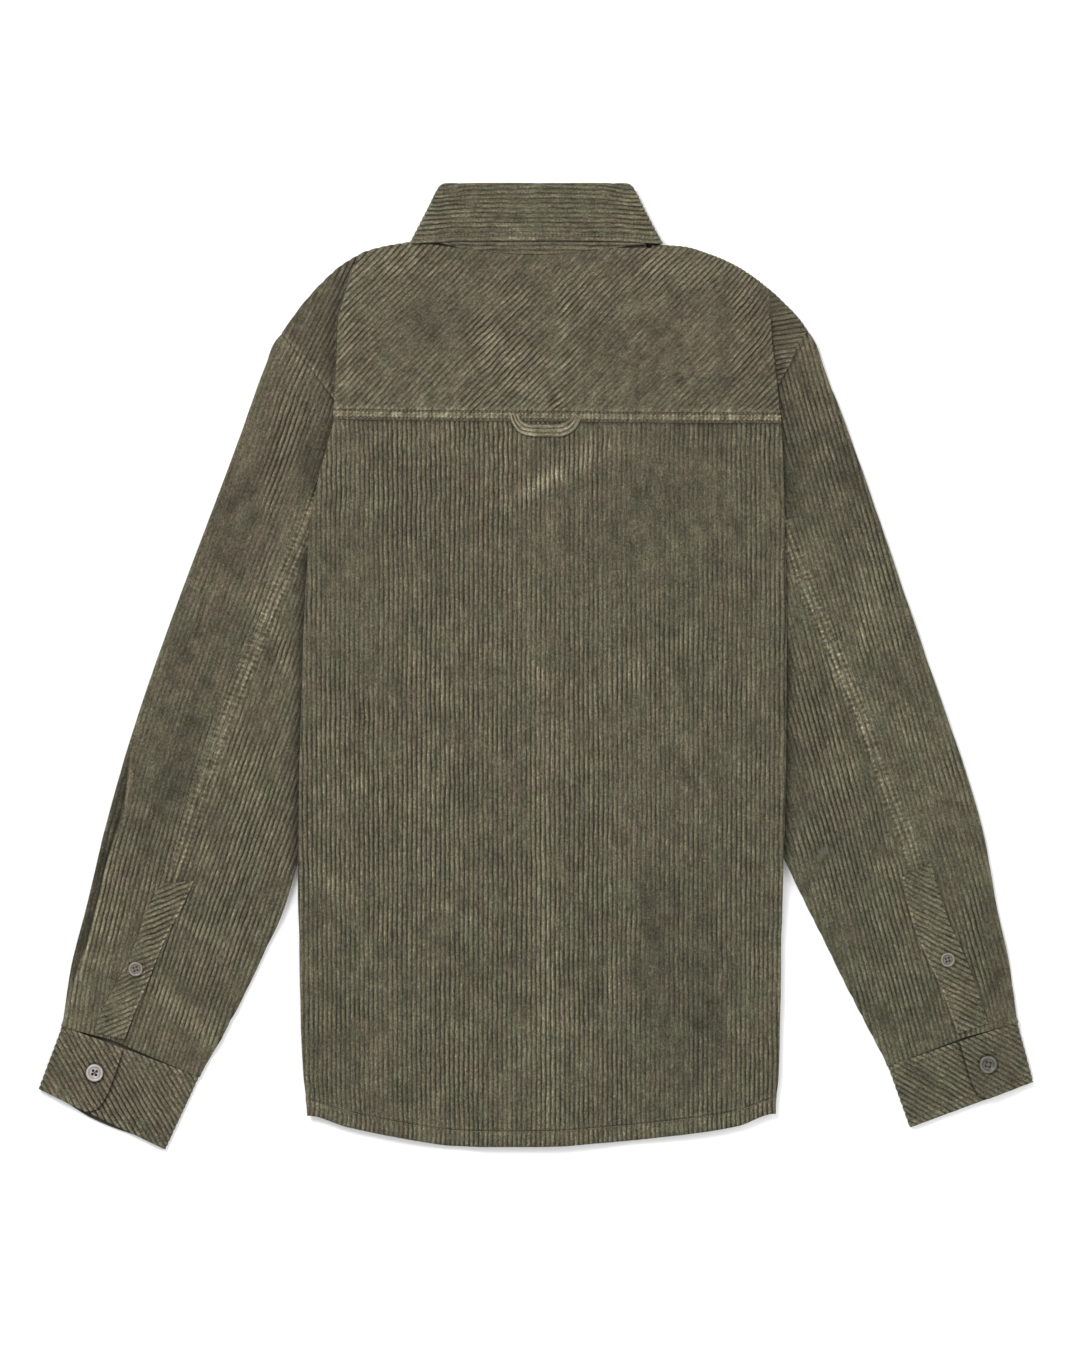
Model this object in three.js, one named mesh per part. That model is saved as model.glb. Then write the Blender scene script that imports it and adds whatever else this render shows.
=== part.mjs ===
// Corduroy overshirt (shacket) laid flat on its front, back up, millimetres, +Z up.
// +Y points to the collar and +X to the right of somebody looking down on the back.
// Every piece is one closed shell of cloth. Pieces are 0.3 mm apart at their seams.
// The sides are turned in between back and front, and the sleeves lie in those pockets.
import * as THREE from 'three';

// ---------------------------------------------------------------- driving dimensions
const CLOTH = 1.6;            // corduroy, crushed flat under its own weight
const HALF = CLOTH / 2;
const SEAM = 0.3;             // gap between two pieces where they are sewn together
const LAYER = 2.3;            // middle of one layer to the middle of the next one
const CUFF_CLOTH = 2.4;       // two plies of corduroy
const SLEEVE_LOFT = 5.2;      // middle to middle of the two layers of a free sleeve
const SLEEVE_PRESSED = 2.6;   // the same, where the body lies on it
const FRONT_OVERLAP = 17;     // each front passes the centre line by this
const BUTTON_LIFT = 3.0;      // the closed front stands this much off the ground on its buttons
const BUTTON_THICK = 2.6;
const CUFF_BUTTON = 15.2;
const PLACKET_BUTTON = 12.5;
const FRONT_BUTTON = 15.2;
const OVER_SLEEVE = 3.4;       // the same, where the turned-in back lies on a sleeve
const YOKE_STEP = [0, 0.13, 0.262, 0.44, 0.627, 0.74, 0.84, 0.92, 1];
const NECK_X = [-98, -68, -34, 0, 34, 68, 98];   // stations along the back neck seam
const COLOURS = {
  cloth: 0x5f5b4c, clothDark: 0x565244, cuff: 0x625e4f, button: 0x6b6757, buttonPale: 0x8a8279,
};

// side folds of the back, by height: where the cloth turns under
const FOLD = {
  left: [
    { y: 352, x: -149.6 }, { y: 348.1, x: -151.3 }, { y: 332, x: -158.1 }, { y: 313, x: -164 },
    { y: 299.6, x: -168.3 }, { y: 256, x: -170 }, { y: 229, x: -171.7 }, { y: 209.5, x: -171.7 },
    { y: 184, x: -178.5 }, { y: 150, x: -187 }, { y: 116, x: -192.1 }, { y: 73.5, x: -195.5 },
    { y: 14, x: -198 }, { y: -71, x: -200.6 }, { y: -156, x: -202.3 }, { y: -198.5, x: -202.3 },
    { y: -266.5, x: -201.4 }, { y: -317.5, x: -199.8 }, { y: -360, x: -197.2 }, { y: -382, x: -194.7 },
  ],
  right: [
    { y: 334, x: 189.5 }, { y: 326, x: 193.8 }, { y: 320, x: 198 }, { y: 286, x: 199.8 },
    { y: 252, x: 204 }, { y: 217, x: 207.4 }, { y: 206, x: 208.2 }, { y: 184, x: 209.9 },
    { y: 150, x: 210.8 }, { y: 116, x: 211.7 }, { y: 73.5, x: 212.5 }, { y: 14, x: 212.9 },
    { y: -71, x: 212.5 }, { y: -156, x: 211.2 }, { y: -198.5, x: 209.9 }, { y: -266.5, x: 208.2 },
    { y: -317.5, x: 207.4 }, { y: -360, x: 206.1 }, { y: -382, x: 204 },
  ],
};
// armhole seam down to the underarm, then the side seam down to the hem
const ARMHOLE = {
  left: [
    { y: 283.5, x: -216.8 }, { y: 256, x: -193.6 }, { y: 229.1, x: -173.4 }, { y: 209.5, x: -158.3 }, { y: 170.4, x: -144.5 }, { y: 116, x: -119 },
    { y: 56.5, x: -97 }, { y: 20, x: -103 }, { y: -100, x: -108 }, { y: -380, x: -112 },
  ],
  right: [
    { y: 285.2, x: 232 }, { y: 255.9, x: 215.5 }, { y: 227.2, x: 199.6 }, { y: 206.6, x: 191.2 }, { y: 170.4, x: 176 }, { y: 116, x: 145 },
    { y: 56.5, x: 110 }, { y: 20, x: 113 }, { y: -100, x: 118 }, { y: -380, x: 122 },
  ],
};
// height at which the armhole seam passes under the side fold
const CROSSING = { left: 229, right: 240 };
const UNDERARM = 56.5;
// innermost line of the hidden fold in the yoke, by height
const INNER_FOLD = { left: -155.5, right: 189.2 };
// outline of the shoulders, with the back neck seam between them
const TOP = [
  { x: -216.8, y: 283.5 }, { x: -209.1, y: 295.4 }, { x: -203.2, y: 303 }, { x: -189.5, y: 320 },
  { x: -172.5, y: 337 }, { x: -158.1, y: 346.8 }, { x: -141.9, y: 354 }, { x: -124.1, y: 356.7 },
  { x: -98, y: 356.8 }, { x: -68, y: 352.4 }, { x: -34, y: 349.9 }, { x: 0, y: 348.9 },
  { x: 34, y: 349.9 }, { x: 68, y: 352.4 }, { x: 98, y: 356.6 }, { x: 124, y: 356 },
  { x: 134.3, y: 354 }, { x: 156.4, y: 348.1 }, { x: 177.7, y: 337 }, { x: 201.4, y: 320 },
  { x: 218.4, y: 303 }, { x: 226.9, y: 292.8 }, { x: 232, y: 285.2 },
];
const NECK_HALF = 98;
// forward shoulder seam under the garment, then the front neckline to the centre
const FRONT_TOP = {
  left: [
    { x: -201, y: 264 }, { x: -143, y: 314 }, { x: -86, y: 333 }, { x: -76, y: 323.6 },
    { x: -42, y: 296 }, { x: -4, y: 285 }, { x: 17, y: 284.5 },
  ],
  right: [
    { x: 218.5, y: 262 }, { x: 152, y: 316 }, { x: 86, y: 333 }, { x: 76, y: 323.6 },
    { x: 42, y: 296 }, { x: 4, y: 285 }, { x: -17, y: 284.5 },
  ],
};
// hem of the back between the side folds
const HEM = [
  { x: -194.7, y: -381.2 }, { x: -183.6, y: -385.5 }, { x: -151.3, y: -394 }, { x: -107.1, y: -402.5 },
  { x: -73.1, y: -407.6 }, { x: -30.6, y: -408.8 }, { x: 20.4, y: -408 }, { x: 88.4, y: -402.5 },
  { x: 130.9, y: -397.4 }, { x: 163.2, y: -393.1 }, { x: 190.4, y: -385.5 }, { x: 204, y: -379.5 },
];
// sleeve sections: outer edge, back seam and inner (underarm) edge
const SLEEVE = {
  left: [
    { outX: -216.8, outY: 283.5, seamX: -155.3, seamY: 201, inX: -97, inY: 56.5 },
    { outX: -232.9, outY: 250.3, seamX: -175.1, seamY: 173, inX: -118.1, inY: 22.5 },
    { outX: -253.3, outY: 192.5, seamX: -195.5, seamY: 117.7, inX: -139.4, inY: -20 },
    { outX: -278.8, outY: 124.5, seamX: -220.2, seamY: 60.8, inX: -162.3, inY: -66.7 },
    { outX: -306, outY: 52.3, seamX: -244.8, seamY: 3, inX: -183.6, inY: -113.5 },
    { outX: -330.6, outY: -16.6, seamX: -266.9, seamY: -53.1, inX: -201.4, inY: -162.8 },
    { outX: -351.9, outY: -82.9, seamX: -283.9, seamY: -103.3, inX: -215, inY: -208 },
    { outX: -369.8, outY: -149.2, seamX: -300.1, seamY: -153.4, inX: -232.9, inY: -247 },
    { outX: -383.3, outY: -207, seamX: -316.2, seamY: -200.2, inX: -249, inY: -281 },
    { outX: -396.1, outY: -256.3, seamX: -337.4, seamY: -249.5, inX: -266.5, inY: -314 },
    { outX: -403.3, outY: -305.6, seamX: -362, seamY: -316.6, inX: -286.4, inY: -348.9 },
  ],
  right: [
    { outX: 232, outY: 285.2, seamX: 188.9, seamY: 201, inX: 110, inY: 56.5 },
    { outX: 246.5, outY: 250.3, seamX: 196, seamY: 173, inX: 127.5, inY: 22.5 },
    { outX: 268.6, outY: 192.5, seamX: 211, seamY: 117.7, inX: 148.8, inY: -20 },
    { outX: 292.4, outY: 124.5, seamX: 231.2, seamY: 65, inX: 171.7, inY: -66.7 },
    { outX: 317.1, outY: 52.3, seamX: 256.7, seamY: 5.5, inX: 192.1, inY: -113.5 },
    { outX: 340.8, outY: -16.6, seamX: 278.8, seamY: -47.2, inX: 209.5, inY: -160 },
    { outX: 363.8, outY: -82.9, seamX: 295.8, seamY: -96.5, inX: 226.9, inY: -197 },
    { outX: 382.5, outY: -149.2, seamX: 314.5, seamY: -145.8, inX: 247, inY: -237 },
    { outX: 391.8, outY: -202.7, seamX: 328.1, seamY: -192.5, inX: 263, inY: -270 },
    { outX: 402.9, outY: -253.7, seamX: 347.6, seamY: -245.2, inX: 280.5, inY: -304 },
    { outX: 409.7, outY: -302.2, seamX: 366, seamY: -314.3, inX: 299.2, inY: -339.6 },
  ],
};
// cuffs: the seam line above, the free edge below; lap = where the lapped end stops,
// tuck = where the end under it stops, both as a part of the width from the outer edge
const CUFF = {
  left: {
    seamOutX: -403.3, seamOutY: -305.6, seamInX: -286.4, seamInY: -348.9,
    edgeOutX: -423.3, edgeOutY: -359.1, edgeInX: -315.3, edgeInY: -411,
  },
  right: {
    seamOutX: 409.7, seamOutY: -302.2, seamInX: 299.2, seamInY: -339.6,
    edgeOutX: 423.3, edgeOutY: -353.2, edgeInX: 317.9, edgeInY: -392.3,
  },
};
const CUFF_ROWS = [
  { down: 0, lap: 0.447 }, { down: 0.4, lap: 0.45 }, { down: 0.75, lap: 0.445 },
  { down: 0.93, lap: 0.415 }, { down: 1, lap: 0.37 },
];
const CUFF_TUCK = 0.23;
// bias strips over the sleeve slits: the lapped edge and the sewn-down edge
const PLACKET = {
  left: [
    { openX: -290.7, openY: -182.3, sewnX: -318.8, sewnY: -184.5 },
    { openX: -301.8, openY: -206.5, sewnX: -329.8, sewnY: -205.3 },
    { openX: -313.7, openY: -228.2, sewnX: -337.9, sewnY: -228.2 },
    { openX: -322.6, openY: -249.5, sewnX: -346.8, sewnY: -249.5 },
    { openX: -331.5, openY: -272, sewnX: -357.9, sewnY: -272 },
    { openX: -341.7, openY: -295, sewnX: -368, sewnY: -290.5 },
    { openX: -350, openY: -317.2, sewnX: -375.4, sewnY: -310.6 },
  ],
  right: [
    { openX: 311.5, openY: -179, sewnX: 335.8, sewnY: -167 },
    { openX: 314.8, openY: -196.7, sewnX: 342.6, sewnY: -191.7 },
    { openX: 321.3, openY: -221.2, sewnX: 350.7, sewnY: -216.3 },
    { openX: 332.8, openY: -248.6, sewnX: 360.4, sewnY: -237.4 },
    { openX: 344.3, openY: -273.3, sewnX: 370.3, sewnY: -261.8 },
    { openX: 354, openY: -299.3, sewnX: 378.3, sewnY: -286 },
    { openX: 358.5, openY: -312, sewnX: 384.5, sewnY: -303.5 },
  ],
};
// half of the collar ring from the centre back round the side to the centre front
const COLLAR = [
  { z: 8.6, neckX: 0, neckY: 348.9, standX: 0, standY: 390, rollX: 0, rollY: 411, edgeX: 0, edgeY: 361.7 },
  { z: 8.6, neckX: 34, neckY: 349.9, standX: 32, standY: 390, rollX: 28.5, rollY: 411, edgeX: 37, edgeY: 361.6 },
  { z: 8.6, neckX: 68, neckY: 352.4, standX: 62, standY: 390, rollX: 56, rollY: 410.9, edgeX: 74, edgeY: 361 },
  { z: 8.6, neckX: 91, neckY: 355.8, standX: 84, standY: 390, rollX: 76.8, rollY: 410.7, edgeX: 102, edgeY: 359.9 },
  { z: 3.1, neckX: 91, neckY: 352, standX: 84, standY: 387, rollX: 76.8, rollY: 407, edgeX: 102, edgeY: 359 },
  { z: 3.1, neckX: 76, neckY: 324.3, standX: 68, standY: 361, rollX: 63, rollY: 380, edgeX: 84, edgeY: 313 },
  { z: 3.1, neckX: 42, neckY: 296.4, standX: 38, standY: 334, rollX: 36, rollY: 350, edgeX: 66, edgeY: 287 },
  { z: 3.8, neckX: 4, neckY: 285.4, standX: 4, standY: 321, rollX: 5, rollY: 325, edgeX: 49, edgeY: 268 },
  { z: 3.8, neckX: -12, neckY: 285.6, standX: -12, standY: 314, rollX: 0, rollY: 0, edgeX: 0, edgeY: 0 },
];
const COLLAR_SIDE = 3;                       // the side fold follows this row
const RIGHT_FRONT_RAISE = [0, 0, 0, 0, 0, 0, 0.5, 2.3, 2.3];
// locker loop, laid flat in a shallow U: outer and inner line
const LOOP = [
  { outX: -19.6, outY: 219.5, inX: -11.2, inY: 219.5 }, { outX: -19, outY: 206.5, inX: -10.8, inY: 210 },
  { outX: -12, outY: 198, inX: -6, inY: 206.8 }, { outX: 4, outY: 195, inX: 5, inY: 206.3 },
  { outX: 20, outY: 195, inX: 19, inY: 206.6 }, { outX: 29, outY: 200.5, inX: 24, inY: 209.5 },
  { outX: 32.6, outY: 207.5, inX: 24.7, inY: 213 }, { outX: 32.8, outY: 219.5, inX: 24.7, inY: 219.5 },
];
const FRONT_BUTTONS = [
  { name: 'collar_button', y: 301 }, { name: 'front_button_1', y: 250 }, { name: 'front_button_2', y: 155 },
  { name: 'front_button_3', y: 60 }, { name: 'front_button_4', y: -35 }, { name: 'front_button_5', y: -130 },
  { name: 'front_button_6', y: -225 },
];
const BACK_ROWS = [209.5, 184, 150, 116, 84, 56.5, 20, -35, -90, -140, -190, -240, -300, -350, -382];
const FRONT_ROWS = [11, 3, -4, -12, -26, -70, -120];   // about the crossing height
const FRONT_ROWS_LOW = [56.5, 15, -80, -180, -280, -375];

// ---------------------------------------------------------------- small tools
const mix = (a, b, t) => a + (b - a) * t;
const soft = (t) => { const c = Math.min(1, Math.max(0, t)); return c * c * (3 - 2 * c); };
function look(table, key, col, at) {
  const up = table[table.length - 1][key] > table[0][key];
  let k = 0;
  while (k < table.length - 2 && (up ? at > table[k + 1][key] : at < table[k + 1][key])) k += 1;
  const a = table[k], b = table[k + 1];
  return mix(a[col], b[col], (at - a[key]) / (b[key] - a[key]));
}
const range = (n) => [...Array(n).keys()];
const V = (x, y, z) => new THREE.Vector3(x, y, z);
const SIGN = { left: -1, right: 1 };

// a closed shell of the given thickness about a grid of points on its middle surface
function shell(grid, thickness, active = () => true) {
  const n = grid.length, m = grid[0].length;
  const tangent = (a, b, c) => {
    const t1 = a ? b.clone().sub(a).normalize() : null;
    const t2 = c ? c.clone().sub(b).normalize() : null;
    if (!t1) return [t2, 1];
    if (!t2) return [t1, 1];
    const t = t1.clone().add(t2).normalize();
    return [t, Math.min(1.35, 1 / Math.max(0.5, t.dot(t1)))];
  };
  const near = (i, j) => range(4).some((k) => {
    const a = i - (k & 1), b = j - (k >> 1);
    return a >= 0 && b >= 0 && a < n - 1 && b < m - 1 && active(a, b);
  });
  const ok = (i, j) => i >= 0 && j >= 0 && i < n && j < m && near(i, j);
  const face = [], back = [];
  for (let i = 0; i < n; i++) for (let j = 0; j < m; j++) {
    if (!near(i, j)) { face.push(null); back.push(null); continue; }
    const P = grid[i][j];
    const [tu, ku] = tangent(ok(i - 1, j) ? grid[i - 1][j] : null, P, ok(i + 1, j) ? grid[i + 1][j] : null);
    const [tv, kv] = tangent(ok(i, j - 1) ? grid[i][j - 1] : null, P, ok(i, j + 1) ? grid[i][j + 1] : null);
    const nrm = tu.clone().cross(tv).normalize().multiplyScalar(thickness / 2 * Math.max(ku, kv));
    face.push(P.clone().add(nrm));
    back.push(P.clone().sub(nrm));
    for (const q of [face[face.length - 1], back[back.length - 1]]) if (q.z < 0) q.z = 0;
  }
  const points = [], number = new Map();
  const id = (side, i, j) => {
    const key = side * n * m + i * m + j;
    if (!number.has(key)) {
      number.set(key, points.length / 3);
      const p = (side ? back : face)[i * m + j];
      points.push(p.x, p.y, p.z);
    }
    return number.get(key);
  };
  const tris = [];
  const quad = (a, b, c, d) => tris.push(a, b, c, a, c, d);
  const on = (i, j) => i >= 0 && j >= 0 && i < n - 1 && j < m - 1 && active(i, j);
  for (let i = 0; i < n - 1; i++) for (let j = 0; j < m - 1; j++) {
    if (!on(i, j)) continue;
    quad(id(0, i, j), id(0, i + 1, j), id(0, i + 1, j + 1), id(0, i, j + 1));
    quad(id(1, i, j), id(1, i, j + 1), id(1, i + 1, j + 1), id(1, i + 1, j));
    if (!on(i, j - 1)) quad(id(0, i, j), id(1, i, j), id(1, i + 1, j), id(0, i + 1, j));
    if (!on(i + 1, j)) quad(id(0, i + 1, j), id(1, i + 1, j), id(1, i + 1, j + 1), id(0, i + 1, j + 1));
    if (!on(i, j + 1)) quad(id(0, i + 1, j + 1), id(1, i + 1, j + 1), id(1, i, j + 1), id(0, i, j + 1));
    if (!on(i - 1, j)) quad(id(0, i, j + 1), id(1, i, j + 1), id(1, i, j), id(0, i, j));
  }
  let volume = 0;
  const q = (k) => V(points[3 * k], points[3 * k + 1], points[3 * k + 2]);
  for (let k = 0; k < tris.length; k += 3) volume += q(tris[k]).dot(q(tris[k + 1]).cross(q(tris[k + 2])));
  if (volume < 0) for (let k = 0; k < tris.length; k += 3) [tris[k + 1], tris[k + 2]] = [tris[k + 2], tris[k + 1]];
  const g = new THREE.BufferGeometry();
  g.setAttribute('position', new THREE.Float32BufferAttribute(points, 3));
  g.setIndex(tris);
  g.computeVertexNormals();
  return g;
}

const group = new THREE.Group();
group.name = 'shacket';
function add(name, geometry, color, roughness = 0.95) {
  const mesh = new THREE.Mesh(geometry, new THREE.MeshStandardMaterial({ color, roughness, metalness: 0 }));
  mesh.name = name;
  group.add(mesh);
  return mesh;
}

// ---------------------------------------------------------------- heights of the layers
const foldX = (side, y) => look(FOLD[side], 'y', 'x', y);
const armX = (side, y) => look(ARMHOLE[side], 'y', 'x', y);
const topY = (x) => look(TOP, 'x', 'y', x);
const hemY = (x) => look(HEM, 'x', 'y', x);
const yokeSeamY = (x) => 209.8 - 0.0092 * (x + 171.7);
const innerEdge = { left: [], right: [] };
for (const side of ['left', 'right']) {
  innerEdge[side] = SLEEVE[side].map((r) => ({ y: r.inY, x: r.inX }));
}
// 1 where the body lies on the sleeve, 0 from 30 mm outside its edge
function cover(side, x, y) {
  const byX = soft((Math.abs(foldX(side, y)) + 30 - Math.abs(x)) / 24);
  const byTop = soft((CROSSING[side] + 36 - y) / 34);
  const byLow = soft((y + 262) / 60);
  return byX * byTop * byLow;
}
const sleeveLow = (side, x, y) => HALF + 2 * LAYER * cover(side, x, y);
const sleeveUp = (side, x, y) => sleeveLow(side, x, y) + mix(SLEEVE_LOFT, SLEEVE_PRESSED, cover(side, x, y));
// 1 where a sleeve lies inside the turned-in side, 0 from 28 mm beyond its inner edge
function sleeveZone(side, x, y) {
  const bound = y > UNDERARM ? armX(side, y) : look(innerEdge[side], 'y', 'x', y);
  return soft((44 + Math.abs(x) - Math.abs(bound)) / 40);
}
const tuckZ = (side, x, y) => mix(HALF + 2 * LAYER, sleeveUp(side, x, y) + OVER_SLEEVE, sleeveZone(side, x, y));
const frontTuckZ = HALF + LAYER;
// lift of the closed front on its buttons, and of the fronts on the collar ends
const nearCollar = (x, y) => soft((y - 222) / 28) * soft((138 - Math.abs(x)) / 28);
const buttonStrip = (x) => soft((60 - Math.abs(x)) / 38);
const frontZ = (x, y) => HALF + Math.max(LAYER * nearCollar(x, y), BUTTON_LIFT * buttonStrip(x));
const rightFrontZ = (x, y) => HALF + Math.max(LAYER * nearCollar(x, y), (BUTTON_LIFT + LAYER) * soft((75 - x) / 52));
function centreZ(x, y) {
  return HALF + 5 + 2.8 * Math.max(soft((72 - Math.abs(x - 2)) / 40), nearCollar(x, y));
}
// middle surface of the back's upper layer
function backZ(x, y) {
  const side = x < 0 ? 'left' : 'right';
  const bound = Math.abs(y > 209.5 ? INNER_FOLD[side] : armX(side, y));
  const w = soft((Math.abs(x) - (bound - 45)) / 45);
  return mix(centreZ(x, y), tuckZ(side, x, y) + LAYER, w);
}

// arc of a fold between two layers; returns points from the first layer to the second
// c = centre in plan, out = unit direction away from the cloth, z1 -> z2
function foldArc(cx, cy, ox, oy, z1, z2, radius, steps = 3) {
  return range(steps).map((k) => {
    const a = Math.PI * (k + 1) / (steps + 1);
    return V(cx + ox * radius * Math.sin(a), cy + oy * radius * Math.sin(a), (z1 + z2) / 2 - (z2 - z1) / 2 * Math.cos(a));
  });
}
const R_FOLD = LAYER / 2;

// ---------------------------------------------------------------- back
function backBody() {
  const rows = BACK_ROWS.map((y0, k) => {
    const v = (BACK_ROWS[0] - y0) / (BACK_ROWS[0] - BACK_ROWS[BACK_ROWS.length - 1]);
    const yTop = (x) => yokeSeamY(x) - SEAM / 2;
    const yAt = (x) => mix(yTop(x), hemY(x), v);
    const side = (name) => {
      const s = SIGN[name];
      const xf = foldX(name, y0), xt = armX(name, y0);
      const centre = xf - s * (HALF + R_FOLD);
      const hemIn = (x) => hemY(xf) + 19 * (Math.abs(xf) - Math.abs(x)) / (Math.abs(xf) - Math.abs(xt));
      const yT = (x) => mix(yTop(x), hemIn(x), v);
      const list = [];
      const zEnd = tuckZ(name, xt, yT(xt));
      list.push(V(xt - s * 0.6, yT(xt), zEnd - 0.4));
      for (const t of [0, 0.33, 0.67, 1]) {
        const x = mix(xt, centre, t);
        list.push(V(x, yT(x), tuckZ(name, x, yT(x))));
      }
      const zl = tuckZ(name, centre, yT(centre)), zu = backZ(centre, yAt(centre));
      list.push(...foldArc(centre, yAt(centre), s, 0, zl, zu, R_FOLD));
      return { list, centre };
    };
    const L = side('left'), R = side('right');
    const n = 13;
    const top = range(n + 1).map((i) => {
      const x = mix(L.centre, R.centre, i / n);
      return V(x, yAt(x), backZ(x, yAt(x)));
    });
    return [...L.list, ...top, ...R.list.reverse()];
  });
  add('back_body', shell(rows, CLOTH), COLOURS.cloth);
}

// ---------------------------------------------------------------- yoke
// One row runs from the left armhole over the hidden inner fold and the side fold across
// the back to the right armhole. The fold runs out at the shoulder.
function yoke() {
  const NX = 5;                               // steps in the part beyond the side fold
  const x0 = -147.3, x1 = 190.7;               // side folds at the shoulder line
  const across = [0, 0.073, ...NECK_X.map((x) => (x - x0) / (x1 - x0)), 0.8, 0.87, 0.94, 1];
  const reach = { left: 348.1, right: 324.2 };
  const edgeTopZ = (x) => mix(HALF + SLEEVE_LOFT, 8.6, soft((135 - Math.abs(x)) / 30));
  const beyond = (name, v) => {
    const s = SIGN[name];
    const arm = ARMHOLE[name];
    const ay = mix(arm[3].y + 0.3, arm[0].y, v);
    const A = { x: armX(name, ay) - s * SEAM / 2, y: ay };
    const fy = mix(yokeSeamY(foldX(name, 209.5)), reach[name], v);
    const xf = foldX(name, fy);
    const folded = 1 - soft((v - 0.6) / 0.28);           // depth of the fold
    const step = 1 - soft((v - 0.84) / 0.16);            // height of the fold
    const innerFull = INNER_FOLD[name];
    const xi = mix(xf + s * 1.5, innerFull, folded);
    return { s, A, fy, xf, xi, folded, step };
  };
  const stationsBeyond = (name, v) => {
    const b = beyond(name, v);
    const one = beyond(name, 1);
    const s = b.s;
    const low = (x, y) => mix(sleeveUp(name, x, y), HALF + SLEEVE_LOFT, soft((v - 0.6) / 0.4));
    const list = [];
    const cI = b.xi + s * (HALF + R_FOLD) * b.folded;    // centre of the inner fold
    const end = { x: cI + s * 0.6 * (1 - b.folded), y: b.fy };
    for (const i of range(NX + 1)) {
      const t = i / NX;
      const x = mix(b.A.x, end.x, t), y1 = mix(b.A.y, end.y, t);
      const xo = mix(one.A.x, one.xf + s * 3, t), yo = mix(one.A.y, one.fy, t);
      const y = y1 + v * v * (topY(xo) - yo) * (i === 0 ? 0 : 1);
      list.push(V(x, y, low(x, y)));
    }
    const last = list[list.length - 1];
    const yF = mix(yokeSeamY(b.xf), topY(b.xf), v);
    const zA = last.z;
    const zTop = mix(zA, mix(backZ(b.xf - s * 2, yF), zA + 2 * LAYER, 1), b.step);
    const zMid = (zA + zTop) / 2;
    const cF = b.xf - s * (HALF + R_FOLD) * b.folded;    // centre of the side fold
    if (b.folded > 0.5) {
      list.push(...foldArc(cI, last.y, -s, 0, zA, zMid, R_FOLD));
      list.push(V(mix(cI, cF, 0.04), mix(last.y, yF, 0.04), zMid));
      list.push(V(mix(cI, cF, 0.96), mix(last.y, yF, 0.96), zMid));
      list.push(...foldArc(cF, yF, s, 0, zMid, zTop, R_FOLD));
    } else {
      // the step alone: a soft S between the two heights
      const x0 = last.x, x1 = b.xf - s * 4;
      for (const k of range(8)) {
        const t = (k + 1) / 9;
        list.push(V(mix(x0, x1, t), mix(last.y, mix(yokeSeamY(x1), topY(x1), v), t), mix(zA, zTop, soft(t))));
      }
    }
    return { list, x: b.folded > 0.5 ? cF : b.xf - s * 4, z: zTop };
  };
  const rows = YOKE_STEP.map((v) => {
    const L = stationsBeyond('left', v), R = stationsBeyond('right', v);
    const top = across.map((f) => {
      const x = mix(L.x, R.x, f);
      const y = mix(yokeSeamY(x) + SEAM / 2, topY(x) - (Math.abs(x) < NECK_HALF ? SEAM / 2 : 0), v);
      const w = soft(Math.min(f, 1 - f) / 0.2);
      const flank = f < 0.5 ? L.z : R.z;
      const inner = mix(backZ(x, Math.min(y, 345)), edgeTopZ(x), soft((v - 0.72) / 0.28) * (Math.abs(x) < NECK_HALF ? 0 : 1));
      return V(x, y, mix(flank, inner, w));
    });
    return [...L.list, ...top, ...R.list.reverse()];
  });
  // bring the lower row to the seam, and round the shoulders down to the forward seam
  rows[0].forEach((p) => { p.y = yokeSeamY(p.x) + SEAM / 2; });
  const m = rows[0].length;
  const last = rows[rows.length - 1];
  const neckFrom = last.findIndex((p) => p.x > -NECK_HALF - 0.5);
  const neckTo = m - 1 - [...last].reverse().findIndex((p) => p.x < NECK_HALF + 0.5);
  const wrap = range(6).map(() => []);
  const arc = [0.25, 0.5, 0.75, 1];
  last.forEach((p, j) => {
    const left = j <= neckFrom, right = j >= neckTo;
    if (!left && !right) { wrap.forEach((w) => w.push(p.clone())); return; }
    const name = left ? 'left' : 'right';
    const a = last[Math.max(0, j - 1)], b = last[Math.min(m - 1, j + 1)];
    const tx = b.x - a.x, ty = b.y - a.y, tl = Math.hypot(tx, ty);
    const ox = -ty / tl, oy = tx / tl;
    const zBot = frontZ(p.x, p.y);
    const r = (p.z - zBot) / 2;
    const out = V(p.x, p.y, p.z);
    p.x -= ox * (r + HALF); p.y -= oy * (r + HALF);
    arc.forEach((t, k) => {
      const ang = Math.PI * t;
      wrap[k].push(V(p.x + ox * r * Math.sin(ang), p.y + oy * r * Math.sin(ang), (out.z + zBot) / 2 + r * Math.cos(ang)));
    });
    const count = left ? neckFrom : m - 1 - neckTo;
    const t = left ? j / count : (m - 1 - j) / count;
    const table = FRONT_TOP[name].slice(0, 3);
    const half = Math.round(count / 2), at = Math.round(t * count);
    const sx = at <= half ? mix(table[0].x, table[1].x, at / half) : mix(table[1].x, table[2].x, (at - half) / (count - half));
    const sy = look(table, 'x', 'y', sx) + SEAM / 2;
    [0.5, 1].forEach((d, k) => {
      const x = mix(p.x, sx, d), y = mix(p.y, sy, d);
      wrap[4 + k].push(V(x, y, frontZ(x, y)));
    });
  });
  const all = [...rows, ...wrap];
  const solid = (i, j) => i < rows.length - 1 || j < neckFrom || j >= neckTo;
  add('back_yoke', shell(all, CLOTH, solid), COLOURS.clothDark);
}

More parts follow.
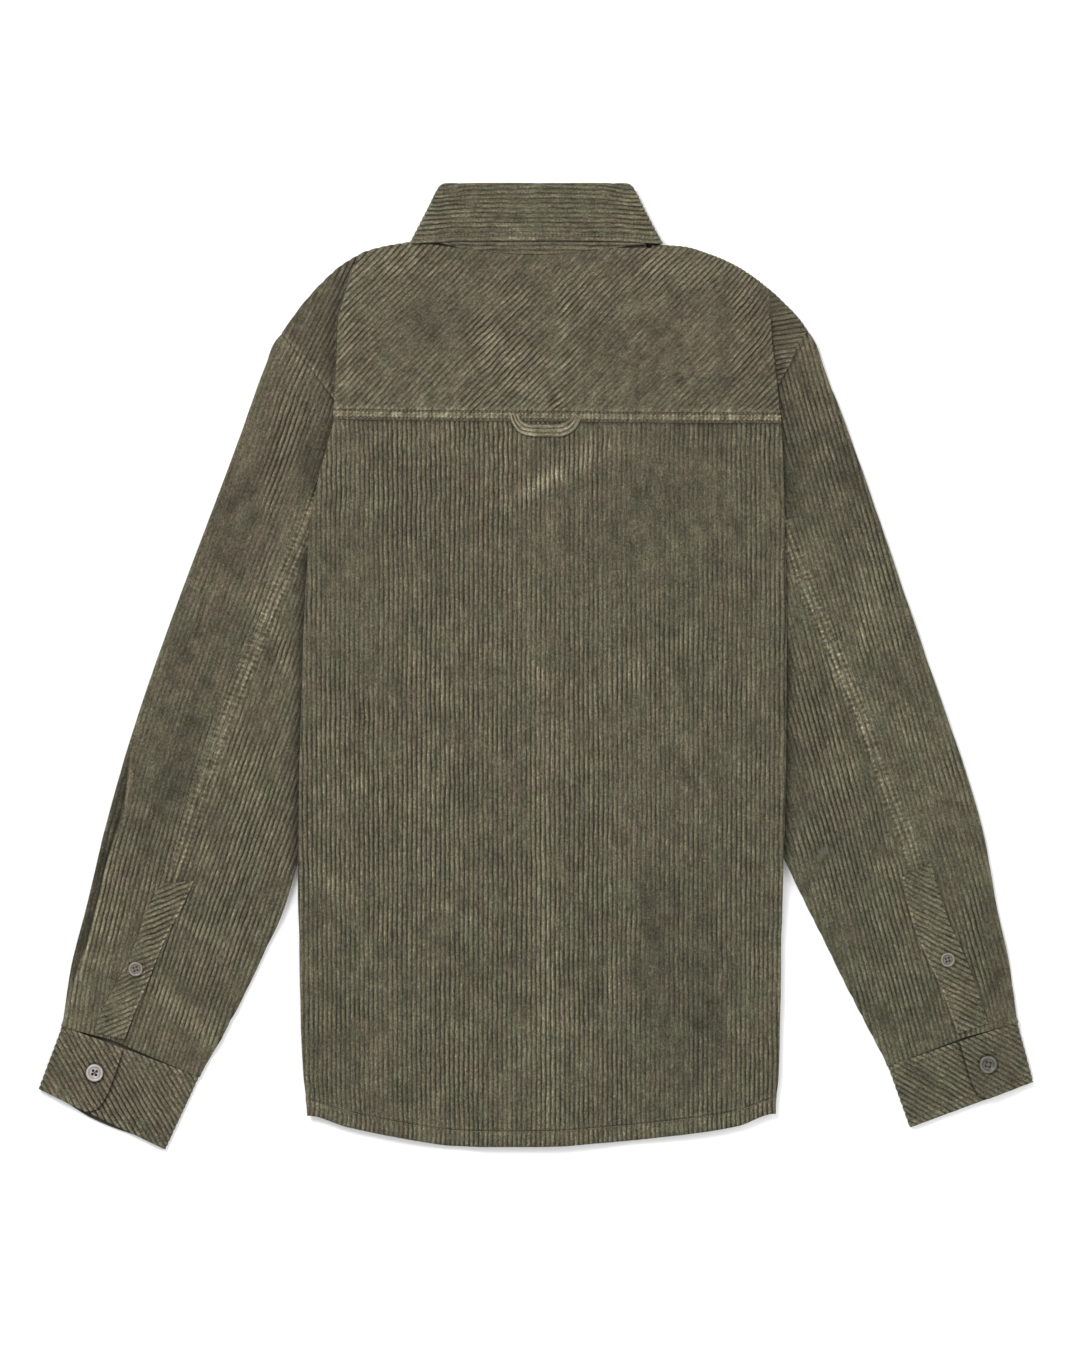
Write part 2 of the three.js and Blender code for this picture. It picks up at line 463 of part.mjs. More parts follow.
// ---------------------------------------------------------------- fronts
function front(name) {
  const s = SIGN[name];
  const cross = CROSSING[name];
  const table = FRONT_TOP[name];
  const heights = [table[0].y, ...FRONT_ROWS.map((d) => cross + d), ...FRONT_ROWS_LOW];
  const total = table[0].y - heights[heights.length - 1];
  const zAt = name === 'left' ? frontZ : rightFrontZ;
  const topAt = (x) => look(table, 'x', 'y', x) - SEAM / 2;
  const stopZero = armX(name, table[0].y) - s * (SEAM / 2 + 5 + HALF + R_FOLD);
  const rows = heights.map((y0) => {
    const v = (table[0].y - y0) / total;
    const turn = Math.PI * soft((cross + 8 - y0) / 16);           // 0 = flat, pi = folded in
    const arc = Math.PI * R_FOLD;
    const xa = armX(name, y0);
    const folded = turn > Math.PI - 0.01;
    const xEdge = folded || turn > 0.3 ? foldX(name, y0) - s * 3 : xa - s * (SEAM / 2 + 5);
    const centre = xEdge - s * (HALF + R_FOLD);
    const hemFront = (x) => hemY(Math.min(200, Math.max(-190, x))) + 7;
    const xEnd = -s * FRONT_OVERLAP;
    const yAt = (x) => mix(topAt(x), hemFront(x), v);
    const stops = [0, 185, 150, 118, 86, 76, 42, 4].map((x, i) => (i === 0 ? 0
      : (Math.abs(stopZero) - (i === 2 ? Math.abs(table[1].x) : x)) / (Math.abs(stopZero) + FRONT_OVERLAP)));
    const outer = [...stops, 1].map((f) => {
      const x = mix(centre, xEnd, f);
      return V(x, yAt(x), zAt(x, yAt(x)));
    });
    const list = [];
    const y = yAt(centre);
    if (folded) {
      const length = Math.abs(xa) - Math.abs(centre);
      const yT = (x) => mix(topAt(x), hemFront(centre) + 17 * (Math.abs(centre) - Math.abs(x)) / Math.max(20, -length), v);
      list.push(V(xa - s * 0.6, y0 > UNDERARM ? y : yT(xa), frontTuckZ + 0.4));
      for (const t of [0, 0.5, 1]) {
        const x = mix(xa, centre, t);
        list.push(V(x, y0 > UNDERARM ? y : yT(x), frontTuckZ));
      }
      list.push(...foldArc(centre, y, s, 0, frontTuckZ, HALF, R_FOLD));
    } else {
      // the edge strip, bent up by the turn over the length of the later fold
      const strip = [3.4, 2.6, 1.7, 0.9];
      const bend = (d) => {
        const k = turn / arc;
        if (turn < 0.01) return [d, 0];
        if (d <= arc) return [Math.sin(k * d) / k, (1 - Math.cos(k * d)) / k];
        return [Math.sin(turn) / k + Math.cos(turn) * (d - arc), (1 - Math.cos(turn)) / k + Math.sin(turn) * (d - arc)];
      };
      const z0 = zAt(centre, y);
      const zA = sleeveLow(name, xa, y0);
      const reachTo = turn < 0.01 ? Math.abs(xa - s * SEAM / 2 - centre) : arc + 2.2;
      for (const k of range(7)) {
        const d = reachTo * (7 - k) / 7;
        const [dx, dz] = bend(d);
        const rise = turn < 0.01 ? (zA - z0) * soft((7 - k) / 7) : 0;
        const x = centre + s * dx;
        list.push(V(x, turn < 0.01 ? yAt(x) : y, z0 + dz + rise));
      }
    }
    return [...list, ...outer];
  });
  add(name + '_front', shell(rows, CLOTH), COLOURS.clothDark);
}

// ---------------------------------------------------------------- sleeves
function sleeve(name) {
  const s = SIGN[name];
  const table = SLEEVE[name];
  const last = table.length - 1;
  const upperAt = (row, t, part) => {         // t: 0 outer edge .. 1 inner edge
    const r = table[row];
    const whole = Math.hypot(r.inX - r.outX, r.inY - r.outY);
    const ts = Math.hypot(r.seamX - r.outX, r.seamY - r.outY) / whole;
    if (part === 'low') return { x: mix(r.outX, r.inX, t), y: mix(r.outY, r.inY, t) };
    if (part === 'main') return { x: mix(r.outX, r.seamX, t), y: mix(r.outY, r.seamY, t) };
    return { x: mix(r.seamX, r.inX, t), y: mix(r.seamY, r.inY, t), ts };
  };
  // rows: the sewn edge, 3 mm inside it, then the table rows
  const rowList = [{ row: 0, off: 0 }, { row: 0, off: 3 }, ...range(last).map((k) => ({ row: k + 1, off: 0 }))];
  const hidden = (y, part) => (part === 'low' ? 1 - soft((y - (CROSSING[name] - 26)) / 12) : 1 - soft((y - 199) / 10));
  const arm = ARMHOLE[name];
  const onArm = { main: [table[0].seamY, arm[3].y, arm[2].y, arm[1].y], low: [null, arm[1].y, arm[2].y, arm[3].y, arm[5].y] };
  const place = (entry, t, part, station = -1) => {
    const p = upperAt(entry.row, t, part);
    let y = p.y;
    if (entry.row === 0) {
      if (station >= 0 && onArm[part] && onArm[part][station]) y = onArm[part][station];
      const nearCross = (part === 'low' ? 0.3 : 0) + 1.6 * soft(1 - Math.abs(y - CROSSING[name] + 2) / 22) * (part === 'low' ? 1 : 0);
      const nearTop = 0.9 * soft(1 - Math.abs(y - table[0].outY) / 12);
      const curl = entry.off === 0 ? hidden(y, part) : 0;
      return { x: armX(name, y) + s * (SEAM / 2 + nearCross + nearTop + entry.off) - s * curl * 0.6, y: y - entry.off * 0.5, curl };
    }
    if (entry.row <= 2) {
      const r = table[0], y0 = mix(r.outY, r.inY, part === 'low' ? t : (y - table[entry.row].outY) / (table[entry.row].inY - table[entry.row].outY));
      const line = mix(r.outX, r.inX, (y0 - r.outY) / (r.inY - r.outY));
      const bulge = (armX(name, y0) - line) * (entry.row === 1 ? 0.6 : 0.25);
      return { x: p.x + bulge * (part === 'low' ? 1 : 0.4), y, curl: 0 };
    }
    return { x: p.x, y, curl: 0 };
  };
  const toCuff = (entry) => soft((entry.row - (last - 2)) / 2);
  const zUp = (p, entry, level) => {
    const base = mix(sleeveUp(name, p.x, p.y), level, toCuff(entry));
    return base + p.curl * 0.4;
  };
  const zLow = (p, entry) => mix(sleeveLow(name, p.x, p.y), 1.2, toCuff(entry)) - p.curl * 0.4;
  const END = 12;
  const mainRows = rowList.map((entry) => {
    const r = table[entry.row];
    const whole = Math.hypot(r.inX - r.outX, r.inY - r.outY);
    const ex = (r.inX - r.outX) / whole, ey = (r.inY - r.outY) / whole;
    const mainW = Math.hypot(r.seamX - r.outX, r.seamY - r.outY);
    const O = place(entry, 0, 'main');
    const zu = zUp(O, entry, 5.2), zl = zLow(O, entry);
    const rad = (sleeveUp(name, O.x, O.y) - sleeveLow(name, O.x, O.y)) / 2;
    const inset = HALF + rad;
    const list = [];
    for (const i of range(5)) {
      const t = mix(1 - SEAM / 2 / mainW, inset / mainW, i / 4);
      const p = place(entry, t, 'main', i);
      list.push(V(p.x, p.y, zUp(p, entry, 5.2)));
    }
    const c = place(entry, inset / whole, 'low');
    const up = list[4];
    const cx = (c.x + up.x) / 2, cy = (c.y + up.y) / 2;
    list.push(...foldArc(cx, cy, -ex, -ey, zu, zl, rad));
    for (const i of range(6)) {
      const t = mix(inset / whole, 1 - (END + SEAM / 2) / whole, i / 5);
      const p = place(entry, t, 'low', i);
      list.push(V(p.x, p.y, zLow(p, entry)));
    }
    return list;
  });
  const underRows = rowList.map((entry) => {
    const r = table[entry.row];
    const whole = Math.hypot(r.inX - r.outX, r.inY - r.outY);
    const ex = (r.inX - r.outX) / whole, ey = (r.inY - r.outY) / whole;
    const underW = Math.hypot(r.inX - r.seamX, r.inY - r.seamY);
    const I = place(entry, 1, 'low');
    const zu = zUp(I, entry, 4.4), zl = zLow(I, entry);
    const rad = (sleeveUp(name, I.x, I.y) - sleeveLow(name, I.x, I.y)) / 2;
    const inset = HALF + rad;
    const list = [];
    for (const i of range(6)) {
      const t = mix(SEAM / 2 / underW, 1 - inset / underW, i / 5);
      const p = place(entry, t, 'under');
      list.push(V(p.x, p.y, zUp(p, entry, 4.4)));
    }
    const c = place(entry, 1 - inset / whole, 'low');
    const up = list[5];
    list.push(...foldArc((c.x + up.x) / 2, (c.y + up.y) / 2, ex, ey, up.z, zLow(c, entry), rad));
    for (const i of range(2)) {
      const t = mix(1 - inset / whole, 1 - (END - SEAM / 2) / whole, i);
      const p = place(entry, t, 'low');
      list.push(V(p.x, p.y, zLow(p, entry)));
    }
    return list;
  });
  // the last row stops short of the cuff
  for (const rows of [mainRows, underRows]) {
    const a = rows[rows.length - 2], b = rows[rows.length - 1];
    b.forEach((p, j) => {
      const d = p.clone().sub(a[j]).normalize().multiplyScalar(SEAM);
      p.sub(d);
    });
  }
  add(name + '_sleeve_main', shell(mainRows, CLOTH), COLOURS.cloth);
  add(name + '_sleeve_under', shell(underRows, CLOTH), COLOURS.clothDark);
}

// ---------------------------------------------------------------- cuffs
const CUFF_LOW = CUFF_CLOTH / 2, CUFF_MID = CUFF_CLOTH * 1.5 + 0.6, CUFF_HIGH = CUFF_CLOTH * 2.5 + 1.2;
function cuffPoint(name, f, down) {
  const c = CUFF[name];
  return {
    x: mix(mix(c.seamOutX, c.seamInX, f), mix(c.edgeOutX, c.edgeInX, f), down),
    y: mix(mix(c.seamOutY, c.seamInY, f), mix(c.edgeOutY, c.edgeInY, f), down),
  };
}
const lapZ = (f) => mix(5, CUFF_HIGH, soft((f - 0.06) / 0.16));
function cuff(name) {
  const rows = CUFF_ROWS.map(({ down, lap }) => {
    const at = (f, z) => { const p = cuffPoint(name, f, down); return V(p.x, p.y, z); };
    const o = cuffPoint(name, 0, down), i = cuffPoint(name, 1, down);
    const w = Math.hypot(i.x - o.x, i.y - o.y);
    const ex = (i.x - o.x) / w, ey = (i.y - o.y) / w;
    const rOut = (5 - CUFF_LOW) / 2, rIn = (CUFF_MID - CUFF_LOW) / 2;
    const fOut = (rOut + CUFF_CLOTH / 2) / w, fIn = 1 - (rIn + CUFF_CLOTH / 2) / w;
    const list = [];
    for (const t of [0, 0.35, 0.6, 0.8, 1]) { const f = mix(lap, fOut, t); list.push(at(f, lapZ(f))); }
    const cO = cuffPoint(name, fOut, down), cI = cuffPoint(name, fIn, down);
    list.push(...foldArc(cO.x, cO.y, -ex, -ey, 5, CUFF_LOW, rOut));
    for (const t of range(6)) list.push(at(mix(fOut, fIn, t / 5), CUFF_LOW));
    list.push(...foldArc(cI.x, cI.y, ex, ey, CUFF_LOW, CUFF_MID, rIn));
    for (const t of range(6)) list.push(at(mix(fIn, CUFF_TUCK, t / 5), CUFF_MID));
    return list;
  });
  add(name + '_cuff', shell(rows, CUFF_CLOTH), COLOURS.cuff);
}

// ---------------------------------------------------------------- sleeve plackets
const placketZ = (name, x, y, k, n) => mix(sleeveUp(name, x, y) + CLOTH + SEAM + 0.15, CUFF_HIGH + 0.2, soft((k - (n - 3)) / 2));
function placket(name) {
  const t = PLACKET[name], n = t.length;
  const rows = t.map((r, k) => range(5).map((i) => {
    const f = i / 4;
    const x = mix(r.openX, r.sewnX, f), y = mix(r.openY, r.sewnY, f);
    return V(x, y, placketZ(name, x, y, k, n));
  }));
  add(name + '_sleeve_placket', shell(rows, CLOTH), COLOURS.cuff);
}

// ---------------------------------------------------------------- collar
function collarRing(mirror) {
  // stations with an outward direction: back = up, side = sideways, front = down
  const s = mirror ? 1 : -1;
  const raise = mirror ? RIGHT_FRONT_RAISE : COLLAR.map(() => 0);
  const out = [];
  COLLAR.forEach((r, k) => {
    const back = k <= COLLAR_SIDE;
    out.push({ r, s, ang: back ? 0 : Math.PI, z: r.z + raise[k], k });
    if (k === COLLAR_SIDE) {
      const b = COLLAR[k + 1];
      for (const t of [0.25, 0.5, 0.75]) {
        const m = {};
        for (const key of Object.keys(r)) m[key] = mix(r[key], b[key], t);
        out.push({ r: m, s, ang: Math.PI * t, z: (r.z + b.z) / 2, side: true, half: (r.z - b.z) / 2, k: k + t });
      }
    }
  });
  return out;
}
function collarPoint(st, px, py, extra) {
  // extra = distance outward from the core surface
  const rad = (st.side ? st.half : 0) + extra;
  const z = st.side ? st.z + Math.cos(st.ang) * rad : st.z + (st.ang === 0 ? extra : -extra);
  const x = px + (st.side ? Math.sin(st.ang) * rad : 0);
  return V(st.s * x, py, z);
}
function collar() {
  const left = collarRing(false), right = collarRing(true);
  const ring = (skipLast) => [
    ...left.slice(0, left.length - (skipLast ? 1 : 0)).reverse(),
    ...right.slice(1, right.length - (skipLast ? 1 : 0)),
  ];
  const standRows = ring(false).map((st) => [0, 0.5, 1].map((t) => {
    const r = st.r;
    const py = mix(r.neckY + SEAM / 2, r.standY - SEAM, t);
    return collarPoint(st, mix(r.neckX, r.standX, t), py, 0);
  }));
  add('collar_stand', shell(standRows, CLOTH), COLOURS.clothDark);
  const leafRows = ring(true).map((st) => {
    const r = st.r;
    const list = [];
    const up = Math.hypot(r.rollX - r.standX, r.rollY - r.standY);
    const ux = (r.rollX - r.standX) / up, uy = (r.rollY - r.standY) / up;
    const rr = LAYER / 2 + HALF;
    const cut = Math.max(0.3, 1 - rr / up);
    for (const t of [0, 1]) {
      list.push(collarPoint(st, mix(r.standX, r.rollX, t * cut), mix(r.standY, r.rollY, t * cut), 0));
    }
    const cx = mix(r.standX, r.rollX, cut), cy = mix(r.standY, r.rollY, cut);
    for (const a of [0.25, 0.5, 0.75]) {
      const ang = Math.PI * a, h = LAYER / 2;
      list.push(collarPoint(st, cx + ux * h * Math.sin(ang), cy + uy * h * Math.sin(ang), h - h * Math.cos(ang)));
    }
    const front = st.ang === Math.PI && !st.side;
    const low = front ? st.z - HALF : LAYER;
    for (const t of [0, 0.35, 0.7, 1]) {
      const extra = front ? mix(LAYER, low, soft(t * 1.3)) : LAYER;
      list.push(collarPoint(st, mix(cx, r.edgeX, t), mix(cy, r.edgeY, t), extra));
    }
    return list;
  });
  add('collar_leaf', shell(leafRows, CLOTH), COLOURS.cloth);
}

// ---------------------------------------------------------------- locker loop
function loop() {
  const lift = [0, 0, 0.3, 0.5, 0.5, 0.3, 0, 0];
  const rows = LOOP.map((r, k) => [0, 0.5, 1].map((t) => {
    const x = mix(r.outX, r.inX, t), y = mix(r.outY, r.inY, t);
    return V(x, y, backZ(x, y) + CLOTH + SEAM + 0.05 + lift[k]);
  }));
  add('locker_loop', shell(rows, CLOTH), COLOURS.cuff);
}

// ---------------------------------------------------------------- buttons
function button(name, diameter, x, y, z, turn, color) {
  const R = diameter / 2;
  const shape = new THREE.Shape();
  const N = 18;
  for (let i = 0; i < N; i++) {
    const a = 2 * Math.PI * i / N;
    if (i) shape.lineTo(R * Math.cos(a), R * Math.sin(a)); else shape.moveTo(R, 0);
  }
  shape.closePath();
  for (const k of range(4)) {
    const hole = new THREE.Path();
    const a0 = Math.PI / 4 + k * Math.PI / 2;
    const hx = R * 0.235 * Math.cos(a0), hy = R * 0.235 * Math.sin(a0);
    for (let i = 0; i < 6; i++) {
      const a = -2 * Math.PI * i / 6;
      const px = hx + R * 0.11 * Math.cos(a), py = hy + R * 0.11 * Math.sin(a);
      if (i) hole.lineTo(px, py); else hole.moveTo(px, py);
    }
    hole.closePath();
    shape.holes.push(hole);
  }
  const g = new THREE.ExtrudeGeometry(shape, { depth: BUTTON_THICK, bevelEnabled: false, curveSegments: 1 });
  const mesh = add(name, g, color, 0.45);
  mesh.position.set(x, y, z);
  mesh.rotation.z = turn;
}

backBody();
yoke();
for (const name of ['left', 'right']) {
  front(name);
  sleeve(name);
  placket(name);
  cuff(name);
}
collar();
loop();
const PB = { left: { x: -340.2, y: -257 }, right: { x: 349.7, y: -249.1 } };
const CB = { left: { x: -375.1, y: -345.2 }, right: { x: 384.2, y: -338.2 } };
for (const name of ['left', 'right']) {
  const p = PB[name], c = CB[name];
  button(name + '_placket_button', PLACKET_BUTTON, p.x, p.y, placketZ(name, p.x, p.y, 3, 7) + HALF + SEAM + 0.3, 0.3, COLOURS.button);
  button(name + '_cuff_button', CUFF_BUTTON, c.x, c.y, CUFF_HIGH + CUFF_CLOTH / 2 + SEAM, -0.2, name === 'left' ? COLOURS.buttonPale : COLOURS.button);
}
for (const b of FRONT_BUTTONS) button(b.name, FRONT_BUTTON, 0, b.y, 0, 0, COLOURS.button);

// origin at the middle of the box that the garment fills, on the ground
group.updateMatrixWorld(true);
const box = new THREE.Box3().setFromObject(group);
group.position.set(-(box.min.x + box.max.x) / 2, -(box.min.y + box.max.y) / 2, -box.min.z);
group.updateMatrixWorld(true);

export default group;
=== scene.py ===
import math
import bpy
import bmesh
import numpy as np
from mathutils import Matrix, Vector


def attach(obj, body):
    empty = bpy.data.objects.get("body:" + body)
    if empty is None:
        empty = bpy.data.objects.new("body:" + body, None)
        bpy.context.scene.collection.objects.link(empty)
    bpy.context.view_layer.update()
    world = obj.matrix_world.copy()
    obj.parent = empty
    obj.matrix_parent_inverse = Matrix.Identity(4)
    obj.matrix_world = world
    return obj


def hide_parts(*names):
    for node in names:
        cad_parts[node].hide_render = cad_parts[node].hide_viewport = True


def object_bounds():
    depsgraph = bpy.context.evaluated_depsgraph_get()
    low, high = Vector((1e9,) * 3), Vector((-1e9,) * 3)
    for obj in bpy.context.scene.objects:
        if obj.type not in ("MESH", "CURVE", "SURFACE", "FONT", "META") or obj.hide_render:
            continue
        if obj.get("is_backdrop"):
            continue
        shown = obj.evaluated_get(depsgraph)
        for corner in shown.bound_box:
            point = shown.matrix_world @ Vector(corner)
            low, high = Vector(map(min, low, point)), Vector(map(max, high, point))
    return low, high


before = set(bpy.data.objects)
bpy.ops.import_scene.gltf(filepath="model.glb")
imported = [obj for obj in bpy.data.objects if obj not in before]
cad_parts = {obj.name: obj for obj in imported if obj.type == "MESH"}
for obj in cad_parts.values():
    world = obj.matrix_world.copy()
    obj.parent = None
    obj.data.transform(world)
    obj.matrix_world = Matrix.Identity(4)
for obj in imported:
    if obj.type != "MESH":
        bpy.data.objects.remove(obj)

CAD_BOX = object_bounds()
MM = 0.001
SHIFT = np.array([0.003, -0.024, 0.0])      # part drawing to row frame, mm

# ------------------------------------------------------------------ sizes, mm, as in the part
CLOTH, HALF, SEAM, LAYER = 1.6, 0.8, 0.3, 2.3
CUFF_CLOTH = 2.4
SLEEVE_LOFT, SLEEVE_PRESSED, OVER_SLEEVE = 5.2, 2.6, 3.4
FRONT_OVERLAP, BUTTON_LIFT, BUTTON_THICK = 17, 3.0, 2.6
R_FOLD = LAYER / 2
CUFF_LOW, CUFF_MID, CUFF_HIGH = CUFF_CLOTH / 2, CUFF_CLOTH * 1.5 + 0.6, CUFF_CLOTH * 2.5 + 1.2
CUFF_TUCK = 0.23
UNDERARM = 56.5
NECK_HALF = 98
CROSSING = {"left": 229, "right": 240}
INNER_FOLD = {"left": -155.5, "right": 189.2}
SIGN = {"left": -1, "right": 1}
WALE = 4.08                                  # from one corduroy rib to the next
WALE_DEPTH = 0.72                            # how deep the channel between two ribs is

FOLD = {  # y, x
    "left": [(352, -149.6), (348.1, -151.3), (332, -158.1), (313, -164), (299.6, -168.3), (256, -170), (229, -171.7),
             (209.5, -171.7), (184, -178.5), (150, -187), (116, -192.1), (73.5, -195.5), (14, -198), (-71, -200.6),
             (-156, -202.3), (-198.5, -202.3), (-266.5, -201.4), (-317.5, -199.8), (-360, -197.2), (-382, -194.7)],
    "right": [(334, 189.5), (326, 193.8), (320, 198), (286, 199.8), (252, 204), (217, 207.4), (206, 208.2),
              (184, 209.9), (150, 210.8), (116, 211.7), (73.5, 212.5), (14, 212.9), (-71, 212.5), (-156, 211.2),
              (-198.5, 209.9), (-266.5, 208.2), (-317.5, 207.4), (-360, 206.1), (-382, 204)],
}
ARMHOLE = {  # y, x
    "left": [(283.5, -216.8), (256, -193.6), (229.1, -173.4), (209.5, -158.3), (170.4, -144.5), (116, -119),
             (56.5, -97), (20, -103), (-100, -108), (-380, -112)],
    "right": [(285.2, 232), (255.9, 215.5), (227.2, 199.6), (206.6, 191.2), (170.4, 176), (116, 145),
              (56.5, 110), (20, 113), (-100, 118), (-380, 122)],
}
TOP = [(-216.8, 283.5), (-209.1, 295.4), (-203.2, 303), (-189.5, 320), (-172.5, 337), (-158.1, 346.8), (-141.9, 354),
       (-124.1, 356.7), (-98, 356.8), (-68, 352.4), (-34, 349.9), (0, 348.9), (34, 349.9), (68, 352.4), (98, 356.6),
       (124, 356), (134.3, 354), (156.4, 348.1), (177.7, 337), (201.4, 320), (218.4, 303), (226.9, 292.8), (232, 285.2)]
FRONT_TOP = {
    "left": [(-201, 264), (-143, 314), (-86, 333), (-76, 323.6), (-42, 296), (-4, 285), (17, 284.5)],
    "right": [(218.5, 262), (152, 316), (86, 333), (76, 323.6), (42, 296), (4, 285), (-17, 284.5)],
}
HEM = [(-194.7, -381.2), (-183.6, -385.5), (-151.3, -394), (-107.1, -402.5), (-73.1, -407.6), (-30.6, -408.8),
       (20.4, -408), (88.4, -402.5), (130.9, -397.4), (163.2, -393.1), (190.4, -385.5), (204, -379.5)]
SLEEVE = {  # outer edge x y, back seam x y, inner edge x y
    "left": [(-216.8, 283.5, -155.3, 201, -97, 56.5), (-232.9, 250.3, -175.1, 173, -118.1, 22.5),
             (-253.3, 192.5, -195.5, 117.7, -139.4, -20), (-278.8, 124.5, -220.2, 60.8, -162.3, -66.7),
             (-306, 52.3, -244.8, 3, -183.6, -113.5), (-330.6, -16.6, -266.9, -53.1, -201.4, -162.8),
             (-351.9, -82.9, -283.9, -103.3, -215, -208), (-369.8, -149.2, -300.1, -153.4, -232.9, -247),
             (-383.3, -207, -316.2, -200.2, -249, -281), (-396.1, -256.3, -337.4, -249.5, -266.5, -314),
             (-403.3, -305.6, -362, -316.6, -286.4, -348.9)],
    "right": [(232, 285.2, 188.9, 201, 110, 56.5), (246.5, 250.3, 196, 173, 127.5, 22.5),
              (268.6, 192.5, 211, 117.7, 148.8, -20), (292.4, 124.5, 231.2, 65, 171.7, -66.7),
              (317.1, 52.3, 256.7, 5.5, 192.1, -113.5), (340.8, -16.6, 278.8, -47.2, 209.5, -160),
              (363.8, -82.9, 295.8, -96.5, 226.9, -197), (382.5, -149.2, 314.5, -145.8, 247, -237),
              (391.8, -202.7, 328.1, -192.5, 263, -270), (402.9, -253.7, 347.6, -245.2, 280.5, -304),
              (409.7, -302.2, 366, -314.3, 299.2, -339.6)],
}
CUFF = {  # seam outer x y, seam inner x y, edge outer x y, edge inner x y
    "left": (-403.3, -305.6, -286.4, -348.9, -423.3, -359.1, -315.3, -411),
    "right": (409.7, -302.2, 299.2, -339.6, 423.3, -353.2, 317.9, -392.3),
}
CUFF_ROWS = {"left": [(0, 0.447), (0.4, 0.463), (0.75, 0.462), (0.93, 0.425), (1, 0.37)],
             "right": [(0, 0.447), (0.4, 0.45), (0.75, 0.445), (0.93, 0.415), (1, 0.37)]}
PLACKET = {  # opening edge x y, sewn edge x y
    "left": [(-290.7, -182.3, -318.8, -184.5), (-301.8, -206.5, -329.8, -205.3), (-313.7, -228.2, -337.9, -228.2),
             (-322.6, -249.5, -346.8, -249.5), (-331.5, -272, -357.9, -272), (-341.7, -295, -368, -290.5),
             (-350, -317.2, -375.4, -310.6)],
    "right": [(311.5, -179, 335.8, -167), (314.8, -196.7, 342.6, -191.7), (321.3, -221.2, 350.7, -216.3),
              (332.8, -248.6, 360.4, -237.4), (344.3, -273.3, 370.3, -261.8), (354, -299.3, 378.3, -286),
              (358.5, -312, 384.5, -303.5)],
}
COLLAR = [  # z, neck x y, stand x y, roll x y, edge x y
    (8.6, 0, 348.9, 0, 390, 0, 411, 0, 361.7), (8.6, 34, 349.9, 32, 390, 28.5, 411, 37, 361.6),
    (8.6, 68, 352.4, 62, 390, 56, 410.9, 74, 361), (8.6, 91, 355.8, 84, 390, 76.8, 410.7, 102, 359.9),
    (3.1, 91, 352, 84, 387, 76.8, 407, 102, 359), (3.1, 76, 324.3, 68, 361, 63, 380, 84, 313),
    (3.1, 42, 296.4, 38, 334, 36, 350, 66, 287), (3.8, 4, 285.4, 4, 321, 5, 325, 49, 268),
    (3.8, -12, 285.6, -12, 314, 0, 0, 0, 0),
]
COLLAR_SIDE = 3
RIGHT_FRONT_RAISE = [0, 0, 0, 0, 0, 0, 0.5, 2.3, 2.3]
LOOP = [(-23.0, 213.0, -14.6, 214.6), (-20.6, 206.5, -12.4, 209.6), (-13.5, 197.8, -7, 206.4), (2, 195, 3, 205.8),
        (20, 195, 19, 206.0), (31.0, 199.3, 25, 208.2), (36.8, 206.8, 28.6, 211.0), (39.4, 212.6, 31.4, 214.8)]
FRONT_BUTTONS = [("collar_button", 301), ("front_button_1", 250), ("front_button_2", 155), ("front_button_3", 60),
                 ("front_button_4", -35), ("front_button_5", -130), ("front_button_6", -225)]
BACK_ROWS = [209.5, 184, 150, 116, 84, 56.5, 20, -35, -90, -140, -190, -240, -300, -350, -382]
FRONT_ROWS = [11, 3, -4, -12, -26, -70, -120]
FRONT_ROWS_LOW = [56.5, 15, -80, -180, -280, -375]
YOKE_STEP = [0, 0.05, 0.13, 0.262, 0.44, 0.55, 0.627, 0.74, 0.84, 0.92, 1]
NECK_X = [-98, -68, -34, 0, 34, 68, 98]


# ------------------------------------------------------------------ small tools
def mix(a, b, t):
    return a + (b - a) * t


def soft(t):
    c = np.clip(t, 0.0, 1.0)
    return c * c * (3 - 2 * c)


def look(table, at):
    """straight line through (key, value) rows in either order, carried on past both ends"""
    t = np.array(table, float)
    if t[0, 0] > t[-1, 0]:
        t = t[::-1]
    k = np.clip(np.searchsorted(t[:, 0], at) - 1, 0, len(t) - 2)
    return t[k, 1] + (t[k + 1, 1] - t[k, 1]) * (at - t[k, 0]) / (t[k + 1, 0] - t[k, 0])


def px(x, y):
    """millimetres on the garment of a point of the layout drawing, which is 1080 by 1350 at 0.85 mm"""
    return (x - 536) * 0.85, (666.5 - y) * 0.85


def noise(x, y, size, seed, stretch=1.0):
    """smooth wandering values between about -1 and 1; size is the distance between its knots"""
    g = np.random.RandomState(seed).rand(89, 97) * 2 - 1
    u, v = np.asarray(x) / size + 31.7, np.asarray(y) / (size * stretch) + 17.3
    i, j = np.floor(u).astype(int), np.floor(v).astype(int)
    a, b = soft(u - i), soft(v - j)
    g00, g10 = g[i % 89, j % 97], g[(i + 1) % 89, j % 97]
    g01, g11 = g[i % 89, (j + 1) % 97], g[(i + 1) % 89, (j + 1) % 97]
    return mix(mix(g00, g10, a), mix(g01, g11, a), b) * 1.35


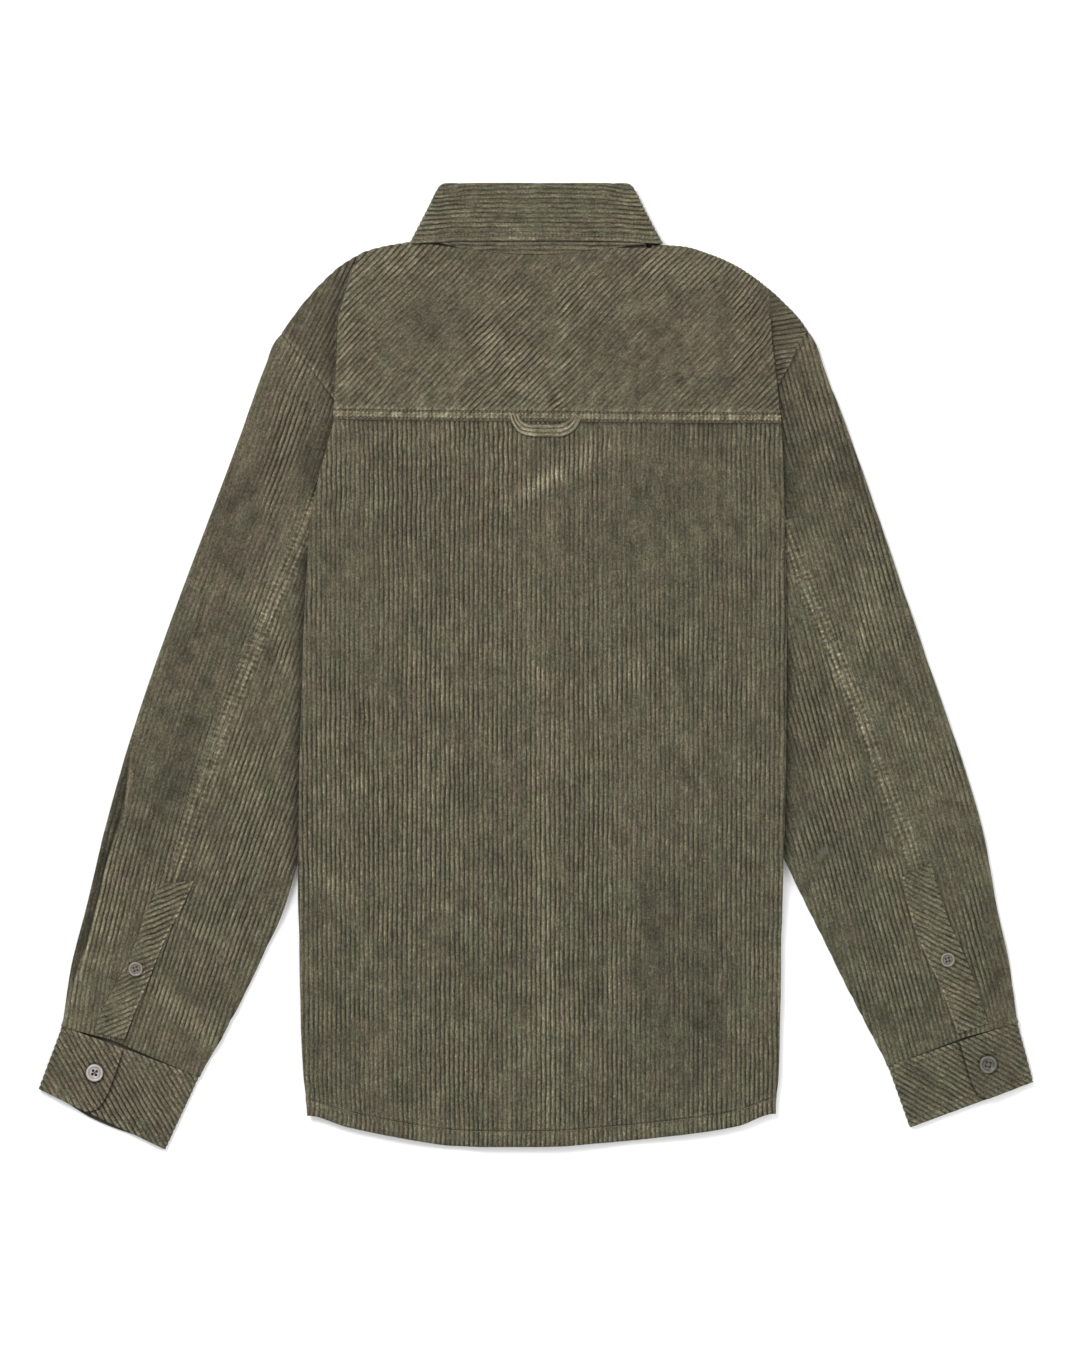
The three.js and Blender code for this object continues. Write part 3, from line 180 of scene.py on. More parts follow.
def to_line(x, y, line):
    """signed distance to a run of points (positive on its left) and the length along it"""
    p = np.stack([np.ravel(x), np.ravel(y)], 1)
    line = np.asarray(line, float)
    best = np.full(len(p), 1e9)
    sign = np.ones(len(p))
    run = np.zeros(len(p))
    total = 0.0
    last = len(line) - 2
    for k in range(len(line) - 1):
        a, b = line[k], line[k + 1]
        ab = b - a
        length = float(np.hypot(*ab))
        t = ((p - a) @ ab) / length ** 2
        tc = np.clip(t, 0, 1)
        d = np.hypot(*(p - (a + tc[:, None] * ab)).T)
        closer = d < best
        cross = ab[0] * (p[:, 1] - a[1]) - ab[1] * (p[:, 0] - a[0])
        best[closer] = d[closer]
        sign[closer] = np.where(cross[closer] >= 0, 1, -1)
        tr = t if (k == 0 or k == last) else tc
        run[closer] = total + (tr * length)[closer]
        total += length
    shape = np.shape(x)
    return (best * sign).reshape(shape), run.reshape(shape)


def pchip(t, values, q):
    h = np.diff(t)
    d = np.diff(values, axis=0) / h.reshape(-1, *([1] * (values.ndim - 1)))
    m = np.zeros_like(values)
    m[0], m[-1] = d[0], d[-1]
    for k in range(1, len(t) - 1):
        w1, w2 = 2 * h[k] + h[k - 1], h[k] + 2 * h[k - 1]
        same = d[k - 1] * d[k] > 0
        with np.errstate(divide="ignore", invalid="ignore"):
            s = (w1 + w2) / (w1 / d[k - 1] + w2 / d[k])
        m[k] = np.where(same, s, 0)
    k = np.clip(np.searchsorted(t, q, side="right") - 1, 0, len(t) - 2)
    e = (-1, *([1] * (values.ndim - 1)))
    hk = h[k].reshape(e)
    s = ((q - t[k]) / h[k]).reshape(e)
    return ((2 * s ** 3 - 3 * s ** 2 + 1) * values[k] + (s ** 3 - 2 * s ** 2 + s) * hk * m[k]
            + (-2 * s ** 3 + 3 * s ** 2) * values[k + 1] + (s ** 3 - s ** 2) * hk * m[k + 1])


def stations(lengths, step):
    """where the fine lines go between the coarse ones; a step may be given for each gap"""
    steps = step if hasattr(step, "__len__") else [step] * len(lengths[0])
    mean, most = lengths[0], lengths[1]
    t, q, knots, at = [0.0], [0.0], [0], 0.0
    for k in range(len(mean)):
        count = max(1, int(math.ceil(most[k] / steps[k])))
        length = max(mean[k], 1e-3)
        q += [at + length * (i + 1) / count for i in range(count)]
        at += length
        t.append(at)
        knots.append(len(q) - 1)
    return np.array(t), np.array(q), knots


def refine(grid, row_step, col_step):
    g = np.array(grid, float)
    dr = np.linalg.norm(np.diff(g, axis=0), axis=2)
    dc = np.linalg.norm(np.diff(g, axis=1), axis=2)
    tr, qr, kr = stations((dr.mean(1), np.percentile(dr, 90, axis=1)), row_step)
    tc, qc, kc = stations((dc.mean(0), np.percentile(dc, 90, axis=0)), col_step)
    f = pchip(tr, g, qr)
    f = pchip(tc, f.transpose(1, 0, 2), qc).transpose(1, 0, 2)
    return f, kr, kc


def normals(p):
    n = np.cross(np.gradient(p, axis=0), np.gradient(p, axis=1))
    return n / np.maximum(np.linalg.norm(n, axis=2, keepdims=True), 1e-9)


def rib(across):
    """cross-section of corduroy: 0 in the channel and 1 along the top of a rib"""
    d = np.abs(2 * (across - np.floor(across)) - 1)
    return 1 - d ** 2.6


# ------------------------------------------------------------------ layers, as in the part
def fold_x(side, y):
    return look(FOLD[side], y)


def arm_x(side, y):
    return look(ARMHOLE[side], y)


def top_y(x):
    return look(TOP, x)


def hem_y(x):
    return look(HEM, x)


def yoke_seam_y(x):
    return 209.8 - 0.0092 * (x + 171.7)


def cover(side, x, y):
    return (soft((abs(fold_x(side, y)) + 30 - abs(x)) / 24) * soft((CROSSING[side] + 36 - y) / 34)
            * soft((y + 262) / 60))


def sleeve_low(side, x, y):
    return HALF + 2 * LAYER * cover(side, x, y)


def sleeve_up(side, x, y):
    return sleeve_low(side, x, y) + mix(SLEEVE_LOFT, SLEEVE_PRESSED, cover(side, x, y))


def sleeve_zone(side, x, y):
    bound = arm_x(side, y) if y > UNDERARM else look([(r[5], r[4]) for r in SLEEVE[side]], y)
    return soft((44 + abs(x) - abs(bound)) / 40)


def tuck_z(side, x, y):
    return mix(HALF + 2 * LAYER, sleeve_up(side, x, y) + OVER_SLEEVE, sleeve_zone(side, x, y))


FRONT_TUCK_Z = HALF + LAYER


def near_collar(x, y):
    return soft((y - 222) / 28) * soft((138 - abs(x)) / 28)


def front_z(x, y):
    return HALF + max(LAYER * near_collar(x, y), BUTTON_LIFT * soft((60 - abs(x)) / 38))


def right_front_z(x, y):
    return HALF + max(LAYER * near_collar(x, y), (BUTTON_LIFT + LAYER) * soft((75 - x) / 52))


def back_z(x, y):
    side = "left" if x < 0 else "right"
    bound = abs(INNER_FOLD[side] if y > 209.5 else arm_x(side, y))
    w = soft((abs(x) - (bound - 45)) / 45)
    centre = HALF + 5 + 2.8 * max(soft((72 - abs(x - 2)) / 40), near_collar(x, y))
    return mix(centre, tuck_z(side, x, y) + LAYER, w)


def fold_arc(cx, cy, ox, oy, z1, z2, radius, steps=3):
    out = []
    for k in range(steps):
        a = math.pi * (k + 1) / (steps + 1)
        out.append((cx + ox * radius * math.sin(a), cy + oy * radius * math.sin(a),
                    (z1 + z2) / 2 - (z2 - z1) / 2 * math.cos(a)))
    return out


# ------------------------------------------------------------------ forms, as in the part
def back_body_grid():
    rows = []
    for y0 in BACK_ROWS:
        v = (BACK_ROWS[0] - y0) / (BACK_ROWS[0] - BACK_ROWS[-1])
        y_top = lambda x: yoke_seam_y(x) - SEAM / 2
        y_at = lambda x: mix(y_top(x), hem_y(x), v)
        sides = {}
        for name in ("left", "right"):
            s = SIGN[name]
            xf, xt = fold_x(name, y0), arm_x(name, y0)
            centre = xf - s * (HALF + R_FOLD)
            y_t = lambda x: mix(y_top(x), hem_y(xf) + 19 * (abs(xf) - abs(x)) / (abs(xf) - abs(xt)), v)
            pts = [(xt - s * 0.6, y_t(xt), tuck_z(name, xt, y_t(xt)) - 0.4)]
            for t in (0, 0.33, 0.67, 1):
                x = mix(xt, centre, t)
                pts.append((x, y_t(x), tuck_z(name, x, y_t(x))))
            zl, zu = tuck_z(name, centre, y_t(centre)), back_z(centre, y_at(centre))
            pts += fold_arc(centre, y_at(centre), s, 0, zl, zu, R_FOLD)
            sides[name] = (pts, centre)
        (left, cl), (right, cr) = sides["left"], sides["right"]
        top = []
        for i in range(14):
            x = mix(cl, cr, i / 13)
            top.append((x, y_at(x), back_z(x, y_at(x))))
        rows.append(left + top + right[::-1])
    return rows


def yoke_grid():
    nx = 5
    x0, x1 = -147.3, 190.7
    across = [0, 0.073] + [(x - x0) / (x1 - x0) for x in NECK_X] + [0.8, 0.87, 0.94, 1]
    reach = {"left": 348.1, "right": 324.2}

    def beyond(name, v):
        s = SIGN[name]
        arm = ARMHOLE[name]
        ay = mix(arm[3][0] + 0.3, arm[0][0], v)
        ax = arm_x(name, ay) - s * SEAM / 2
        fy = mix(yoke_seam_y(fold_x(name, 209.5)), reach[name], v)
        xf = fold_x(name, fy)
        folded = 1 - soft((v - 0.6) / 0.28)
        step = 1 - soft((v - 0.84) / 0.16)
        xi = mix(xf + s * 1.5, INNER_FOLD[name], folded)
        return s, ax, ay, fy, xf, xi, folded, step

    def side_points(name, v):
        s, ax, ay, fy, xf, xi, folded, step = beyond(name, v)
        _, ax1, ay1, fy1, xf1, _, _, _ = beyond(name, 1)
        pts = []
        ci = xi + s * (HALF + R_FOLD) * folded
        ex, ey = ci + s * 0.6 * (1 - folded), fy
        for i in range(nx + 1):
            t = i / nx
            x, y = mix(ax, ex, t), mix(ay, ey, t)
            xo, yo = mix(ax1, xf1 + s * 3, t), mix(ay1, fy1, t)
            y = y + v * v * (top_y(xo) - yo) * (0 if i == 0 else 1)
            pts.append((x, y, mix(sleeve_up(name, x, y), HALF + SLEEVE_LOFT, soft((v - 0.6) / 0.4))))
        lx, ly, za = pts[-1]
        yf = mix(yoke_seam_y(xf), top_y(xf), v)
        z_top = mix(za, za + 2 * LAYER, step)
        z_mid = (za + z_top) / 2
        cf = xf - s * (HALF + R_FOLD) * folded
        arcs = fold_arc(ci, ly, -s, 0, za, z_mid, R_FOLD)
        arcs.append((mix(ci, cf, 0.04), mix(ly, yf, 0.04), z_mid))
        arcs.append((mix(ci, cf, 0.96), mix(ly, yf, 0.96), z_mid))
        arcs += fold_arc(cf, yf, s, 0, z_mid, z_top, R_FOLD)
        xe = xf - s * 4
        ye = mix(yoke_seam_y(xe), top_y(xe), v)
        plain = []
        for k in range(8):
            t = (k + 1) / 9
            plain.append((mix(lx, xe, t), mix(ly, ye, t), mix(za, z_top, soft(t))))
        w = soft((folded - 0.12) / 0.5)
        pts += [tuple(mix(np.array(b), np.array(a), w)) for a, b in zip(arcs, plain)]
        return pts, mix(xe, cf, w), z_top

    rows = []
    for v in YOKE_STEP:
        left, lx, lz = side_points("left", v)
        right, rx, rz = side_points("right", v)
        top = []
        for f in across:
            x = mix(lx, rx, f)
            y = mix(yoke_seam_y(x) + SEAM / 2, top_y(x) - (SEAM / 2 if abs(x) < NECK_HALF else 0), v)
            w = soft(min(f, 1 - f) / 0.2)
            edge = mix(HALF + SLEEVE_LOFT, 8.6, soft((135 - abs(x)) / 30))
            inner = mix(back_z(x, min(y, 345)), edge, soft((v - 0.72) / 0.28) * (0 if abs(x) < NECK_HALF else 1))
            top.append((x, y, mix(lz if f < 0.5 else rz, inner, w)))
        rows.append([list(p) for p in left + top + right[::-1]])
    for p in rows[0]:
        p[1] = yoke_seam_y(p[0]) + SEAM / 2
    m = len(rows[0])
    last = rows[-1]
    first = [list(p) for p in last]
    neck_from = next(j for j, p in enumerate(last) if p[0] > -NECK_HALF - 0.5)
    neck_to = max(j for j, p in enumerate(last) if p[0] < NECK_HALF + 0.5)
    wrap = [[] for _ in range(6)]
    for j in range(m):
        p = last[j]
        left, right = j <= neck_from, j >= neck_to
        if not left and not right:
            for k, w in enumerate(wrap):
                w.append([p[0], p[1] + 1.2 * (k + 1), p[2]])
            continue
        name = "left" if left else "right"
        a, b = first[max(0, j - 1)], first[min(m - 1, j + 1)]
        tx, ty = b[0] - a[0], b[1] - a[1]
        tl = math.hypot(tx, ty)
        ox, oy = -ty / tl, tx / tl
        z_bot = front_z(p[0], p[1])
        r = (p[2] - z_bot) / 2
        z_out = p[2]
        p[0] -= ox * (r + HALF)
        p[1] -= oy * (r + HALF)
        for k, t in enumerate((0.25, 0.5, 0.75, 1)):
            ang = math.pi * t
            wrap[k].append([p[0] + ox * r * math.sin(ang), p[1] + oy * r * math.sin(ang),
                            (z_out + z_bot) / 2 + r * math.cos(ang)])
        count = neck_from if left else m - 1 - neck_to
        t = j / count if left else (m - 1 - j) / count
        table = FRONT_TOP[name][:3]
        half, at = round(count / 2), round(t * count)
        sx = mix(table[0][0], table[1][0], at / half) if at <= half else mix(table[1][0], table[2][0], (at - half) / (count - half))
        sy = look(table, sx) + SEAM / 2
        for k, d in enumerate((0.5, 1)):
            x, y = mix(p[0], sx, d), mix(p[1], sy, d)
            wrap[4 + k].append([x, y, front_z(x, y)])
    return rows + wrap, len(rows), neck_from, neck_to


def front_grid(name):
    s = SIGN[name]
    cross = CROSSING[name]
    table = FRONT_TOP[name]
    heights = [table[0][1]] + [cross + d for d in FRONT_ROWS] + FRONT_ROWS_LOW
    total = table[0][1] - heights[-1]
    z_at = front_z if name == "left" else right_front_z
    top_at = lambda x: look(table, x) - SEAM / 2
    stop_zero = arm_x(name, table[0][1]) - s * (SEAM / 2 + 5 + HALF + R_FOLD)
    rows = []
    for y0 in heights:
        v = (table[0][1] - y0) / total
        turn = math.pi * soft((cross + 8 - y0) / 16)
        arc = math.pi * R_FOLD
        xa = arm_x(name, y0)
        folded = turn > math.pi - 0.01
        x_edge = fold_x(name, y0) - s * 3 if folded or turn > 0.3 else xa - s * (SEAM / 2 + 5)
        centre = x_edge - s * (HALF + R_FOLD)
        hem_front = lambda x: hem_y(min(200, max(-190, x))) + 7
        x_end = -s * FRONT_OVERLAP
        y_at = lambda x: mix(top_at(x), hem_front(x), v)
        stops = []
        for i, x in enumerate((0, 185, 150, 118, 86, 76, 42, 4)):
            stops.append(0 if i == 0 else (abs(stop_zero) - (abs(table[1][0]) if i == 2 else x)) / (abs(stop_zero) + FRONT_OVERLAP))
        outer = []
        for f in stops + [1]:
            x = mix(centre, x_end, f)
            outer.append((x, y_at(x), z_at(x, y_at(x))))
        pts = []
        y = y_at(centre)
        if folded:
            length = abs(xa) - abs(centre)
            y_t = lambda x: mix(top_at(x), hem_front(centre) + 17 * (abs(centre) - abs(x)) / max(20, -length), v)
            pts.append((xa - s * 0.6, y if y0 > UNDERARM else y_t(xa), FRONT_TUCK_Z + 0.4))
            for t in (0, 0.5, 1):
                x = mix(xa, centre, t)
                pts.append((x, y if y0 > UNDERARM else y_t(x), FRONT_TUCK_Z))
            pts += fold_arc(centre, y, s, 0, FRONT_TUCK_Z, HALF, R_FOLD)
        else:
            z0, za = z_at(centre, y), sleeve_low(name, xa, y0)
            reach_to = abs(xa - s * SEAM / 2 - centre) if turn < 0.01 else arc + 2.2
            for k in range(7):
                d = reach_to * (7 - k) / 7
                if turn < 0.01:
                    dx, dz = d, 0
                elif d <= arc:
                    c = turn / arc
                    dx, dz = math.sin(c * d) / c, (1 - math.cos(c * d)) / c
                else:
                    c = turn / arc
                    dx = math.sin(turn) / c + math.cos(turn) * (d - arc)
                    dz = (1 - math.cos(turn)) / c + math.sin(turn) * (d - arc)
                rise = (za - z0) * soft((7 - k) / 7) if turn < 0.01 else 0
                x = centre + s * dx
                pts.append((x, y_at(x) if turn < 0.01 else y, z0 + dz + rise))
        rows.append(pts + outer)
    return rows


def sleeve_grids(name):
    s = SIGN[name]
    table = SLEEVE[name]
    last = len(table) - 1

    def whole(r):
        return math.hypot(r[4] - r[0], r[5] - r[1])

    def upper_at(row, t, part):
        r = table[row]
        if part == "low":
            return mix(r[0], r[4], t), mix(r[1], r[5], t)
        if part == "main":
            return mix(r[0], r[2], t), mix(r[1], r[3], t)
        return mix(r[2], r[4], t), mix(r[3], r[5], t)

    row_list = [(0, 0), (0, 3)] + [(k + 1, 0) for k in range(last)]

    def hidden(y, part):
        return 1 - soft((y - (CROSSING[name] - 26)) / 12) if part == "low" else 1 - soft((y - 199) / 10)

    arm = ARMHOLE[name]
    on_arm = {"main": [table[0][3], arm[3][0], arm[2][0], arm[1][0]],
              "low": [None, arm[1][0], arm[2][0], arm[3][0], arm[5][0]]}

    def place(entry, t, part, station=-1):
        row, off = entry
        x, y = upper_at(row, t, part)
        if row == 0:
            if station >= 0 and part in on_arm and station < len(on_arm[part]) and on_arm[part][station]:
                y = on_arm[part][station]
            near_cross = (0.3 if part == "low" else 0) + 1.6 * soft(1 - abs(y - CROSSING[name] + 2) / 22) * (1 if part == "low" else 0)
            near_top = -0.35 if part != "low" else 0.0
            curl = hidden(y, part) if off == 0 else 0
            return (arm_x(name, y) + s * (SEAM / 2 + near_cross + near_top + off) - s * curl * 0.6, y - off * 0.5, curl)
        if row <= 2:
            r = table[0]
            rr = table[row]
            f = t if part == "low" else (y - rr[1]) / (rr[5] - rr[1])
            y0 = mix(r[1], r[5], f)
            line = mix(r[0], r[4], (y0 - r[1]) / (r[5] - r[1]))
            bulge = (arm_x(name, y0) - line) * (0.6 if row == 1 else 0.25)
            return x + bulge * (1 if part == "low" else 0.4), y, 0
        return x, y, 0

    def to_cuff(entry):
        return soft((entry[0] - (last - 2)) / 2)

    def z_up(p, entry, level):
        return mix(sleeve_up(name, p[0], p[1]), level, to_cuff(entry)) + p[2] * 0.4

    def z_low(p, entry):
        return mix(sleeve_low(name, p[0], p[1]), 1.2, to_cuff(entry)) - p[2] * 0.4

    end = 12
    main, under = [], []
    for entry in row_list:
        r = table[entry[0]]
        w = whole(r)
        ex, ey = (r[4] - r[0]) / w, (r[5] - r[1]) / w
        main_w = math.hypot(r[2] - r[0], r[3] - r[1])
        o = place(entry, 0, "main")
        rad = (sleeve_up(name, o[0], o[1]) - sleeve_low(name, o[0], o[1])) / 2
        inset = HALF + rad
        pts = []
        for i in range(5):
            t = mix(1 - SEAM / 2 / main_w, inset / main_w, i / 4)
            p = place(entry, t, "main", i)
            pts.append((p[0], p[1], z_up(p, entry, 5.7)))
        c = place(entry, inset / w, "low")
        cx, cy = (c[0] + pts[4][0]) / 2, (c[1] + pts[4][1]) / 2
        pts += fold_arc(cx, cy, -ex, -ey, z_up(o, entry, 5.2), z_low(o, entry), rad)
        for i in range(6):
            t = mix(inset / w, 1 - (end + SEAM / 2) / w, i / 5)
            p = place(entry, t, "low", i)
            pts.append((p[0], p[1], z_low(p, entry)))
        main.append(pts)
        under_w = math.hypot(r[4] - r[2], r[5] - r[3])
        q = place(entry, 1, "low")
        rad = (sleeve_up(name, q[0], q[1]) - sleeve_low(name, q[0], q[1])) / 2
        inset = HALF + rad
        pts = []
        for i in range(6):
            t = mix(SEAM / 2 / under_w, 1 - inset / under_w, i / 5)
            p = place(entry, t, "under")
            pts.append((p[0], p[1], z_up(p, entry, 4.4)))
        c = place(entry, 1 - inset / w, "low")
        pts += fold_arc((c[0] + pts[5][0]) / 2, (c[1] + pts[5][1]) / 2, ex, ey, pts[5][2], z_low(c, entry), rad)
        for i in range(2):
            t = mix(1 - inset / w, 1 - (end - SEAM / 2) / w, i)
            p = place(entry, t, "low")
            pts.append((p[0], p[1], z_low(p, entry)))
        under.append(pts)
    out = []
    for g in (main, under):
        g = np.array(g, float)
        d = g[-1] - g[-2]
        g[-1] += d / np.linalg.norm(d, axis=1, keepdims=True) * 0.55
        head_x, head_y = table[0][0], table[0][1]
        near = np.exp(-((g[..., 1] - (head_y - 9)) / 9.0) ** 2 - ((g[..., 0] - head_x) / 16.0) ** 2)
        g[..., 0] -= s * (2.4 if s < 0 else 4.6) * near
        out.append(g)
    return out


def cuff_point(name, f, down):
    c = CUFF[name]
    return (mix(mix(c[0], c[2], f), mix(c[4], c[6], f), down), mix(mix(c[1], c[3], f), mix(c[5], c[7], f), down))


def lap_z(f):
    return mix(5, CUFF_HIGH, soft((f - 0.06) / 0.16))


def cuff_grid(name):
    rows = []
    peep = 0.055 if name == "left" else 0.0
    for down, lap in CUFF_ROWS[name]:
        def at(f, z):
            more = peep * max(0.0, down - 0.7) / 0.3 * math.sin(math.pi * min(1.0, max(0.0, (f - 0.18) / 0.56))) if z < CUFF_MID - 0.1 else 0.0
            return (*cuff_point(name, f, down + more), z)
        ox, oy = cuff_point(name, 0, down)
        ix, iy = cuff_point(name, 1, down)
        w = math.hypot(ix - ox, iy - oy)
        ex, ey = (ix - ox) / w, (iy - oy) / w
        r_out, r_in = (5 - CUFF_LOW) / 2, (CUFF_MID - CUFF_LOW) / 2
        f_out, f_in = (r_out + CUFF_CLOTH / 2) / w, 1 - (r_in + CUFF_CLOTH / 2) / w
        pts = []
        for t in (0, 0.35, 0.6, 0.8, 1):
            f = mix(lap, f_out, t)
            pts.append(at(f, lap_z(f)))
        c = cuff_point(name, f_out, down)
        pts += fold_arc(c[0], c[1], -ex, -ey, 5, CUFF_LOW, r_out)
        pts += [at(mix(f_out, f_in, t / 5), CUFF_LOW) for t in range(6)]
        c = cuff_point(name, f_in, down)
        pts += fold_arc(c[0], c[1], ex, ey, CUFF_LOW, CUFF_MID, r_in)
        pts += [at(mix(f_in, CUFF_TUCK, t / 5), CUFF_MID) for t in range(6)]
        rows.append(pts)
    return rows


def placket_z(name, x, y, k, n):
    return mix(sleeve_up(name, x, y) + CLOTH + SEAM + 0.15, CUFF_HIGH + 0.2, soft((k - (n - 3)) / 2))


def placket_grid(name):
    t = PLACKET[name]
    rows = []
    for k, r in enumerate(t):
        row = []
        for i in range(5):
            x, y = mix(r[0], r[2], i / 4), mix(r[1], r[3], i / 4)
            row.append((x, y, placket_z(name, x, y, k, len(t))))
        rows.append(row)
    return rows


def collar_ring(mirror):
    s = 1 if mirror else -1
    raised = RIGHT_FRONT_RAISE if mirror else [0] * len(COLLAR)
    out = []
    for k, r in enumerate(COLLAR):
        r = np.array(r, float)
        back = k <= COLLAR_SIDE
        out.append({"r": r, "s": s, "ang": 0 if back else math.pi, "z": r[0] + raised[k], "side": False, "half": 0})
        if k == COLLAR_SIDE:
            b = np.array(COLLAR[k + 1], float)
            for t in (0.25, 0.5, 0.75):
                out.append({"r": mix(r, b, t), "s": s, "ang": math.pi * t, "z": (r[0] + b[0]) / 2, "side": True,
                            "half": (r[0] - b[0]) / 2})
    return out


def collar_point(st, x, y, extra):
    rad = st["half"] + extra if st["side"] else extra
    if st["side"]:
        z = st["z"] + math.cos(st["ang"]) * rad
        x = x + math.sin(st["ang"]) * rad
    else:
        z = st["z"] + (extra if st["ang"] == 0 else -extra)
    return (st["s"] * x, y, z)


def collar_grids():
    left, right = collar_ring(False), collar_ring(True)

    def ring(skip):
        cut = 1 if skip else 0
        return left[:len(left) - cut][::-1] + right[1:len(right) - cut]

    stand = []
    for st in ring(False):
        _, nx, ny, sx, sy = st["r"][:5]
        stand.append([collar_point(st, mix(nx, sx, t), mix(ny + SEAM / 2, sy - SEAM, t), 0) for t in (0, 0.5, 1)])
    leaf = []
    for st in ring(True):
        _, nx, ny, sx, sy, rx, ry, ex, ey = st["r"]
        up = math.hypot(rx - sx, ry - sy)
        ux, uy = (rx - sx) / up, (ry - sy) / up
        cut = max(0.3, 1 - (LAYER / 2 + HALF) / up)
        pts = [collar_point(st, mix(sx, rx, t * cut), mix(sy, ry, t * cut), 0) for t in (0, 1)]
        cx, cy = mix(sx, rx, cut), mix(sy, ry, cut)
        for a in (0.25, 0.5, 0.75):
            ang, h = math.pi * a, LAYER / 2
            pts.append(collar_point(st, cx + ux * h * math.sin(ang), cy + uy * h * math.sin(ang), h - h * math.cos(ang)))
        front = st["ang"] == math.pi and not st["side"]
        low = st["z"] - HALF if front else LAYER
        for t in (0, 0.35, 0.7, 1):
            extra = mix(LAYER, low, soft(t * 1.3)) if front else LAYER
            pts.append(collar_point(st, mix(cx, ex, t), mix(cy, ey, t), extra))
        leaf.append(pts)
    return stand, leaf


def loop_grid():
    lift = [-0.9, 0.1, 0.3, 0.5, 0.5, 0.3, 0.1, -0.9]
    rows = []
    for k, r in enumerate(LOOP):
        row = []
        for t in (0, 0.5, 1):
            x, y = mix(r[0], r[2], t), mix(r[1], r[3], t)
            row.append((x, y, back_z(x, y) + CLOTH + SEAM + 0.05 + lift[k]))
        rows.append(row)
    return rows


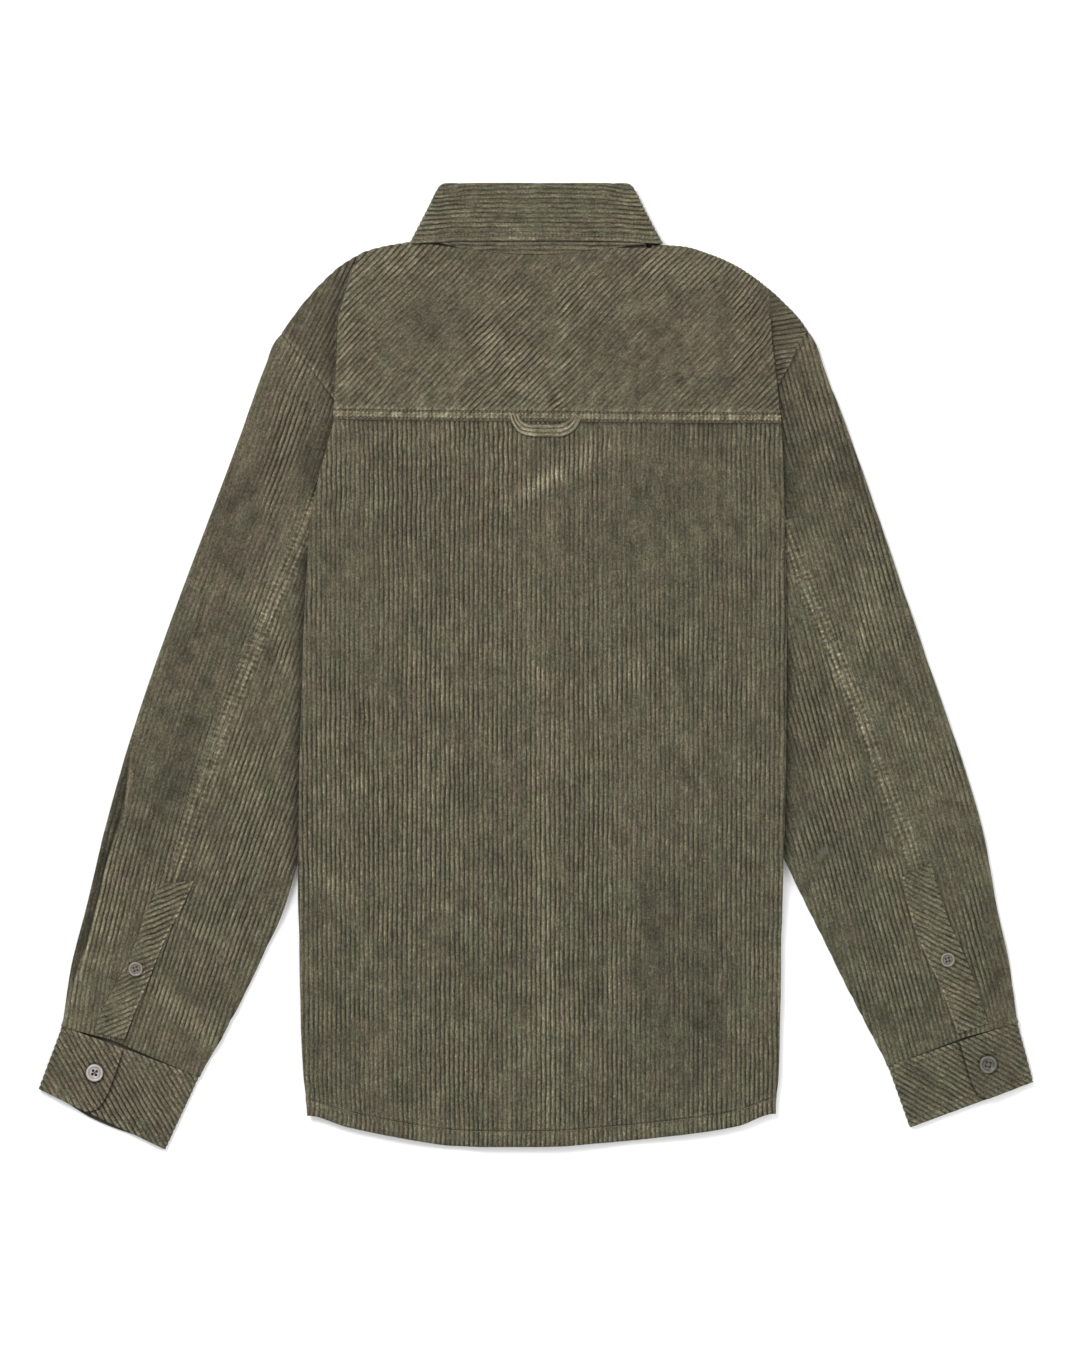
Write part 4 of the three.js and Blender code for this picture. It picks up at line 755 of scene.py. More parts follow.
# ------------------------------------------------------------------ creases
# from x y to x y on the layout drawing, half width mm, height mm (a trough is negative), which piece
CREASES = [
    # back, under the loop
    ("body", 512, 424, 511, 505, 2.2, -1.5), ("body", 579, 424, 580, 470, 2.6, -0.9), ("body", 520, 428, 519, 492, 4.0, 0.7),
    ("body", 524, 503, 566, 462, 5.0, 1.9), ("body", 572, 480, 606, 438, 5.0, 1.9), ("body", 552, 500, 584, 470, 5.0, -1.1),
    ("body", 532, 518, 556, 498, 5.0, -1.0), ("body", 530, 470, 566, 440, 6.0, -1.0), ("body", 606, 470, 640, 446, 6.0, 0.8),
    ("body", 560, 566, 605, 570, 6.0, 0.7),
    ("body", 528, 684, 570, 682, 1.8, -1.0), ("body", 526, 694, 572, 693, 1.8, -1.1), ("body", 530, 704, 568, 704, 1.8, -0.9),
    ("body", 526, 716, 574, 716, 2.2, -1.2), ("body", 533, 728, 566, 729, 3.0, 0.8),
    # the centre ridge, in three runs
    ("body", 532, 730, 538, 850, 5.5, 1.6), ("body", 538, 830, 546, 990, 5.0, 1.8), ("body", 546, 970, 552, 1125, 5.5, 1.7),
    ("body", 521, 745, 531, 930, 7.0, -0.8), ("body", 558, 780, 566, 1010, 8.0, -0.9),
    # the wide V
    ("body", 410, 662, 522, 752, 9.0, 1.1), ("body", 400, 684, 500, 768, 10.0, -0.8), ("body", 694, 636, 578, 722, 9.0, 1.0),
    ("body", 700, 655, 590, 745, 10.0, -0.8),
    # flanks and hem
    ("body", 312, 640, 402, 700, 8.0, -0.9), ("body", 318, 730, 410, 712, 8.0, 0.9), ("body", 306, 800, 392, 778, 9.0, 1.1),
    ("body", 303, 858, 352, 892, 8.0, 1.5), ("body", 304, 905, 372, 930, 9.0, -1.1), ("body", 308, 1000, 368, 985, 6.0, -1.0),
    ("body", 308, 1045, 372, 1030, 6.0, -1.0), ("body", 310, 1022, 366, 1008, 6.0, 0.8),
    ("body", 640, 880, 672, 1090, 11.0, -1.6), ("body", 700, 900, 722, 1080, 10.0, -1.2), ("body", 612, 905, 618, 1080, 9.0, 0.8),
    ("body", 745, 920, 778, 1000, 9.0, 1.0), ("body", 730, 1010, 776, 1075, 8.0, 0.9), ("body", 735, 690, 780, 640, 8.0, 0.9),
    ("body", 742, 560, 778, 520, 8.0, 0.7), ("body", 318, 480, 372, 452, 9.0, 0.7), ("body", 441, 1134, 470, 1141, 2.4, -1.0),
    ("body", 590, 940, 612, 1090, 9.0, -0.7), ("body", 430, 930, 470, 985, 10.0, -0.8), ("body", 420, 740, 448, 900, 11.0, 0.8),
    # yoke
    ("yoke", 474, 322, 536, 392, 8.0, 1.9), ("yoke", 462, 345, 520, 405, 7.0, -1.1), ("yoke", 500, 310, 556, 366, 7.0, -1.0),
    ("yoke", 561, 278, 566, 345, 4.0, 1.1), ("yoke", 548, 300, 553, 350, 5.0, -0.8), ("yoke", 380, 255, 420, 290, 8.0, 1.0),
    ("yoke", 640, 255, 690, 282, 8.0, 1.0), ("yoke", 420, 300, 452, 352, 9.0, -1.2), ("yoke", 590, 320, 640, 372, 10.0, -0.9),
    ("yoke", 722, 295, 728, 392, 6.0, -1.2), ("yoke", 742, 290, 752, 380, 6.0, 0.9), ("yoke", 392, 352, 420, 400, 8.0, 0.8),
    ("yoke", 455, 258, 560, 292, 9.0, -0.7), ("yoke", 350, 300, 362, 392, 6.0, 0.8),
    # left sleeve
    ("sleeve_left", 250, 470, 262, 560, 8.0, -1.2), ("sleeve_left", 232, 480, 216, 560, 9.0, -1.0), ("sleeve_left", 214, 560, 188, 640, 8.0, 1.0),
    ("sleeve_left", 258, 600, 296, 672, 6.0, 1.5), ("sleeve_left", 262, 632, 288, 700, 4.0, -1.4), ("sleeve_left", 250, 690, 205, 780, 9.0, 1.0),
    ("sleeve_left", 240, 752, 262, 830, 9.0, 0.9), ("sleeve_left", 200, 700, 168, 830, 8.0, -1.0), ("sleeve_left", 131, 755, 125, 809, 3.4, -1.4),
    ("sleeve_left", 125, 809, 112, 857, 3.2, -1.5), ("sleeve_left", 104, 846, 86, 930, 4.0, -1.7), ("sleeve_left", 85, 926, 63, 1012, 3.4, -1.7),
    ("sleeve_left", 113, 842, 94, 930, 2.2, 1.5), ("sleeve_left", 94, 926, 70, 1016, 2.2, 1.5),
    ("sleeve_left", 122, 880, 98, 1010, 4.5, 1.2), ("sleeve_left", 182, 912, 232, 952, 4.2, 1.5), ("sleeve_left", 176, 925, 222, 966, 3.6, -1.4),
    ("sleeve_left", 150, 982, 188, 1024, 4.2, 1.7), ("sleeve_left", 160, 966, 205, 1008, 4.0, -1.4), ("sleeve_left", 196, 1032, 234, 1046, 4.5, 1.3),
    ("sleeve_left", 186, 1044, 224, 1062, 3.6, -1.2), ("sleeve_left", 232, 905, 288, 880, 6.0, -1.2), ("sleeve_left", 222, 930, 280, 920, 5.0, 1.0),
    ("sleeve_left", 205, 985, 248, 1000, 5.0, -1.0), ("sleeve_left", 232, 660, 262, 742, 5.0, -0.9), ("sleeve_left", 110, 935, 92, 1015, 3.0, -1.2),
    # right sleeve
    ("sleeve_right", 836, 440, 872, 520, 9.0, -1.1), ("sleeve_right", 860, 560, 900, 660, 9.0, 1.1), ("sleeve_right", 900, 700, 936, 790, 9.0, 1.2),
    ("sleeve_right", 884, 640, 912, 700, 7.0, -0.9), ("sleeve_right", 835, 640, 838, 800, 6.0, 1.1), ("sleeve_right", 822, 660, 824, 790, 5.0, -1.0),
    ("sleeve_right", 800, 852, 836, 812, 5.0, 1.3), ("sleeve_right", 808, 868, 846, 832, 4.4, -1.4), ("sleeve_right", 868, 848, 908, 858, 4.0, -1.3),
    ("sleeve_right", 862, 862, 904, 872, 4.0, 1.1), ("sleeve_right", 960, 820, 988, 830, 3.6, -1.4), ("sleeve_right", 820, 890, 860, 960, 7.0, -1.0),
    ("sleeve_right", 870, 905, 900, 960, 7.0, 1.0), ("sleeve_right", 870, 1000, 898, 1036, 6.0, -1.2), ("sleeve_right", 980, 900, 1003, 1000, 6.0, -1.2),
    ("sleeve_right", 962, 880, 984, 960, 6.0, 0.9), ("sleeve_right", 850, 720, 870, 790, 5.0, -0.9), ("sleeve_right", 915, 990, 935, 1045, 5.0, -1.0),
    ("sleeve_right", 884, 960, 915, 1020, 5.0, 1.0),
    # cuffs
    ("cuff_left", 130, 1058, 176, 1092, 4.0, -0.6), ("cuff_left", 70, 1046, 78, 1086, 4.0, -0.6), ("cuff_left", 136, 1100, 170, 1120, 5.0, 0.5),
    ("cuff_right", 905, 1072, 950, 1094, 5.0, -0.6), ("cuff_right", 1002, 1040, 1016, 1080, 5.0, -0.6), ("cuff_right", 925, 1068, 950, 1060, 4.0, 0.5),
]


def creases(piece, x, y):
    dz = np.zeros(np.shape(x))
    for k, (where, xa, ya, xb, yb, width, height) in enumerate(CREASES):
        if where != piece:
            continue
        (ax, ay), (bx, by) = px(xa, ya), px(xb, yb)
        length = math.hypot(bx - ax, by - ay)
        ux, uy = (bx - ax) / length, (by - ay) / length
        t = ((x - ax) * ux + (y - ay) * uy) / length
        side = (x - ax) * -uy + (y - ay) * ux
        side = side + 0.12 * length * (t - 0.5) ** 2 * (1 if k % 2 else -1) + 0.8 * noise(t * 40, k, 9, 7)
        w = width * (0.75 + 0.5 * np.sin(np.clip(t, 0, 1) * 3.0 + 0.3 * (k % 5)))
        body = np.exp(-(side / w) ** 2)
        ends = soft((t + 0.18) / 0.36) * soft((1.18 - t) / 0.36)
        dz += height * body * ends * (0.85 + 0.3 * noise(t * length, k * 3.0, 14, 11))
    return dz


# ------------------------------------------------------------------ nap and painted light: where the pile lies light or dark, with painted highlight and painted shade of folds and bends
# centre x y on the layout drawing, half sizes, turn in degrees, amount
NAP_AND_PAINTED_LIGHT = [
    (508, 362, 34, 15, -50, 0.34), (540, 392, 26, 10, -10, 0.30), (563, 305, 4, 40, 0, 0.22), (398, 262, 30, 12, 20, 0.25),
    (655, 258, 34, 10, -15, 0.25), (432, 322, 24, 18, 0, -0.18), (402, 352, 18, 14, 0, -0.14), (598, 330, 34, 22, 0, -0.10),
    (648, 368, 36, 18, 0, -0.10), (726, 335, 8, 55, 0, -0.16), (745, 330, 6, 50, 0, 0.12), (345, 350, 5, 60, 0, 0.18),
    (480, 258, 36, 9, 0, -0.16), (590, 262, 40, 9, 0, -0.12), (470, 300, 30, 10, -30, 0.10), (690, 300, 24, 10, -30, -0.12),
    (575, 462, 56, 9, 32, 0.30), (545, 484, 22, 9, 30, 0.26), (528, 448, 8, 24, 0, -0.20), (350, 540, 34, 90, 0, -0.12),
    (352, 705, 40, 9, -8, -0.18), (368, 788, 34, 18, 12, 0.14), (430, 690, 40, 10, -38, 0.18), (480, 735, 40, 10, -38, 0.14),
    (432, 850, 28, 120, 0, 0.12), (545, 910, 9, 200, 2, 0.24), (560, 760, 20, 30, 0, 0.14), (333, 880, 15, 14, 0, 0.36),
    (640, 665, 60, 9, 36, 0.16), (640, 520, 50, 40, 0, -0.12), (700, 590, 50, 40, 0, -0.08), (690, 990, 42, 100, 0, -0.16),
    (655, 950, 12, 70, 0, -0.18), (702, 1045, 16, 40, 0, -0.20), (620, 900, 16, 120, 0, 0.06), (430, 960, 40, 26, 0, -0.12),
    (340, 1000, 22, 12, 0, -0.16), (340, 1040, 22, 14, 0, -0.18), (345, 1022, 20, 6, 0, 0.12), (760, 960, 18, 40, 0, 0.10),
    (500, 1060, 40, 40, 0, 0.08), (590, 1030, 22, 60, 0, 0.06), (455, 440, 60, 14, 0, 0.14), (650, 440, 60, 12, 0, 0.04),
    (548, 690, 24, 26, 0, 0.10), (735, 700, 30, 30, 0, 0.06), (400, 560, 40, 60, 0, 0.04),
    (420, 490, 70, 60, 0, -0.10), (680, 505, 80, 70, 0, -0.14), (720, 960, 60, 120, 0, -0.06), (545, 330, 60, 60, 0, 0.05),
    (505, 470, 6, 40, 0, 0.16), (445, 372, 20, 16, 0, 0.14), (380, 330, 20, 40, 0, 0.06), (620, 300, 30, 16, 30, 0.12), (700, 352, 26, 20, 0, 0.10),
    (668, 330, 18, 30, 0, -0.10), (480, 330, 14, 22, 0, -0.12), (412, 310, 16, 14, 0, -0.12), (530, 275, 20, 12, 0, -0.12), (610, 385, 26, 12, 0, 0.10),
    (225, 570, 45, 70, 0, -0.10), (200, 640, 50, 80, 20, -0.12), (120, 860, 40, 70, 16, -0.11), (700, 460, 70, 40, 0, -0.06), (536, 212, 130, 34, 0, 0.06),
    (60, 1080, 60, 44, 0, 0.07), (140, 1110, 50, 40, 0, 0.07), (155, 775, 40, 70, 0, -0.03), (850, 470, 30, 70, 0, -0.16), (900, 670, 40, 70, 0, -0.09), (134, 1085, 44, 34, 0, 0.12),
    # left sleeve
    (290, 352, 12, 16, 0, 0.30), (275, 400, 22, 40, -20, 0.06), (236, 492, 22, 22, 0, -0.20), (222, 545, 22, 18, 0, -0.16), (190, 582, 16, 14, 0, 0.10),
    (262, 470, 12, 50, -12, -0.10), (268, 592, 12, 26, -20, 0.26), (282, 660, 9, 30, 20, 0.22), (215, 650, 34, 22, 0, -0.16), (176, 760, 22, 50, 0, -0.20),
    (150, 820, 16, 26, 0, -0.18), (236, 776, 22, 44, 0, 0.14), (248, 860, 22, 22, 0, 0.06), (180, 702, 10, 20, 0, 0.06), (108, 900, 10, 60, -12, 0.18),
    (88, 960, 10, 46, -12, 0.16), (76, 1000, 8, 30, 0, 0.14), (206, 940, 26, 8, -32, 0.30), (168, 1002, 24, 8, -42, 0.34), (190, 970, 22, 10, -35, 0.12),
    (222, 1048, 18, 10, 0, 0.22), (225, 1000, 22, 12, 0, -0.14), (205, 1060, 20, 8, 0, -0.10), (150, 930, 12, 40, 10, 0.14), (270, 905, 16, 12, 0, -0.12),
    # right sleeve
    (815, 350, 12, 14, 0, 0.10), (850, 480, 26, 40, 0, -0.16), (868, 600, 16, 30, 20, 0.16), (890, 640, 14, 20, 0, 0.06), (930, 780, 22, 34, 0, 0.20),
    (862, 730, 8, 60, -22, 0.22), (838, 668, 8, 40, -15, 0.18), (905, 850, 10, 26, -20, 0.18), (836, 720, 14, 40, 0, -0.08), (820, 800, 18, 26, 0, -0.14),
    (815, 875, 20, 12, 30, -0.18), (860, 940, 22, 26, 0, -0.06), (890, 880, 16, 20, 0, 0.12), (850, 1000, 16, 30, -30, -0.16), (995, 960, 9, 60, 0, -0.20),
    (880, 1020, 18, 14, 0, -0.14), (935, 940, 12, 30, -15, 0.12), (900, 985, 14, 18, 0, 0.10), (806, 560, 8, 30, 0, 0.16), (965, 850, 14, 30, 0, 0.02),
    # collar and cuffs
    (470, 212, 60, 18, 0, -0.04), (600, 212, 40, 22, 0, -0.04), (640, 205, 14, 22, 0, 0.16), (452, 215, 14, 20, 0, -0.06),
    (100, 1040, 22, 8, 10, 0.22), (60, 1070, 14, 18, 0, -0.16), (134, 1088, 20, 14, 0, -0.10), (170, 1100, 10, 16, 0, 0.12),
    (922, 1088, 16, 20, 0, -0.18), (1004, 1078, 16, 16, 0, -0.14), (962, 1060, 8, 14, 0, 0.16), (1000, 1034, 26, 6, 0, 0.12),
]


NAP_AND_PAINTED_LIGHT += [
    # bent cloth above the left cuff, long pale bands across the ribs: painted highlight
    (195, 929, 25, 3.6, -32, 0.26), (165, 995, 22, 3.6, -45, 0.30), (191, 1026, 25, 3.4, -10, 0.26), (205, 985, 18, 4, -24, 0.12), (216, 905, 14, 4, -30, 0.14),
    # under the loop: pale streaks along the crease ridges, painted highlight
    (583, 455, 16, 3.0, 63, 0.34), (602, 452, 13, 3.4, 57, 0.26), (507, 470, 32, 2.6, 84, 0.26), (527, 452, 13, 2.4, 80, 0.18), (540, 480, 26, 3.4, 39, 0.16),
    # right sleeve: a long bend down the cloth, painted highlight where the ribs turn, painted shade beside it
    (809, 815, 22, 4.0, 64, 0.22), (828, 762, 26, 3.6, 73, 0.22), (838, 728, 14, 3.6, 80, 0.14), (862, 640, 34, 3.6, 87, 0.24), (870, 552, 42, 4.0, 96, 0.26), (812, 660, 30, 3.4, 100, 0.14),
    (846, 690, 16, 7, 75, -0.08), (812, 745, 16, 8, 70, -0.08),
    # yoke: soft upright pale streaks, painted highlight
    (557, 290, 32, 3.0, 88, 0.15), (712, 298, 24, 5.0, 80, 0.10),
    # right sleeve above its cuff
    (905, 1002, 26, 4, 16, 0.14), (930, 1026, 22, 3, 20, 0.14), (896, 1040, 20, 3.4, 18, 0.16),
]


def nap_and_painted_light(x, y, seed=3):
    tone = np.ones(np.shape(x))
    rough = 0.45 * noise(x, y, 6.5, seed + 5, 1.7) + 0.2 * noise(x, y, 15, seed + 6)
    for cx, cy, rx, ry, turn, amount in NAP_AND_PAINTED_LIGHT:
        mx, my = px(cx, cy)
        a = math.radians(turn)
        u = ((x - mx) * math.cos(a) + (y - my) * math.sin(a)) / (rx * 0.85 * 1.25)
        v = (-(x - mx) * math.sin(a) + (y - my) * math.cos(a)) / (ry * 0.85 * 1.25)
        tone += (0.92 if amount > 0 else 0.70) * amount * np.exp(-(u * u + v * v)) * (0.72 + rough)
    tone += 0.02 * noise(x, y, 26, seed + 1) + 0.08 * noise(x, y, 9, seed + 2, 1.3) + 0.06 * noise(x, y, 5, seed + 3)
    return tone


# where the ribs stand up clearly or lie crushed: centre x y on the layout drawing, half sizes, turn, amount
CRISP = [
    # back
    (675, 500, 70, 70, 0, -0.52), (506, 465, 7, 50, 0, 0.45), (400, 490, 60, 60, 0, 0.22), (600, 560, 60, 40, 0, -0.20), (545, 530, 26, 26, 0, -0.22),
    (470, 610, 60, 80, 0, 0.10), (530, 690, 40, 20, 0, 0.20), (640, 720, 60, 60, 0, -0.10), (430, 860, 60, 120, 0, 0.22), (560, 980, 60, 90, 0, 0.18),
    (720, 950, 40, 90, 0, 0.10), (350, 590, 40, 60, 0, -0.20), (700, 780, 50, 60, 0, -0.10), (590, 860, 40, 60, 0, 0.10), (350, 960, 40, 60, 0, -0.10),
    # yoke
    (545, 335, 60, 60, -40, 0.36), (480, 370, 50, 24, -50, 0.30), (395, 290, 40, 26, 20, 0.30), (560, 262, 60, 14, 0, -0.25), (690, 268, 60, 20, 10, 0.35),
    (430, 345, 40, 40, 0, -0.22), (650, 350, 60, 44, 0, -0.22), (745, 340, 16, 70, 0, 0.30), (350, 360, 12, 60, 0, 0.20),
    # sleeves
    (284, 440, 14, 80, -14, 0.75), (262, 392, 16, 40, -14, -0.20), (230, 560, 40, 60, 0, -0.25), (268, 800, 26, 90, -16, 0.50), (236, 880, 22, 60, -16, 0.30),
    (214, 960, 40, 50, -16, 0.25), (160, 700, 30, 60, 0, -0.10), (108, 950, 16, 60, 14, 0.30), (150, 790, 30, 60, 0, -0.12), (316, 430, 12, 50, 0, 0.15),
    (840, 470, 26, 60, 0, 0.20), (876, 545, 8, 70, 14, 0.65), (868, 640, 8, 40, 14, 0.45), (905, 660, 30, 60, 0, -0.15), (812, 730, 14, 90, 10, 0.55), (836, 790, 16, 60, 14, 0.50),
    (822, 850, 24, 30, 20, 0.35), (885, 950, 26, 60, 12, 0.45), (850, 1010, 14, 40, -20, 0.5), (980, 880, 12, 50, 8, 0.35), (950, 850, 24, 60, 0, -0.10), (975, 960, 10, 50, 0, 0.40),
    # collar
    (428, 225, 14, 22, -30, 0.45), (645, 222, 12, 24, 30, 0.35), (540, 205, 50, 16, 0, -0.10),
    # smoother cloth beside the loop, clearer ribs at the sleeve heads and above the cuffs
    (545, 451, 17, 10, 0, -0.35), (556, 515, 14, 24, 0, -0.28), (812, 380, 24, 60, 14, 0.35), (830, 440, 22, 60, 14, 0.25), (170, 900, 34, 80, -14, 0.32), (120, 860, 26, 60, -14, 0.35), (150, 830, 30, 60, 0, 0.22),
    (142, 922, 9, 26, -26, -0.40), (124, 962, 9, 22, -26, -0.40), (108, 1000, 10, 22, -26, -0.30), (880, 640, 24, 90, 14, 0.20), (290, 400, 20, 60, -14, 0.25), (225, 640, 40, 80, -14, 0.15),
]


def crispness(x, y, base):
    k = base + 0.16 * noise(x, y, 34, 301, 2.4) + 0.20 * noise(x, y, 12, 302, 2.2) + 0.12 * noise(x, y, 6, 303, 2.0)
    for table, up, down in ((NAP_AND_PAINTED_LIGHT, 1.1, 0.6), (CRISP, 1.0, 1.0)):
        for cx, cy, rx, ry, turn, amount in table:
            mx, my = px(cx, cy)
            a = math.radians(turn)
            u = ((x - mx) * math.cos(a) + (y - my) * math.sin(a)) / (rx * 0.85 * 1.2)
            v = (-(x - mx) * math.sin(a) + (y - my) * math.cos(a)) / (ry * 0.85 * 1.2)
            k = k + amount * (up if amount > 0 else down) * np.exp(-(u * u + v * v))
    return np.clip(k, 0.12, 1.35)


WARM = [
    # browner and greener areas: centre x y on the layout drawing, half sizes, amount
    (420, 330, 100, 70, 0.42), (690, 330, 100, 80, 0.42), (540, 270, 70, 30, 0.25), (240, 540, 60, 120, 0.36), (270, 420, 40, 60, 0.30), (560, 490, 50, 50, 0.30),
    (450, 540, 60, 60, 0.16), (150, 900, 70, 80, 0.14), (90, 1080, 60, 50, 0.14), (600, 1000, 220, 130, -0.20), (880, 900, 90, 180, -0.22), (850, 620, 60, 140, -0.12),
    (540, 215, 130, 36, -0.10), (900, 1060, 90, 50, -0.14), (420, 760, 90, 90, 0.08), (680, 640, 80, 90, -0.06),
]


def warmth(x, y):
    t = np.zeros(np.shape(x)) + 0.06
    for cx, cy, rx, ry, amount in WARM:
        mx, my = px(cx, cy)
        t = t + amount * np.exp(-((x - mx) / (rx * 0.85 * 1.2)) ** 2 - ((y - my) / (ry * 0.85 * 1.2)) ** 2) * (0.7 + 0.6 * noise(x, y, 22, 311))
    return t


def seam_field(x, y, nrm, seams):
    """for each point: distance from the nearest row of stitches, run along the seam, how much the seam shows"""
    sd, ss, sw = np.full(np.shape(x), 50.0), np.zeros(np.shape(x)), np.zeros(np.shape(x))
    for line, mid, half, strength, *pitch in seams:
        d, run = to_line(x, y, line)
        run_at = run * (3.55 / pitch[0]) if pitch else run
        q = np.abs(d - mid) - half
        w = (strength(run) if callable(strength) else strength) * soft((7.0 - np.abs(q)) / 5.0) * soft(nrm[..., 2] / 0.4)
        near = w > sw
        sd, ss, sw = np.where(near, q, sd), np.where(near, run_at, ss), np.where(near, w, sw)
    return sd, ss, sw


# ------------------------------------------------------------------ meshes
PIECES = {}


def mesh_object(name, verts, faces, material, attributes=None, smooth=True):
    me = bpy.data.meshes.new(name)
    me.from_pydata((np.asarray(verts, float) + SHIFT) * MM if len(verts) else [], [], faces)
    for key, values in (attributes or {}).items():
        me.attributes.new(key, "FLOAT", "POINT").data.foreach_set("value", np.asarray(values, np.float32))
    me.validate()
    if smooth:
        me.shade_smooth()
    me.materials.append(material)
    ob = bpy.data.objects.new(name, me)
    bpy.context.scene.collection.objects.link(ob)
    return ob


def cloth(name, grid, material, nodes, row_step=5.0, col_step=1.0, up=None, thick=CLOTH, ribs=1.0,
          across=None, along=None, shape=None, tone=None, active=None, inner=6, rib_zone=None, depth=WALE_DEPTH,
          crisp=0.8, seams=(), wander=1.0, folds=None):
    """A closed shell of corduroy. The grid is its middle surface; up = (row, column, sign) says which side is the face."""
    p, kr, kc = refine(grid, row_step, col_step)
    n, m = p.shape[:2]
    nrm = normals(p)
    i, j, sign = up
    if nrm[kr[i], kc[j], 2] * sign < 0:
        nrm = -nrm
        flip = True
    else:
        flip = False
    x, y = p[..., 0], p[..., 1]
    if shape is not None:
        d = shape(x, y, p, nrm)
        p = p + nrm * d[..., None]
        n2 = normals(p)
        nrm = -n2 if flip else n2
    a = across(x, y, p, nrm) / WALE if across is not None else x / WALE
    a = a + wander * (0.26 * noise(x, y, 10.5, 201, 1.8) + 0.15 * noise(x, y, 6.5, 202, 1.8)) / WALE
    l = along(x, y, p, nrm) if along is not None else y
    zone = np.ones((n, m)) if rib_zone is None else rib_zone(x, y, p, nrm)
    keep = crispness(x, y, crisp)
    bent = creases(folds, x, y) * facing_up(nrm) if folds else np.zeros((n, m))
    keep = np.clip(keep + 0.30 * bent, 0.10, 1.4)
    deep = np.clip(0.42 + 0.66 * keep + 0.16 * noise(x, y, 19, 203, 1.3), 0.25, 1.3)
    sd, ss, sw = seam_field(x, y, nrm, seams)
    keep = keep * (1 - 0.55 * np.clip(sw, 0, 1) * np.exp(-(np.maximum(sd, 0) / 3.0) ** 2))
    channel = -depth * ribs * zone * deep * (1 - rib(a))
    outer = p + nrm * (thick / 2 + channel)[..., None]
    rc = sorted(set(kr) | set(range(0, n, inner)))
    cc = sorted(set(kc) | set(range(0, m, inner)))
    back = (p - nrm * thick / 2)[np.ix_(rc, cc)]
    for q in (outer, back):
        q[..., 2] = np.maximum(q[..., 2], 0.0)
    cells = np.ones((len(rc) - 1, len(cc) - 1), bool)
    if active is not None:
        for b in range(len(rc) - 1):
            for c in range(len(cc) - 1):
                cells[b, c] = active(rc[b], cc[c], kr, kc)
    fine = np.repeat(np.repeat(cells, np.diff(rc), axis=0), np.diff(cc), axis=1)
    I, J = np.nonzero(fine)
    quads = np.stack([I * m + J, (I + 1) * m + J, (I + 1) * m + J + 1, I * m + J + 1], 1)
    mc = len(cc)
    base = n * m
    A, B = np.nonzero(cells)
    inner_quads = base + np.stack([A * mc + B, A * mc + B + 1, (A + 1) * mc + B + 1, (A + 1) * mc + B], 1)
    # nrm points along rows x columns unless flipped, so the winding follows it
    if flip:
        quads, inner_quads = quads[:, ::-1], inner_quads[:, ::-1]
    faces = quads.tolist() + inner_quads.tolist()

    def wall(fine_ids, ia, ib, turned):
        out = []
        for k in range(len(fine_ids) - 1):
            out.append((fine_ids[k], ia, fine_ids[k + 1]))
        out.append((fine_ids[-1], ia, ib))
        if turned:
            out = [t[::-1] for t in out]
        return out

    def on(b, c):
        return 0 <= b < cells.shape[0] and 0 <= c < cells.shape[1] and cells[b, c]

    for b in range(cells.shape[0]):
        for c in range(cells.shape[1]):
            if not cells[b, c]:
                continue
            r0, r1, c0, c1 = rc[b], rc[b + 1], cc[c], cc[c + 1]
            v = lambda bb, c2: base + bb * mc + c2
            if not on(b, c - 1):
                faces += wall([r * m + c0 for r in range(r0, r1 + 1)], v(b, c), v(b + 1, c), flip)
            if not on(b, c + 1):
                faces += wall([r * m + c1 for r in range(r0, r1 + 1)], v(b, c + 1), v(b + 1, c + 1), not flip)
            if not on(b - 1, c):
                faces += wall([r0 * m + k for k in range(c0, c1 + 1)], v(b, c), v(b, c + 1), not flip)
            if not on(b + 1, c):
                faces += wall([r1 * m + k for k in range(c0, c1 + 1)], v(b + 1, c), v(b + 1, c + 1), flip)
    verts = np.concatenate([outer.reshape(-1, 3), back.reshape(-1, 3)])
    t = tone(x, y, p, nrm) if tone is not None else nap_and_painted_light(x, y)
    # painted light on the creases: lighter along their ridges, darker in their troughs
    t = t + np.clip((0.07 if folds in ("body", "yoke") else 0.12) * bent, -0.24, 0.30)
    sub = np.ix_(rc, cc)
    attrs = {
        "across": np.concatenate([a.ravel(), a[sub].ravel()]),
        "along": np.concatenate([l.ravel(), l[sub].ravel()]),
        "tone": np.concatenate([t.ravel(), t[sub].ravel()]),
        "pile": np.concatenate([zone.ravel(), np.zeros(back.shape[0] * back.shape[1])]),
        "keep": np.concatenate([keep.ravel(), keep[sub].ravel()]),
        "warm": np.concatenate([warmth(x, y).ravel(), warmth(x, y)[sub].ravel()]),
        "sd": np.concatenate([sd.ravel(), sd[sub].ravel()]),
        "ss": np.concatenate([ss.ravel(), ss[sub].ravel()]),
        "sw": np.concatenate([sw.ravel(), sw[sub].ravel()]),
    }
    if active is not None:
        used = np.zeros(len(verts), bool)
        for f in faces:
            for k in f:
                used[k] = True
        number = np.cumsum(used) - 1
        verts = verts[used]
        attrs = {k: v[used] for k, v in attrs.items()}
        faces = [[int(number[k]) for k in f] for f in faces]
    ob = mesh_object(name, verts, faces, material, attrs)
    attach(ob, "root")
    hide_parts(*nodes)
    area = float(np.linalg.norm(np.cross(np.diff(p, axis=0)[:, :-1], np.diff(p, axis=1)[:-1]), axis=2)[fine].sum())
    PIECES[name] = {"ob": ob, "outer": outer, "nrm": nrm, "area": area}
    print(f"{name}: {len(faces)} faces, {area / 1e6:.4f} m2")
    return ob


def run_length(p, zero):
    """length along each row from the column where the row passes zero (a column number for each row)"""
    d = np.linalg.norm(np.diff(p, axis=1), axis=2)
    s = np.concatenate([np.zeros((p.shape[0], 1)), np.cumsum(d, axis=1)], axis=1)
    return s - s[np.arange(p.shape[0]), zero][:, None]
